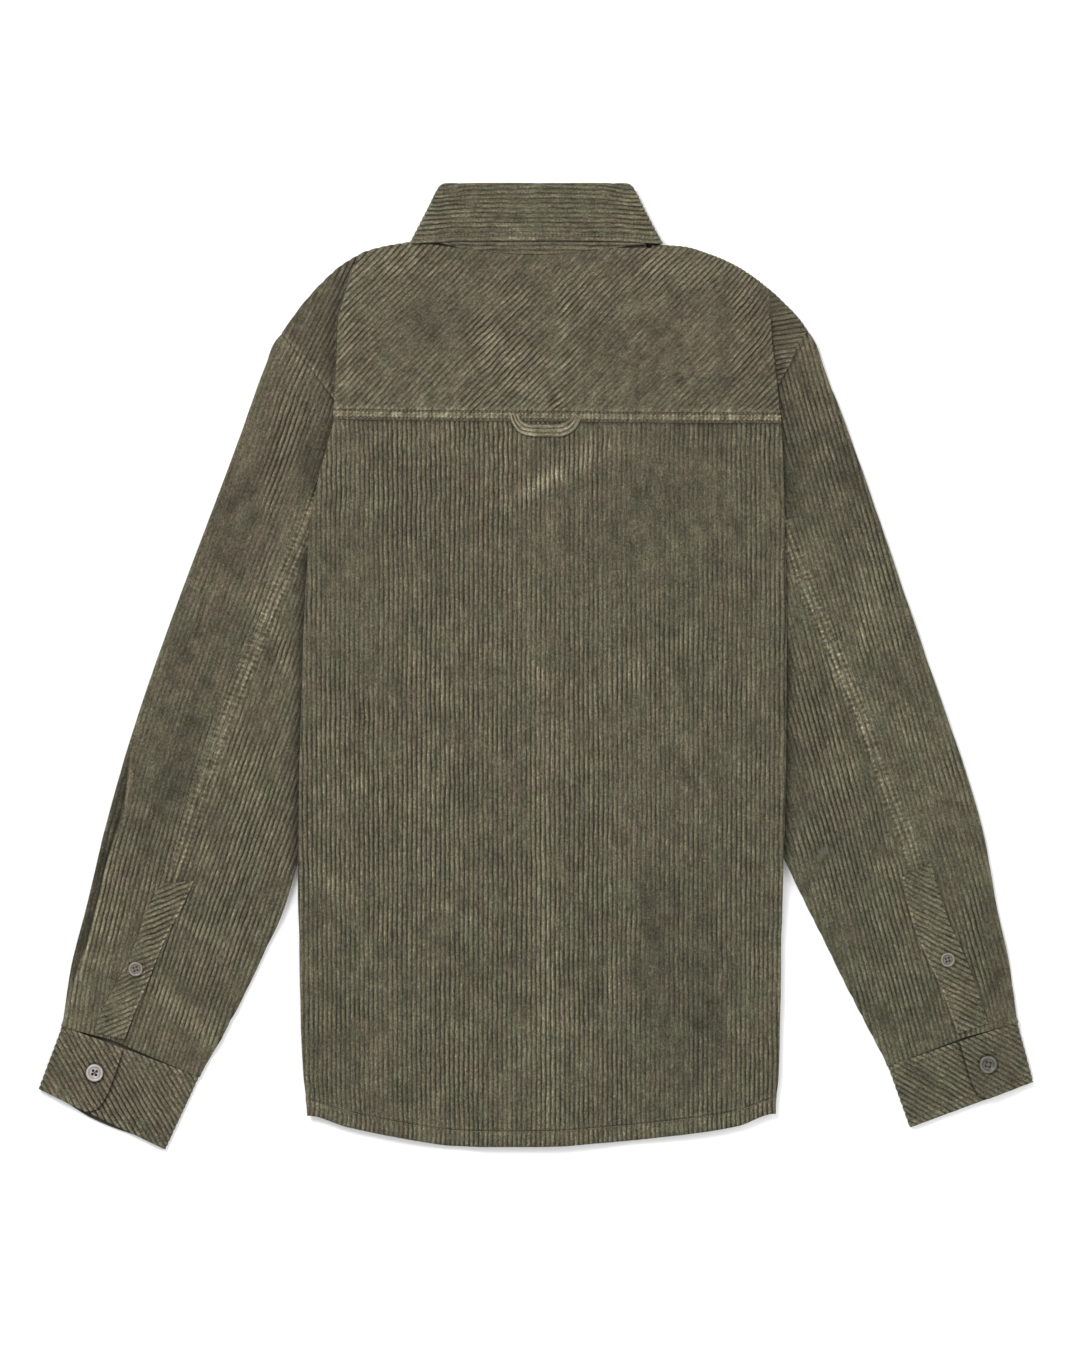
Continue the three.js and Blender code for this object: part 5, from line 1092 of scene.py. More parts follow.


# ------------------------------------------------------------------ materials
# channel: the colour deep between two ribs, the cloth's darker ground made darker still as painted shade
def corduroy(name, ridge=(0.1030, 0.0985, 0.0620), channel=(0.0168, 0.0149, 0.0100), brown=(0.1170, 0.0945, 0.0640), back=(0.080, 0.075, 0.054)):
    mat = bpy.data.materials.new(name)
    mat.use_nodes = True
    nt = mat.node_tree
    nd, ln = nt.nodes, nt.links
    nd.clear()
    out = nd.new("ShaderNodeOutputMaterial")
    bsdf = nd.new("ShaderNodeBsdfPrincipled")
    ln.new(bsdf.outputs[0], out.inputs[0])

    def attr(key):
        a = nd.new("ShaderNodeAttribute")
        a.attribute_name = key
        return a.outputs["Fac"]

    def m(op, a, b=None, clamp=False):
        k = nd.new("ShaderNodeMath")
        k.operation = op
        k.use_clamp = clamp
        for idx, v in enumerate((a, b)):
            if v is None:
                continue
            if isinstance(v, (int, float)):
                k.inputs[idx].default_value = v
            else:
                ln.new(v, k.inputs[idx])
        return k.outputs[0]

    def blend(a, b, fac, mode="MIX"):
        k = nd.new("ShaderNodeMix")
        k.data_type = "RGBA"
        k.blend_type = mode
        for idx, v in ((0, fac), (6, a), (7, b)):
            if isinstance(v, tuple):
                k.inputs[idx].default_value = (*v, 1)
            elif isinstance(v, (int, float)):
                k.inputs[idx].default_value = v
            else:
                ln.new(v, k.inputs[idx])
        return k.outputs[2]

    def noise_tex(vector, scale, detail, rough=0.55):
        k = nd.new("ShaderNodeTexNoise")
        k.noise_dimensions = "3D"
        k.inputs["Scale"].default_value = scale
        k.inputs["Detail"].default_value = detail
        k.inputs["Roughness"].default_value = rough
        ln.new(vector, k.inputs["Vector"])
        return k.outputs["Fac"]

    across, along, tone, pile = attr("across"), attr("along"), attr("tone"), attr("pile")
    keep, sd, ss, sw = attr("keep"), attr("sd"), attr("ss"), attr("sw")
    geo = nd.new("ShaderNodeNewGeometry")
    pos = geo.outputs["Position"]

    def xyz(a, b, z=None):
        c = nd.new("ShaderNodeCombineXYZ")
        ln.new(a, c.inputs[0])
        ln.new(b, c.inputs[1])
        if z is not None:
            ln.new(z, c.inputs[2])
        return c.outputs[0]

    def cloth_co(fa, fl, z=None):
        """cloth coordinates: ribs across and millimetres along, each scaled"""
        return xyz(m("MULTIPLY", across, fa), m("MULTIPLY", along, fl), z)

    def swing(tex, amount):
        """1 plus or minus: a noise turned into a multiplier"""
        return m("ADD", m("MULTIPLY", m("SUBTRACT", tex, 0.5), amount), 1.0)

    def bell(value, width):
        q = m("DIVIDE", value, width)
        return m("EXPONENT", m("MULTIPLY", m("MULTIPLY", q, q), -1.0))

    wobble = noise_tex(cloth_co(0.55, 0.085), 1.0, 3.0, 0.6)      # a rib wanders and swells
    w = m("ADD", across, m("MULTIPLY", m("SUBTRACT", wobble, 0.5), 0.40))
    c = m("COSINE", m("MULTIPLY", w, 2 * math.pi))
    height = m("SUBTRACT", 0.5, m("MULTIPLY", c, 0.5))            # 0 in the channel, 1 on the rib
    profile = m("POWER", height, 0.46)
    flat = noise_tex(cloth_co(0.16, 0.030), 1.0, 3.0, 0.6)        # where the pile is crushed, ribs fade
    fleck = noise_tex(cloth_co(0.9, 0.11), 1.0, 3.0, 0.6)
    hold = m("MULTIPLY", keep, m("MULTIPLY", swing(flat, 1.6), swing(fleck, 1.5)))
    hold = m("MINIMUM", m("MAXIMUM", hold, 0.05), 1.35)
    broad = m("ADD", m("MULTIPLY", m("SUBTRACT", profile, 0.70), hold), 0.70, clamp=True)
    rib_no = m("FLOOR", w)
    per_rib = noise_tex(xyz(m("MULTIPLY", rib_no, 7.31), m("MULTIPLY", along, 0.022)), 1.0, 2.0, 0.5)     # each rib has its own lightness
    streak = noise_tex(cloth_co(0.35, 0.035), 1.0, 3.0, 0.6)
    crush = noise_tex(cloth_co(1.9, 0.24), 1.0, 3.0, 0.7)         # tufts of a rib lying this way or that
    dash = noise_tex(cloth_co(3.2, 0.50), 1.0, 2.0, 0.7)
    grain = noise_tex(pos, 620.0, 3.0, 0.75)                      # single tufts
    blot = noise_tex(pos, 105.0, 3.0, 0.6)
    patch = noise_tex(cloth_co(0.22, 0.034, m("MULTIPLY", rib_no, 0.13)), 1.0, 4.0, 0.65)   # olive and brown areas
    hue = m("MULTIPLY", m("SUBTRACT", patch, 0.45), 5.0, clamp=True)
    area = noise_tex(pos, 38.0, 3.0, 0.6)
    hue = m("ADD", m("MULTIPLY", hue, 0.6), m("MULTIPLY", m("MULTIPLY", m("SUBTRACT", area, 0.42), 5.0, clamp=True), 0.34), clamp=True)
    hue = m("ADD", m("MULTIPLY", hue, 0.85), attr("warm"), clamp=True)          # warmer on the yoke and the left sleeve
    rib_colour = blend(ridge, brown, hue)
    hair = noise_tex(cloth_co(4.6, 0.09), 1.0, 2.0, 0.6)          # fine lines along the ribs
    # ribs over channels: the dark channel colour is partly the cloth's ground and partly painted shade
    col = blend(channel, rib_colour, broad)
    # painted highlight: a thin pale line along one flank of a rib, in runs, where light would catch it
    flank_highlight = m("COSINE", m("MULTIPLY", m("SUBTRACT", w, 0.34), 2 * math.pi))
    flank_highlight = m("POWER", m("MAXIMUM", flank_highlight, 0.0), 5.0)
    runs = m("MULTIPLY", m("SUBTRACT", noise_tex(xyz(m("MULTIPLY", rib_no, 3.17), m("MULTIPLY", along, 0.06)), 1.0, 2.0, 0.6), 0.44), 6.0, clamp=True)
    pale = m("MULTIPLY", m("MULTIPLY", flank_highlight, runs), m("MULTIPLY", hold, 0.55))
    light = m("MULTIPLY", swing(crush, 1.45), swing(per_rib, 0.75))
    light = m("MULTIPLY", light, swing(dash, 1.45))
    light = m("MULTIPLY", light, swing(streak, 0.40))
    light = m("MULTIPLY", light, swing(blot, 0.65))
    light = m("MULTIPLY", light, swing(hair, 1.3))
    light = m("MULTIPLY", light, swing(grain, 2.5))
    light = m("MAXIMUM", light, 0.22)
    light = m("MULTIPLY", light, m("ADD", pale, 0.97))
    light = m("MULTIPLY", light, m("POWER", tone, 1.25))
    # seams in painted light: dark needle holes in a row as painted shade, pale beads of cloth between them as painted
    # highlight, small gathers square to the row lighter and darker as painted light and shade
    shift = noise_tex(xyz(m("MULTIPLY", ss, 0.13), m("MULTIPLY", sd, 0.05)), 1.0, 2.0, 0.5)
    beat = m("COSINE", m("MULTIPLY", m("ADD", m("DIVIDE", ss, 3.55), m("MULTIPLY", shift, 1.6)), 2 * math.pi))
    bead = m("ADD", m("MULTIPLY", beat, 0.5), 0.5)
    row = m("MULTIPLY", bell(sd, 0.80), sw)
    band = m("MULTIPLY", m("ADD", bell(m("ADD", sd, 1.7), 1.35), m("MULTIPLY", bell(m("SUBTRACT", sd, 1.9), 1.2), 0.45)), sw)
    painted_gather_shade = noise_tex(xyz(m("MULTIPLY", ss, 0.36), m("MULTIPLY", sd, 0.10)), 1.0, 2.0, 0.6)
    tuck = m("POWER", bead, 1.6)
    seam = m("ADD", 0.95, m("MULTIPLY", m("MULTIPLY", band, m("ADD", m("MULTIPLY", tuck, 0.95), 0.15)), 1.0))
    seam = m("MULTIPLY", seam, m("SUBTRACT", 1.0, m("MULTIPLY", row, m("SUBTRACT", 0.46, m("MULTIPLY", bead, 0.32)))))
    seam = m("MULTIPLY", seam, m("ADD", 1.0, m("MULTIPLY", m("MULTIPLY", m("SUBTRACT", painted_gather_shade, 0.5), 1.5), m("MULTIPLY", bell(sd, 5.0), sw))))
    light = m("MULTIPLY", light, m("MAXIMUM", seam, 0.15))
    k = nd.new("ShaderNodeVectorMath")
    k.operation = "SCALE"
    ln.new(col, k.inputs[0])
    ln.new(light, k.inputs["Scale"])
    k2 = nd.new("ShaderNodeVectorMath")
    k2.operation = "SCALE"
    k2.inputs[0].default_value = back
    ln.new(tone, k2.inputs["Scale"])
    final = blend(k2.outputs[0], k.outputs[0], pile)
    ln.new(final, bsdf.inputs["Base Color"])
    bsdf.inputs["Roughness"].default_value = 0.93
    bsdf.inputs["Specular IOR Level"].default_value = 0.16
    bsdf.inputs["Sheen Weight"].default_value = 0.17
    bsdf.inputs["Sheen Roughness"].default_value = 0.45
    bsdf.inputs["Sheen Tint"].default_value = (0.80, 0.77, 0.60, 1)
    bump = nd.new("ShaderNodeBump")
    bump.inputs["Strength"].default_value = 0.85
    bump.inputs["Distance"].default_value = 0.0008
    hsum = m("ADD", m("MULTIPLY", m("MULTIPLY", height, hold), 0.55), m("ADD", m("MULTIPLY", crush, 0.8), m("ADD", m("MULTIPLY", dash, 0.6), m("MULTIPLY", grain, 0.7))))
    hsum = m("ADD", hsum, m("MULTIPLY", m("SUBTRACT", m("MULTIPLY", band, bead), row), 0.9))
    ln.new(hsum, bump.inputs["Height"])
    ln.new(bump.outputs[0], bsdf.inputs["Normal"])
    return mat


def plain(name, colour, rough, scale=600.0, spread=0.12, bump=0.15, spec=0.4, rings=()):
    mat = bpy.data.materials.new(name)
    mat.use_nodes = True
    nt = mat.node_tree
    bsdf = nt.nodes["Principled BSDF"]
    geo = nt.nodes.new("ShaderNodeNewGeometry")
    tex = nt.nodes.new("ShaderNodeTexNoise")
    tex.inputs["Scale"].default_value = scale
    tex.inputs["Detail"].default_value = 3
    nt.links.new(geo.outputs["Position"], tex.inputs["Vector"])
    ramp = nt.nodes.new("ShaderNodeMix")
    ramp.data_type = "RGBA"
    ramp.inputs[6].default_value = (*[c * (1 - spread) for c in colour], 1)
    ramp.inputs[7].default_value = (*[c * (1 + spread) for c in colour], 1)
    nt.links.new(tex.outputs["Fac"], ramp.inputs[0])
    shade = ramp.outputs[2]
    if rings:                                # rings painted on the button as light and shade of its dish and rim: radius and width in metres, how much lighter or darker
        co = nt.nodes.new("ShaderNodeTexCoord")
        flat = nt.nodes.new("ShaderNodeVectorMath")
        flat.operation = "MULTIPLY"
        flat.inputs[1].default_value = (1, 1, 0)
        nt.links.new(co.outputs["Object"], flat.inputs[0])
        size = nt.nodes.new("ShaderNodeVectorMath")
        size.operation = "LENGTH"
        nt.links.new(flat.outputs[0], size.inputs[0])
        for radius, width, amount in rings:
            steps = [("SUBTRACT", radius), ("DIVIDE", width), ("POWER", 2.0), ("MULTIPLY", -1.0), ("EXPONENT", None), ("MULTIPLY", amount), ("ADD", 1.0)]
            link = size.outputs["Value"]
            for op, value in steps:
                k = nt.nodes.new("ShaderNodeMath")
                k.operation = op
                nt.links.new(link, k.inputs[0])
                if value is not None:
                    k.inputs[1].default_value = value
                link = k.outputs[0]
            k = nt.nodes.new("ShaderNodeVectorMath")
            k.operation = "SCALE"
            nt.links.new(shade, k.inputs[0])
            nt.links.new(link, k.inputs["Scale"])
            shade = k.outputs[0]
    nt.links.new(shade, bsdf.inputs["Base Color"])
    bsdf.inputs["Roughness"].default_value = rough
    bsdf.inputs["Specular IOR Level"].default_value = spec
    if bump:
        b = nt.nodes.new("ShaderNodeBump")
        b.inputs["Strength"].default_value = bump
        b.inputs["Distance"].default_value = 0.0002
        nt.links.new(tex.outputs["Fac"], b.inputs["Height"])
        nt.links.new(b.outputs[0], bsdf.inputs["Normal"])
    return mat


CORD = corduroy("corduroy_olive")
THREAD = plain("thread_olive", (0.150, 0.140, 0.100), 0.75, 900.0, 0.25, 0.3, 0.25)
THREAD_DARK = plain("thread_dark", (0.040, 0.036, 0.026), 0.8, 900.0, 0.2, 0.2, 0.2)
HOLE = plain("hole_shadow", (0.016, 0.014, 0.010), 0.9, 900.0, 0.2, 0.1, 0.1)
# button rings: painted shade at the dish edge and outer rim, painted highlight on the rim top
BUTTON = plain("button_olive", (0.078, 0.069, 0.054), 0.38, 260.0, 0.22, 0.1, 0.5, rings=((0.0045, 0.0006, -0.5), (0.0064, 0.0007, 0.35), (0.0077, 0.0006, -0.6)))
BUTTON_PALE = plain("button_pale", (0.300, 0.270, 0.258), 0.34, 260.0, 0.18, 0.1, 0.55, rings=((0.0048, 0.0005, -0.45), (0.0062, 0.0006, 0.2), (0.0076, 0.0007, -0.75)))
BUTTON_SMALL = plain("button_olive_small", (0.138, 0.127, 0.101), 0.38, 260.0, 0.22, 0.1, 0.5, rings=((0.0036, 0.0005, -0.45), (0.0052, 0.0006, 0.3), (0.0063, 0.0005, -0.6)))


# ------------------------------------------------------------------ seam effects
def on_points(points):
    return [px(*q) for q in points]


YOKE_LINE = [(x, yoke_seam_y(x)) for x in (-240, -120, 0, 120, 240)]
SLEEVE_SEAM = {s: [(r[2], r[3]) for r in SLEEVE[s]] for s in ("left", "right")}
SLEEVE_OUT = {s: [(r[0], r[1]) for r in SLEEVE[s]] for s in ("left", "right")}
SLEEVE_IN = {s: [(r[4], r[5]) for r in SLEEVE[s]] for s in ("left", "right")}
HEM_LINE = [(x, y) for x, y in HEM]


def puckers(x, y, line, depth, reach, pitch, seed, side=0, offset=0.0):
    """small gathers square to a seam; side keeps them to one side of it"""
    d, s = to_line(x, y, line)
    d = d - offset
    if side:
        keep = soft((side * d + 0.8) / 1.6)
    else:
        keep = 1.0
    n1 = noise(s, d * 0.35, pitch * 0.55, seed)
    n2 = noise(s, d * 0.2, pitch * 1.3, seed + 1)
    return depth * np.exp(-(d / reach) ** 2) * keep * (0.7 * n1 + 0.5 * n2)


def groove(x, y, line, depth, width, offset=0.0):
    d, s = to_line(x, y, line)
    return -depth * np.exp(-((d - offset) / width) ** 2)


def facing_up(nrm):
    return soft((nrm[..., 2] - 0.1) / 0.5)


# ------------------------------------------------------------------ back body
def body_shape(x, y, p, nrm):
    up = facing_up(nrm) * (p[..., 2] > 4)
    d = creases("body", x, y)
    d = (d + 0.35 * noise(x, y, 46, 21, 1.6) + 0.16 * noise(x, y, 17, 22, 1.8)) * soft((yoke_seam_y(x) - y - 1) / 10)
    d = d + puckers(x, y, YOKE_LINE, 0.30, 12, 7.0, 23)
    for end, lift in ((-128, 1.5), (188, 0.6)):
        d = d + lift * np.exp(-((x - end) / 24) ** 2) * np.exp(-((y - yoke_seam_y(x) + 2) / 9) ** 2)
    d = d + puckers(x, y, HEM_LINE, 0.5, 16, 9.0, 24, offset=12)
    d = d + groove(x, y, HEM_LINE, 0.45, 1.5, offset=13.0)
    return d * up


def body_across(x, y, p, nrm):
    top = np.where((nrm[..., 2] > 0.2) & (p[..., 2] > 4), np.abs(x), 1e9)
    zero = top.argmin(axis=1)
    s = run_length(p, zero) + x[np.arange(len(zero)), zero][:, None]
    return s + 0.35 * noise(x, y, 37, 31, 2.2)


def body_tone(x, y, p, nrm):
    t = nap_and_painted_light(x, y)
    up = facing_up(nrm)
    # painted highlight along the folded side edges
    edge = np.minimum(np.abs(x - look(FOLD["left"], y)), np.abs(x - look(FOLD["right"], y)))
    t = t + 0.10 * np.exp(-(edge / 2.4) ** 2) * up
    # painted shadow: a dark line just below the yoke's raised edge
    t = t - 0.42 * np.exp(-((y - yoke_seam_y(x) + 0.8) / 1.5) ** 2)
    # the hem: a paler band and a pale line below the stitching as painted highlight, a dark line above it as painted
    # shade
    d, s = to_line(x, y, HEM_LINE)
    t = t + 0.13 * np.exp(-((d - 7) / 4.5) ** 2) - 0.24 * np.exp(-((d - 14.2) / 1.2) ** 2) + 0.26 * np.exp(-((d - 12.0) / 0.9) ** 2)
    # painted light and painted shade of the small gathers along the yoke seam
    d2, s2 = to_line(x, y, YOKE_LINE)
    t = t + 0.10 * noise(s2, d2 * 0.3, 4.5, 77) * np.exp(-(d2 / 9) ** 2)
    return t


body_rows = [3.0] + [5.5] * 12 + [3.0]
cloth("cloth_back_body", back_body_grid(), CORD, ["back_body"],
      row_step=body_rows, col_step=[6] * 5 + [0.9] * 3 + [0.86] * 13 + [0.9] * 3 + [6] * 5,
      up=(3, 12, 1), across=body_across, shape=body_shape, tone=body_tone, crisp=0.86, folds="body",
      seams=[(HEM_LINE, 13.6, 0.0, 0.8)],
      rib_zone=lambda x, y, p, nrm: soft(p[..., 2] - 4.0) * np.where(nrm[..., 2] > -0.4, 1.0, 0.0))


# ------------------------------------------------------------------ yoke
def yoke_shape(x, y, p, nrm):
    up = facing_up(nrm) * (p[..., 2] > 3)
    inside = soft((x - look(FOLD["left"], y) + 1) / 6) * soft((look(FOLD["right"], y) - x + 1) / 6)
    rel = y - yoke_seam_y(x)
    d = creases("yoke", x, y) * inside
    d = (d + 0.3 * noise(x, y, 40, 41) + 0.2 * noise(x, y, 15, 42)) * soft((rel - 1) / 12)
    d = d + 1.4 * np.exp(-((x + 86) / 14) ** 2) * np.exp(-((y - 355) / 6) ** 2)
    d = d + 0.7 * soft((12.5 - rel) / 3.0)                       # seam allowance under the edge
    d = d + 0.55 * np.exp(-((rel - 5.0) / 3.6) ** 2) * noise(x, rel * 0.3, 3.4, 43)
    d = d + 0.45 * np.exp(-((rel - 12.0) / 6.0) ** 2) * noise(x, rel * 0.2, 5.4, 44)
    d = d - 0.55 * np.exp(-((rel - 1.6) / 1.0) ** 2) - 0.60 * np.exp(-((rel - 8.0) / 1.0) ** 2)
    return d * up


def yoke_across(x, y, p, nrm):
    top = np.where((nrm[..., 2] > 0.2), np.abs(x), 1e9)
    zero = top.argmin(axis=1)
    s = run_length(p, zero) + x[np.arange(len(zero)), zero][:, None]
    # beyond the side folds the same cloth lies turned, so its ribs run another way
    out_l = soft((look(FOLD["left"], y) - x + 0.5) / 1.0)
    out_r = soft((x - look(FOLD["right"], y) + 0.5) / 1.0)
    ang = np.radians(45 + 3.0 * noise(x, y, 120, 51))
    base = -np.sin(np.radians(45)) * s + np.cos(np.radians(45)) * y
    base = base + 1.4 * noise(x, y, 70, 52) + 0.4 * noise(x, y, 22, 53)
    left = -math.sin(math.radians(63)) * x + math.cos(math.radians(63)) * y
    right = -math.sin(math.radians(12)) * x + math.cos(math.radians(12)) * y + 0.0016 * (x - 200) ** 2
    return mix(mix(base, left, out_l), right, out_r)


def yoke_tone(x, y, p, nrm):
    t = nap_and_painted_light(x, y)
    rel = y - yoke_seam_y(x)
    up = facing_up(nrm)
    # the stitched band at the yoke's lower edge: paler between and beside the stitch rows as painted highlight, dark
    # lines in the stitch grooves as painted shade, lighter and darker gathers as painted light and shade
    t = t + (0.16 * np.exp(-((rel - 4.8) / 2.6) ** 2) + 0.10 * np.exp(-((rel - 11) / 2.4) ** 2)) * up
    t = t - 0.30 * np.exp(-((rel - 1.4) / 0.9) ** 2) - 0.34 * np.exp(-((rel - 8.0) / 0.9) ** 2)
    t = t + 0.26 * noise(x, rel * 0.5, 3.2, 54) * np.exp(-((rel - 5.5) / 5.5) ** 2)
    # painted highlight along the side folds, painted shade on the turned cloth beyond them
    inside_l, inside_r = x - look(FOLD["left"], y), look(FOLD["right"], y) - x
    t = t + 0.26 * np.exp(-(inside_l / 2.0) ** 2) * (inside_l > -1) + 0.16 * np.exp(-(inside_r / 2.0) ** 2) * (inside_r > -1)
    t = t - 0.16 * soft(-inside_l / 3) - 0.06 * soft(-inside_r / 3)
    t = t - 0.26 * np.exp(-(np.maximum(-inside_l, 0) / 9) ** 2) * (inside_l < 0) - 0.16 * np.exp(-(np.maximum(-inside_r, 0) / 7) ** 2) * (inside_r < 0)
    # painted highlight along the armhole seam beyond the folds
    for side in ("left", "right"):
        arm = np.abs(x - np.vectorize(lambda q: arm_x(side, q))(y))
        t = t + 0.34 * np.exp(-((arm - 1.8) / 2.1) ** 2) * (y > 196) * (inside_l * inside_r < 0)
    return t


grid, panel_rows, neck_from, neck_to = yoke_grid()
NECK_RISE = [(-150, 0.8), (-125, 2.0), (-115, 2.9), (-106, 3.9), (-98, 5.2), (-86, 6.0), (-76, 5.4), (-66, 3.6), (-34, 2.0), (0, 0.9), (34, 2.0),
             (68, 3.5), (80, 3.6), (91, 2.8), (104, 2.0), (120, 2.0), (150, 0.8)]


def neck_rise(x):
    return float(np.interp(x, [r[0] for r in NECK_RISE], [r[1] for r in NECK_RISE]))


grid = [[(x, y + neck_rise(x) * soft((y - 322) / 28), z) for x, y, z in row] for row in grid]
cols = len(grid[0])


def yoke_active(i, j, kr, kc):
    return i < kr[panel_rows - 1] or j < kc[neck_from] or j >= kc[neck_to]


n_top = 13
col_steps = [1.3] * 5 + [0.9, 0.9, 0.9, 3, 6, 0.9, 0.9, 0.9, 0.9] + [1.22] * (n_top - 1) + [0.9, 0.9, 0.9, 0.9, 6, 3, 0.9, 0.9, 0.9] + [1.3] * 5
col_steps = col_steps[:cols - 1] + [1.3] * max(0, cols - 1 - len(col_steps))
cloth("cloth_yoke", grid, CORD, ["back_yoke"],
      row_step=[0.85, 0.95] + [1.3] * (panel_rows - 3) + [1.3] * 4 + [4] * 2,
      col_step=col_steps, up=(3, 20, 1), across=yoke_across, shape=yoke_shape, tone=yoke_tone, active=yoke_active,
      crisp=0.52, folds="yoke", seams=[(YOKE_LINE, 4.8, 3.2, 1.0)])


# ------------------------------------------------------------------ sleeves
def sleeve_piece(name):
    main, under = sleeve_grids(name)
    seam, outl, inl = SLEEVE_SEAM[name], SLEEVE_OUT[name], SLEEVE_IN[name]
    key = f"sleeve_{name}"
    sg = 1 if name == "left" else -1

    def shape(x, y, p, nrm):
        up = facing_up(nrm)
        d = creases(key, x, y) * up
        d = d + (0.4 * noise(x, y, 34, 61, 1.5) + 0.22 * noise(x, y, 13, 62, 1.5)) * up
        d = d + puckers(x, y, seam, 0.62, 7.5, 5.0, 63) * up
        d = d + groove(x, y, seam, 0.35, 1.1, offset=sg * 2.1) * up + groove(x, y, seam, 0.30, 1.1, offset=sg * 9.5) * up
        cuff_line = [(CUFF[name][0], CUFF[name][1]), (CUFF[name][2], CUFF[name][3])]
        d = d + puckers(x, y, cuff_line, 0.9, 16, 9.0, 64) * up
        e, run = to_line(x, y, cuff_line)
        d = d + (1.15 + 0.6 * noise(run, 0 * run, 6.0, 69)) * np.exp(-(e / 3.2) ** 2) * up
        return d

    def tone(x, y, p, nrm):
        t = nap_and_painted_light(x, y)
        up = facing_up(nrm)
        d, s = to_line(x, y, seam)
        # the sleeve seam: a pale band as painted highlight, dark lines along the seam and beside it as painted shade
        t = t + ((0.19 if name == "left" else 0.25) * np.exp(-(d / 6.2) ** 2) * (0.85 + 0.7 * noise(s, d, 5.0, 65)) - 0.13 * np.exp(-(d / 0.9) ** 2) * (0.8 + noise(s, d, 4.0, 64))
                 - 0.14 * np.exp(-((d - sg * 6.9) / 1.5) ** 2)) * up
        # painted highlight along the sleeve's outer folded edge
        d2, s2 = to_line(x, y, outl)
        t = t + 0.08 * np.exp(-(d2 / 4.0) ** 2)
        # the shadow beside the body's folded side
        out = (look(FOLD[name], y) - x) * sg
        high, low, wide = ((240, 140, 24.0), (100, -182, 7.0), 0.34) if name == "left" else ((252, 104, 14.0), (24, -166, 7.0), 0.30)
        for y1, y0, reach in (high, low):
            inside = soft((y1 + 14 - y) / 28) * soft((y - y0 + 14) / 28)
            t = t - (wide if reach > 8 else 0.44) * inside * np.exp(-(np.maximum(out, 0) / reach) ** 2) * up
        if name == "left":
            # painted highlight on a fold's ridge and painted shade on the strip beside it
            strip = on_points([(134, 735), (131, 755), (125, 809), (109, 860), (92.5, 930), (70, 1000), (66, 1024)])
            f, s4 = to_line(x, y, strip)
            beyond = px(60, 860)
            if to_line(np.array([beyond[0]]), np.array([beyond[1]]), strip)[0][0] < 0:
                f = -f
            inside = soft((s4 - 4) / 30) * soft((222 - s4) / 12)
            t = t + (0.46 * np.exp(-((f + 0.4) / 1.3) ** 2) - 0.36 * soft((f - 0.8) / 1.2) - 0.16 * np.exp(-((f - 2.2) / 1.4) ** 2)) * inside * up
        # painted shadow along the armhole seam with a painted highlight beside it, and runs lighter and darker along
        # the cuff seam as painted light and shade of its gathers
        arm = np.abs(x - np.vectorize(lambda q: arm_x(name, q))(y))
        t = t - 0.40 * np.exp(-(arm / 1.5) ** 2) * (y > 196) * up + 0.10 * np.exp(-((arm - 5) / 3.0) ** 2) * (y > 196) * up
        c = CUFF[name]
        e, s3 = to_line(x, y, [(c[0], c[1]), (c[2], c[3])])
        t = t + 0.05 * np.exp(-(e / 4.5) ** 2) * (0.8 + 1.6 * noise(s3, e, 6.0, 68))
        return t

    def across_main(x, y, p, nrm):
        d, s = to_line(x, y, outl)
        if name == "right":
            a = math.radians(-15.5)
            d = np.where(nrm[..., 2] >= 0, 1000 + x * math.cos(a) - y * math.sin(a), d)
        return np.where(nrm[..., 2] >= 0, np.abs(d), -np.abs(d)) + 0.5 * noise(x, y, 45, 66, 2.0)

    def across_under(x, y, p, nrm):
        lean = math.radians(19 if name == "left" else -15)
        return x * math.cos(lean) - y * math.sin(lean) + 1.2 * noise(x, y, 70, 67, 2.0)

    along = lambda x, y, p, nrm: to_line(x, y, outl)[1]
    rs = [3, 4.2] + [4.8] * 8 + [3.4, 3.4]
    seams = [(seam, sg * 0.3, 4.5, lambda run: 1.22 - 0.45 * soft((run - 200) / 200), 4.7)]
    cloth(f"cloth_{name}_sleeve_main", main, CORD, [f"{name}_sleeve_main"], row_step=rs[:len(main) - 1],
          col_step=[0.95] * 8 + [1.6] * 5, up=(5, 1, 1), across=across_main, along=along, shape=shape, tone=tone,
          crisp=0.46, seams=seams, folds=key)
    cloth(f"cloth_{name}_sleeve_under", under, CORD, [f"{name}_sleeve_under"], row_step=rs[:len(main) - 1],
          col_step=[0.95] * 9 + [1.6], up=(5, 2, 1), across=across_under, along=along, shape=shape, tone=tone,
          crisp=0.50, seams=seams, folds=key)


for name in ("left", "right"):
    sleeve_piece(name)


# ------------------------------------------------------------------ cuffs and plackets
def slant(degrees):
    a = math.radians(degrees)
    return lambda x, y, p, nrm: -math.sin(a) * x + math.cos(a) * y + 0.35 * noise(x, y, 18, 71)


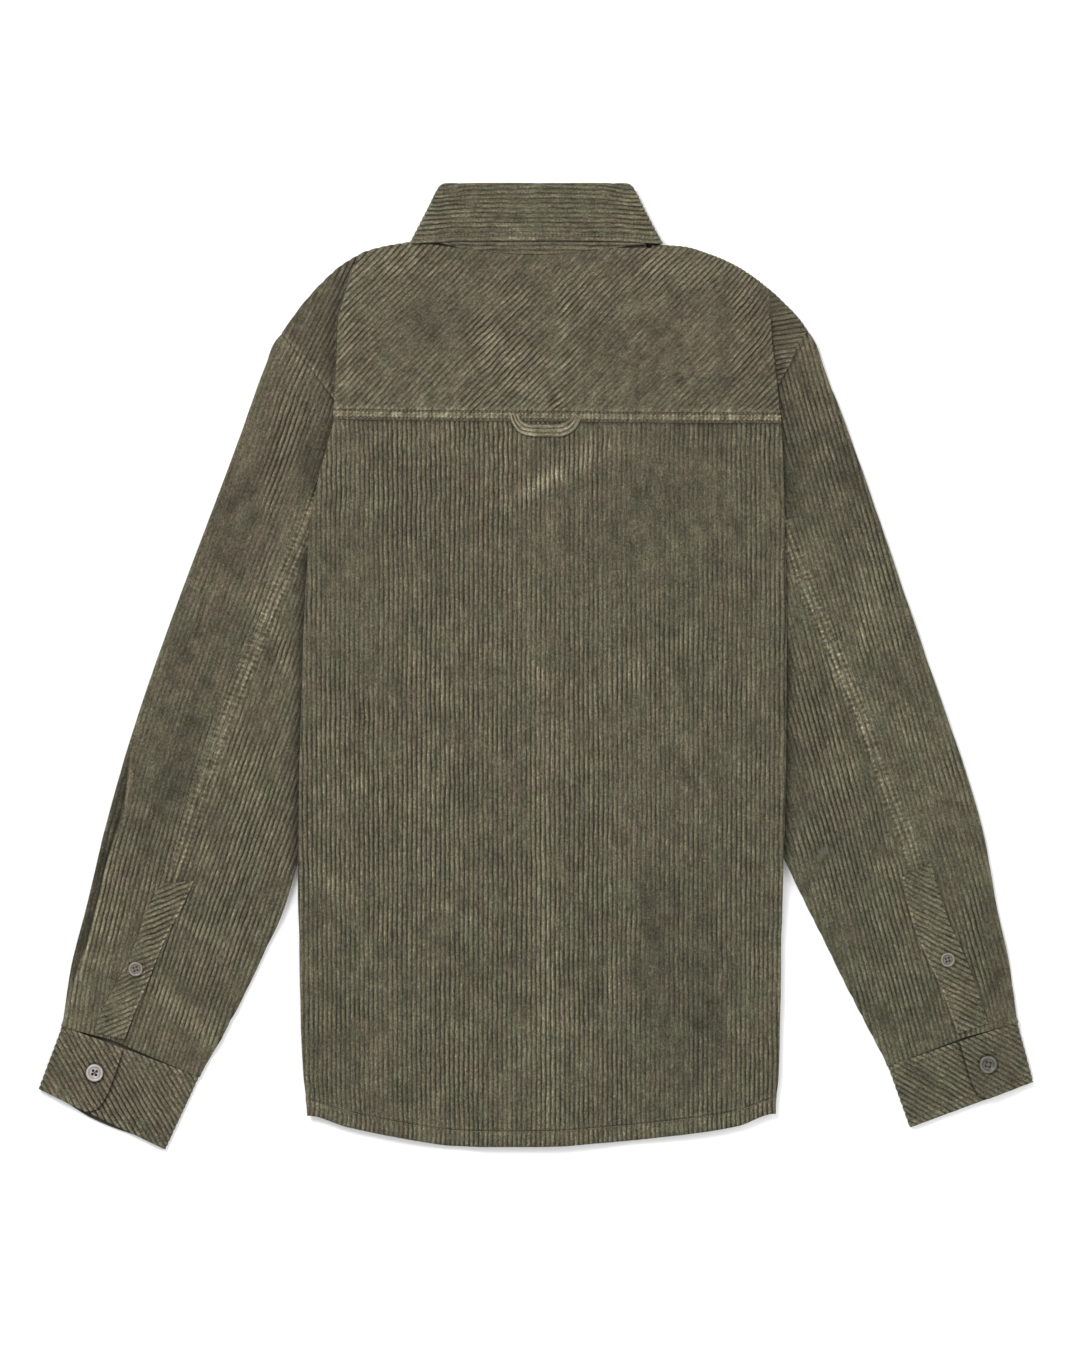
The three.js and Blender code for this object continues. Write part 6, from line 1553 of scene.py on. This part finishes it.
def cuff_tone(name):
    c = CUFF[name]
    seam = [(c[0], c[1]), (c[2], c[3])]
    edge = [(c[4], c[5]), (c[6], c[7])]

    def f(x, y, p, nrm):
        t = nap_and_painted_light(x, y)
        d, s = to_line(x, y, seam)
        e, s2 = to_line(x, y, edge)
        # painted highlight along the cuff's top and bottom edges and painted shade in their stitch grooves; lighter and
        # darker gathers by the seam as painted light and shade
        t = t + (0.26 + 0.2 * noise(s, d, 7.0, 71)) * np.exp(-((np.abs(d) - 0.6) / 2.4) ** 2) - 0.12 * np.exp(-((np.abs(d) - 5.5) / 0.9) ** 2)
        t = t + 0.10 * np.exp(-((np.abs(e) - 2) / 2.0) ** 2) - 0.18 * np.exp(-((np.abs(e) - 6.0) / 0.9) ** 2)
        t = t + 0.12 * noise(s, d, 4.0, 72) * np.exp(-(d / 6) ** 2)
        # painted shadow on the layer beneath, beside the lap edge, and a painted highlight along the upper layer's edge
        lap = [cuff_point(name, at, down) for down, at in CUFF_ROWS[name]]
        g, s3 = to_line(x, y, lap)
        g = g * (1 if name == "left" else -1)
        upper = p[..., 2] > (CUFF_MID + CUFF_HIGH) / 2
        t = t + np.where(upper, 0.14 * np.exp(-(g / 1.6) ** 2), -0.50 * np.exp(-(g / 1.7) ** 2))
        # painted shade: the lower layer, seen from inside under the cuff, set much darker
        low = p[..., 2] < CUFF_LOW + 0.8
        t = np.where(low, 0.42, t)
        # painted shadow: a dark ring on the cuff around the button
        bx, by = CB[name]
        away = np.hypot(x - bx, y - by)
        t = t - 0.36 * np.exp(-((away - 8.2) / 1.0) ** 2)
        return t
    return f


def cuff_shape(name):
    c = CUFF[name]
    seam = [(c[0], c[1]), (c[2], c[3])]
    edge = [(c[4], c[5]), (c[6], c[7])]

    def f(x, y, p, nrm):
        up = facing_up(nrm)
        d, s = to_line(x, y, seam)
        e, s2 = to_line(x, y, edge)
        v = creases(f"cuff_{name}", x, y) + 0.18 * noise(x, y, 16, 73)
        v = v - 0.30 * np.exp(-((np.abs(d) - 5.5) / 1.0) ** 2) - 0.30 * np.exp(-((np.abs(e) - 6.0) / 1.0) ** 2)
        v = v + 0.30 * noise(s, d, 5.0, 74) * np.exp(-(d / 8) ** 2) + 0.25 * noise(s2, e, 5.0, 75) * np.exp(-(e / 8) ** 2)
        return v * up
    return f


CB = {"left": (-375.1, -345.2), "right": (384.2, -338.2)}
CUFF_ANGLE = {"left": -60, "right": -30}
PLACKET_ANGLE = {"left": 23, "right": -27}
for name in ("left", "right"):
    cloth(f"cloth_{name}_cuff", cuff_grid(name), CORD, [f"{name}_cuff"], row_step=0.95,
          col_step=[0.95] * 4 + [0.9] * 4 + [1.6] * 5 + [0.9] * 4 + [1.1] * 5, up=(1, 2, 1), thick=CUFF_CLOTH,
          across=slant(CUFF_ANGLE[name]), along=slant(CUFF_ANGLE[name] + 90), shape=cuff_shape(name), tone=cuff_tone(name), crisp=0.90, folds=f"cuff_{name}",
          seams=[([(CUFF[name][0], CUFF[name][1]), (CUFF[name][2], CUFF[name][3])], -5.5 if name == "left" else 5.5, 0.0, 0.6),
                 ([(CUFF[name][4], CUFF[name][5]), (CUFF[name][6], CUFF[name][7])], 6.0 if name == "left" else -6.0, 0.0, 0.45)])
    t = PLACKET[name]
    open_edge, sewn_edge = [(r[0], r[1]) for r in t], [(r[2], r[3]) for r in t]

    def placket_shape(x, y, p, nrm, a=open_edge, b=sewn_edge):
        d1, s1 = to_line(x, y, a)
        d2, s2 = to_line(x, y, b)
        v = 0.15 * noise(x, y, 12, 81)
        for d, s in ((np.abs(d1), s1), (np.abs(d2), s2)):
            v = v - 0.40 * np.exp(-((d - 2.6) / 0.9) ** 2) - 0.5 * np.exp(-(d / 0.9) ** 2) + 0.22 * noise(s, d, 4.0, 82) * np.exp(-(d / 4) ** 2)
        return v

    def placket_tone(x, y, p, nrm, a=open_edge, b=sewn_edge):
        d1, s1 = to_line(x, y, a)
        d2, s2 = to_line(x, y, b)
        # lighter overall and along the opening edge as painted highlight, darker at the stitch rows as painted shade
        v = nap_and_painted_light(x, y) + 0.04
        v = v + 0.20 * np.exp(-((np.abs(d1) - 0.8) / 1.2) ** 2) - 0.14 * np.exp(-((np.abs(d1) - 2.8) / 0.8) ** 2)
        v = v + 0.06 * np.exp(-((np.abs(d2) - 0.8) / 1.2) ** 2) - 0.06 * np.exp(-((np.abs(d2) - 2.8) / 0.8) ** 2)
        return v + 0.06 + 0.10 * noise(s1, d1, 3.0, 84, 1.0)

    cloth(f"cloth_{name}_placket", placket_grid(name), CORD, [f"{name}_sleeve_placket"], row_step=0.95,
          col_step=0.95, up=(2, 2, 1), across=slant(PLACKET_ANGLE[name]), along=slant(PLACKET_ANGLE[name] + 90),
          shape=placket_shape, tone=placket_tone, crisp=0.74, wander=1.5,
          seams=[(open_edge, 0.0, 2.6, 0.45), (sewn_edge, 0.0, 2.6, 0.15)])

# ------------------------------------------------------------------ collar
stand_grid, leaf_grid = collar_grids()
for row in stand_grid:                       # the stand starts at the neck seam
    for k, share in ((0, 1.0), (1, 0.5)):
        x, y, z = row[k]
        if z > 6:
            row[k] = (x, y + share * neck_rise(x), z)
for row in leaf_grid:                        # the fall reaches down over the neck seam at its two ends
    for k in range(5, 9):
        x, y, z = row[k]
        if z > 6:
            reach = 0.8 * soft((abs(x) - 76) / 18)
            row[k] = (x, y - reach * (k - 5) / 3, z)
LEAF_EDGE = [(-102, 359.9), (-74, 361), (-37, 361.6), (0, 361.7), (37, 361.6), (74, 361), (102, 359.9)]


def leaf_across(x, y, p, nrm):
    rows = p.shape[0]
    d = np.linalg.norm(np.diff(p, axis=1), axis=2)
    s = np.concatenate([np.zeros((rows, 1)), np.cumsum(d, axis=1)], axis=1)
    s = s[:, -1:] - s                       # from the free edge back over the roll
    return s - 0.00042 * x * x * soft(s / 30) + 0.35 * noise(x, y, 26, 91) + 0.6


def leaf_shape(x, y, p, nrm):
    up = facing_up(nrm)
    d, s = to_line(x, y, LEAF_EDGE)
    v = 0.20 * noise(x, y, 26, 92) - 0.40 * np.exp(-((np.abs(d) - 4.6) / 1.0) ** 2)
    tip = np.exp(-(((x - 104) / 13) ** 2 + ((y - 360) / 9) ** 2)) * 1.6
    return (v + tip) * up


def leaf_tone(x, y, p, nrm):
    d, s = to_line(x, y, LEAF_EDGE)
    t = nap_and_painted_light(x, y) + 0.13 * noise(x, y, 5.0, 97, 0.16) + 0.08 * noise(x, y, 2.6, 98, 0.12)
    # a pale beaded line at the stitching as painted highlight, a dark line beside it as painted shade
    t = t + 0.28 * np.exp(-((np.abs(d) - 4.4) / 0.9) ** 2) * (0.75 + 0.4 * noise(s, d, 3.0, 93)) - 0.15 * np.exp(-((np.abs(d) - 6.4) / 0.8) ** 2)
    return t


cloth("cloth_collar_leaf", leaf_grid, CORD, ["collar_leaf"], row_step=3.0,
      col_step=[0.9] + [0.8] * 4 + [0.85] * 3, up=(11, 7, 1), across=leaf_across, along=lambda x, y, p, nrm: x,
      shape=leaf_shape, tone=leaf_tone, crisp=0.64, seams=[(LEAF_EDGE, 4.6, 0.0, 0.85)])
cloth("cloth_collar_stand", stand_grid, CORD, ["collar_stand"], row_step=3.0, col_step=0.9, up=(12, 1, 1),
      across=lambda x, y, p, nrm: y + 1.2, along=lambda x, y, p, nrm: x, tone=lambda x, y, p, nrm: nap_and_painted_light(x, y) + 0.02)


# ------------------------------------------------------------------ locker loop
def loop_across(x, y, p, nrm):
    n, m = x.shape
    return np.tile(np.linspace(0, 3 * WALE, m), (n, 1))


cloth("cloth_locker_loop", loop_grid(), CORD, ["locker_loop"], row_step=1.0, col_step=0.55, up=(3, 1, 1),
      across=loop_across, along=lambda x, y, p, nrm: x, tone=lambda x, y, p, nrm: 1.52 + 0.24 * noise(x, y, 3, 95), inner=3, crisp=0.85)


# ------------------------------------------------------------------ fronts, underneath
def front_shape(name):
    def f(x, y, p, nrm):
        down = soft((-nrm[..., 2] - 0.3) / 0.5)
        d = -0.25 * np.abs(noise(x, y, 50, 101, 1.6)) - 0.35 * soft(noise(x, y, 30, 102, 2.4) - 0.3)
        s = SIGN[name]
        edge = np.abs(x + s * FRONT_OVERLAP)
        d = d - 0.35 * np.exp(-((edge - 6) / 1.0) ** 2) - 0.35 * np.exp(-((edge - 33) / 1.0) ** 2)
        return d * down
    return f


def front_across(x, y, p, nrm):
    low = np.where(p[..., 2] < 8, np.abs(x), 1e9)
    zero = low.argmin(axis=1)
    return run_length(p, zero) + x[np.arange(len(zero)), zero][:, None] + 0.35 * noise(x, y, 37, 103, 2.2)


def front_tone(name):
    def f(x, y, p, nrm):
        edge = np.abs(x + SIGN[name] * FRONT_OVERLAP)
        t = 1.0 + 0.07 * noise(x, y, 40, 104, 1.8) + 0.06 * noise(x, y, 14, 105)
        # painted highlight along the front's folded edge and painted shade at its two stitch rows
        t = t + 0.10 * np.exp(-(edge / 2.5) ** 2) - 0.16 * np.exp(-((edge - 6) / 1.0) ** 2) - 0.16 * np.exp(-((edge - 33) / 1.0) ** 2)
        return t
    return f


for name in ("left", "right"):
    cloth(f"cloth_{name}_front", front_grid(name), CORD, [f"{name}_front"], row_step=7.0,
          col_step=[6, 3, 3, 0.9, 0.9, 0.9, 0.9] + [1.02] * 8, up=(10, 10, -1), across=front_across,
          shape=front_shape(name), tone=front_tone(name))


# ------------------------------------------------------------------ buttons
def button_mesh(name, diameter, thick, material, thread):
    """a turned button: rounded rim, dished middle, four drilled holes, crossed threads"""
    r = diameter / 2
    prof = [(0, 0.50), (0.46, 0.50), (0.58, 0.56), (0.66, 0.80), (0.74, 0.96), (0.83, 1.0), (0.92, 0.95), (0.985, 0.80),
            (1.0, 0.58), (0.985, 0.34), (0.92, 0.14), (0.80, 0.03), (0.6, 0.0), (0, 0.0)]
    bm = bmesh.new()
    seg = 56
    rings = []
    for q, h in prof:
        if q == 0:
            rings.append([bm.verts.new((0, 0, h * thick * MM))])
        else:
            rings.append([bm.verts.new((q * r * MM * math.cos(2 * math.pi * k / seg), q * r * MM * math.sin(2 * math.pi * k / seg), h * thick * MM)) for k in range(seg)])
    for a, b in zip(rings, rings[1:]):
        for k in range(seg):
            k2 = (k + 1) % seg
            if len(a) == 1:
                bm.faces.new((a[0], b[k], b[k2]))
            elif len(b) == 1:
                bm.faces.new((a[k], b[0], a[k2]))
            else:
                bm.faces.new((a[k], b[k], b[k2], a[k2]))
    bmesh.ops.recalc_face_normals(bm, faces=bm.faces)
    me = bpy.data.meshes.new(name)
    bm.to_mesh(me)
    bm.free()
    body = bpy.data.objects.new(name + "_body", me)
    bpy.context.scene.collection.objects.link(body)
    cutters = []
    hole = 0.285 * r * MM
    wide = 0.165
    for k in range(4):
        a = math.pi / 4 + k * math.pi / 2
        cb = bmesh.new()
        bmesh.ops.create_cone(cb, cap_ends=True, segments=20, radius1=wide * r * MM, radius2=wide * r * MM, depth=thick * 3 * MM)
        for v in cb.verts:
            v.co.x += hole * math.cos(a)
            v.co.y += hole * math.sin(a)
            v.co.z += thick / 2 * MM
        cme = bpy.data.meshes.new("hole")
        cb.to_mesh(cme)
        cb.free()
        co = bpy.data.objects.new("hole", cme)
        bpy.context.scene.collection.objects.link(co)
        cutters.append(co)
        mod = body.modifiers.new("cut", "BOOLEAN")
        mod.operation = "DIFFERENCE"
        mod.solver = "EXACT"
        mod.object = co
    bpy.context.view_layer.update()
    dg = bpy.context.evaluated_depsgraph_get()
    done = bpy.data.meshes.new_from_object(body.evaluated_get(dg))
    for co in cutters:
        bpy.data.objects.remove(co)
    bpy.data.objects.remove(body)
    done.materials.clear()
    done.materials.append(material)
    done.materials.append(thread)
    done.materials.append(HOLE)
    bm = bmesh.new()
    bm.from_mesh(done)
    for k in range(4):                       # the dark inside of each hole
        a = math.pi / 4 + k * math.pi / 2
        plug = [[bm.verts.new((hole * math.cos(a) + 1.05 * wide * r * MM * math.cos(2 * math.pi * q / 20),
                               hole * math.sin(a) + 1.05 * wide * r * MM * math.sin(2 * math.pi * q / 20), h * thick * MM)) for q in range(20)] for h in (0.30, 0.20)]
        sides = [(plug[0][q], plug[1][q], plug[1][(q + 1) % 20], plug[0][(q + 1) % 20]) for q in range(20)]
        for corners in [plug[0], plug[1][::-1]] + sides:
            bm.faces.new(corners).material_index = 2
    # thread crossing from hole to hole
    for k in range(2):
        a = math.pi / 4 + k * math.pi / 2
        ux, uy = math.cos(a), math.sin(a)
        vx, vy = -uy, ux
        half = hole * 1.02
        w = 0.040 * r * MM
        z0 = 0.48 * thick * MM
        ring_prev = None
        for t in np.linspace(-1, 1, 9):
            lift = (1 - t * t) * 0.10 * thick * MM + (0.03 * thick * MM if k else 0)
            zc = z0 + lift - (0.14 * thick * MM if abs(t) > 0.95 else 0)
            ring = []
            for q in range(6):
                b = 2 * math.pi * q / 6
                ring.append(bm.verts.new((ux * t * half + vx * w * math.cos(b), uy * t * half + vy * w * math.cos(b), zc + w * math.sin(b))))
            if ring_prev:
                for q in range(6):
                    f = bm.faces.new((ring_prev[q], ring_prev[(q + 1) % 6], ring[(q + 1) % 6], ring[q]))
                    f.material_index = 1
                    f.smooth = True
            else:
                f = bm.faces.new(ring[::-1])
                f.material_index = 1
            ring_prev = ring
        f = bm.faces.new(ring_prev)
        f.material_index = 1
    bm.to_mesh(done)
    bm.free()
    done.name = name
    for poly in done.polygons:
        poly.use_smooth = True
    try:
        done.set_sharp_from_angle(angle=math.radians(38))
    except AttributeError:
        pass
    return done


def place_button(name, mesh, x, y, z, turn, node, tilt=(0, 0)):
    ob = bpy.data.objects.new(name, mesh)
    ob.location = ((x + SHIFT[0]) * MM, (y + SHIFT[1]) * MM, z * MM)
    ob.rotation_euler = (tilt[0], tilt[1], turn)
    bpy.context.scene.collection.objects.link(ob)
    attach(ob, "root")
    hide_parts(node)
    return ob


big = button_mesh("button_big", 15.2, BUTTON_THICK, BUTTON, THREAD)
pale = button_mesh("button_pale", 15.2, BUTTON_THICK, BUTTON_PALE, THREAD_DARK)
small = button_mesh("button_small", 12.5, BUTTON_THICK, BUTTON_SMALL, THREAD)
PB = {"left": (-340.2, -257), "right": (349.7, -249.1)}
for name in ("left", "right"):
    x, y = PB[name]
    place_button(f"{name}_placket_button_shown", small, x, y, placket_z(name, x, y, 3, 7) + HALF + 0.35, 0.3, f"{name}_placket_button")
    x, y = CB[name]
    place_button(f"{name}_cuff_button_shown", pale if name == "left" else big, x, y, CUFF_HIGH + CUFF_CLOTH / 2 + 0.1, -0.2,
                 f"{name}_cuff_button")
for label, y in FRONT_BUTTONS:
    ob = place_button(label + "_shown", big, 0, y, BUTTON_THICK, 0, label, tilt=(math.pi, 0))


# ------------------------------------------------------------------ stitching
def surface_z(piece, points):
    o = PIECES[piece]["outer"].reshape(-1, 3)
    n = PIECES[piece]["nrm"].reshape(-1, 3)
    o = o[n[:, 2] > 0.3]
    out = []
    for q in points:
        d = (o[:, 0] - q[0]) ** 2 + (o[:, 1] - q[1]) ** 2
        near = np.argpartition(d, 8)[:8]
        out.append(o[near, 2].max())
    return np.array(out)


STITCH = {"verts": [], "faces": []}


def stitch_row(piece, line, offset=0.0, pitch=3.4, length=2.3, width=0.62, lift=0.12, seed=1, skip=()):
    line = np.asarray(line, float)
    seg = np.hypot(*np.diff(line, axis=0).T)
    total = seg.sum()
    cum = np.concatenate([[0], np.cumsum(seg)])
    rng = np.random.RandomState(seed)
    at = np.arange(1.0, total - 1.0, pitch)
    at = at + rng.uniform(-0.25, 0.25, len(at))
    k = np.clip(np.searchsorted(cum, at) - 1, 0, len(seg) - 1)
    t = (at - cum[k]) / seg[k]
    a, b = line[k], line[k + 1]
    u = (b - a) / seg[k][:, None]
    v = np.stack([-u[:, 1], u[:, 0]], 1)
    c = a + (b - a) * t[:, None] + v * offset
    z = surface_z(piece, c)
    for i in range(len(c)):
        if any(s0 <= at[i] <= s1 for s0, s1 in skip):
            continue
        turn = rng.uniform(-0.10, 0.10)
        ux, uy = u[i, 0] * math.cos(turn) - u[i, 1] * math.sin(turn), u[i, 0] * math.sin(turn) + u[i, 1] * math.cos(turn)
        vx, vy = -uy, ux
        base = len(STITCH["verts"])
        half = length / 2
        for f, w, h in ((-1, 0.25, -0.30), (-0.55, 1, 0.02), (0.55, 1, 0.02), (1, 0.25, -0.30)):
            for q in range(5):
                ang = 2 * math.pi * q / 5 + math.pi / 2
                STITCH["verts"].append((c[i, 0] + ux * f * half + vx * width / 2 * w * math.cos(ang),
                                        c[i, 1] + uy * f * half + vy * width / 2 * w * math.cos(ang),
                                        z[i] + lift + h + width * 0.4 * w * math.sin(ang)))
        for r in range(3):
            for q in range(5):
                q2 = (q + 1) % 5
                STITCH["faces"].append((base + r * 5 + q, base + r * 5 + q2, base + (r + 1) * 5 + q2, base + (r + 1) * 5 + q))
        STITCH["faces"].append(tuple(base + q for q in range(5))[::-1])
        STITCH["faces"].append(tuple(base + 15 + q for q in range(5)))


def finish_stitches(name, material=THREAD):
    ob = mesh_object(name, STITCH["verts"], STITCH["faces"], material)
    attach(ob, "root")
    STITCH["verts"], STITCH["faces"] = [], []
    return ob


yl = [(x, yoke_seam_y(x)) for x in np.linspace(-170, 206, 12)]
stitch_row("cloth_yoke", yl, offset=1.6, seed=1)
stitch_row("cloth_yoke", yl, offset=8.0, seed=2)
yoke_stitch = finish_stitches("stitching_yoke")
hl = [(x, hem_y(x)) for x in np.linspace(-190, 200, 24)]
stitch_row("cloth_back_body", hl, offset=13.0, seed=3)
hem_stitch = finish_stitches("stitching_hem")
stitches = {}
for name in ("left", "right"):
    line = SLEEVE_SEAM[name][1 if name == "left" else 2:-2]
    if name == "left":
        line = [(x, y) for x, y in line if y < 130]
    else:
        line = [(x, y) for x, y in line if y < 110]
    stitch_row(f"cloth_{name}_sleeve_main" , line, offset=(-2.1 if name == "left" else 2.1), seed=5)
    stitch_row(f"cloth_{name}_sleeve_main" , line, offset=(-9.5 if name == "left" else 9.5), seed=6)
    stitches[name] = finish_stitches(f"stitching_{name}_sleeve")
    c = CUFF[name]
    for a, b, off in (((c[0], c[1]), (c[2], c[3]), 5.5), ((c[4], c[5]), (c[6], c[7]), -6.0)):
        d = (b[0] - a[0], b[1] - a[1])
        stop = 0.95
        q = [(a[0] + d[0] * 0.05, a[1] + d[1] * 0.05), (a[0] + d[0] * stop, a[1] + d[1] * stop)]
        stitch_row(f"cloth_{name}_cuff", q, offset=-off if name == "left" else off, pitch=3.2, length=2.1, width=0.5, seed=7)
    stitches[name + "_cuff"] = finish_stitches(f"stitching_{name}_cuff")
    t = PLACKET[name]
    for cols_, off in (((0, 1), -2.6), ((2, 3), 2.6)):
        stitch_row(f"cloth_{name}_placket", [(r[cols_[0]], r[cols_[1]]) for r in t], offset=off if name == "left" else -off, pitch=3.2, length=2.1, width=0.5, seed=8)
    top = t[0]
    stitch_row(f"cloth_{name}_placket", [(top[0], top[1] - 4), (top[2], top[3] - 4)], pitch=3.2, length=2.1, width=0.5, seed=9)
    stitch_row(f"cloth_{name}_placket", [(t[1][0], t[1][1]), (t[1][2], t[1][3])], pitch=3.2, length=2.1, width=0.5, seed=10)
    stitches[name + "_placket"] = finish_stitches(f"stitching_{name}_placket")
cl = [(x, y) for x, y in LEAF_EDGE]
stitch_row("cloth_collar_leaf", cl, offset=4.6, pitch=3.0, length=2.2, width=0.6, seed=11)
collar_stitch = finish_stitches("stitching_collar")

# ------------------------------------------------------------------ floor, light, camera
me = bpy.data.meshes.new("floor")
me.from_pydata([(-6, -6, 0), (6, -6, 0), (6, 6, 0), (-6, 6, 0)], [], [(0, 1, 2, 3)])
floor = bpy.data.objects.new("floor", me)
floor.location.z = -0.0004
bpy.context.scene.collection.objects.link(floor)
me.materials.append(plain("floor_pale", (0.90, 0.90, 0.90), 0.9, 40.0, 0.004, 0.0, 0.05))
floor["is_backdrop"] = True


def area_light(name, location, target, size, power, colour=(1, 1, 1)):
    data = bpy.data.lights.new(name, "AREA")
    data.shape = "SQUARE"
    data.size = size
    data.energy = power
    data.color = colour
    ob = bpy.data.objects.new(name, data)
    ob.location = location
    d = np.array(target, float) - np.array(location, float)
    d /= np.linalg.norm(d)
    ob.rotation_euler = Vector(d).to_track_quat("-Z", "Y").to_euler()
    bpy.context.scene.collection.objects.link(ob)
    return ob


area_light("key", (-1.05, 1.25, 2.1), (0, 0, 0), 1.2, 67)
area_light("fill", (1.9, 0.6, 2.2), (0, 0, 0), 1.8, 30)
area_light("low_fill", (0.2, -2.2, 2.0), (0, 0, 0), 1.8, 30)
world = bpy.data.worlds.new("studio")
bpy.context.scene.world = world
world.use_nodes = True
bg = world.node_tree.nodes["Background"]
bg.inputs[0].default_value = (1, 1, 1, 1)
bg.inputs[1].default_value = 0.52

cam_data = bpy.data.cameras.new("camera")
cam = bpy.data.objects.new("camera", cam_data)
bpy.context.scene.collection.objects.link(cam)
DISTANCE = 4.0
cx, cy = (540 - 536) * 0.85 + SHIFT[0], (666.5 - 675) * 0.85 + SHIFT[1]
cam.location = (cx * MM, cy * MM, DISTANCE + 0.008)
cam.rotation_euler = (0, 0, 0)
cam_data.sensor_width = 36
cam_data.lens = 36 * DISTANCE / (1350 * 0.85 * MM)
cam_data.clip_end = 50
bpy.context.scene.camera = cam
bpy.context.scene.view_settings.view_transform = "Standard"
bpy.context.scene.view_settings.look = "None"

bpy.context.view_layer.update()
{"cad": [list(map(float, v)) for v in CAD_BOX], "visual": [list(map(float, v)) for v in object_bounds()]}
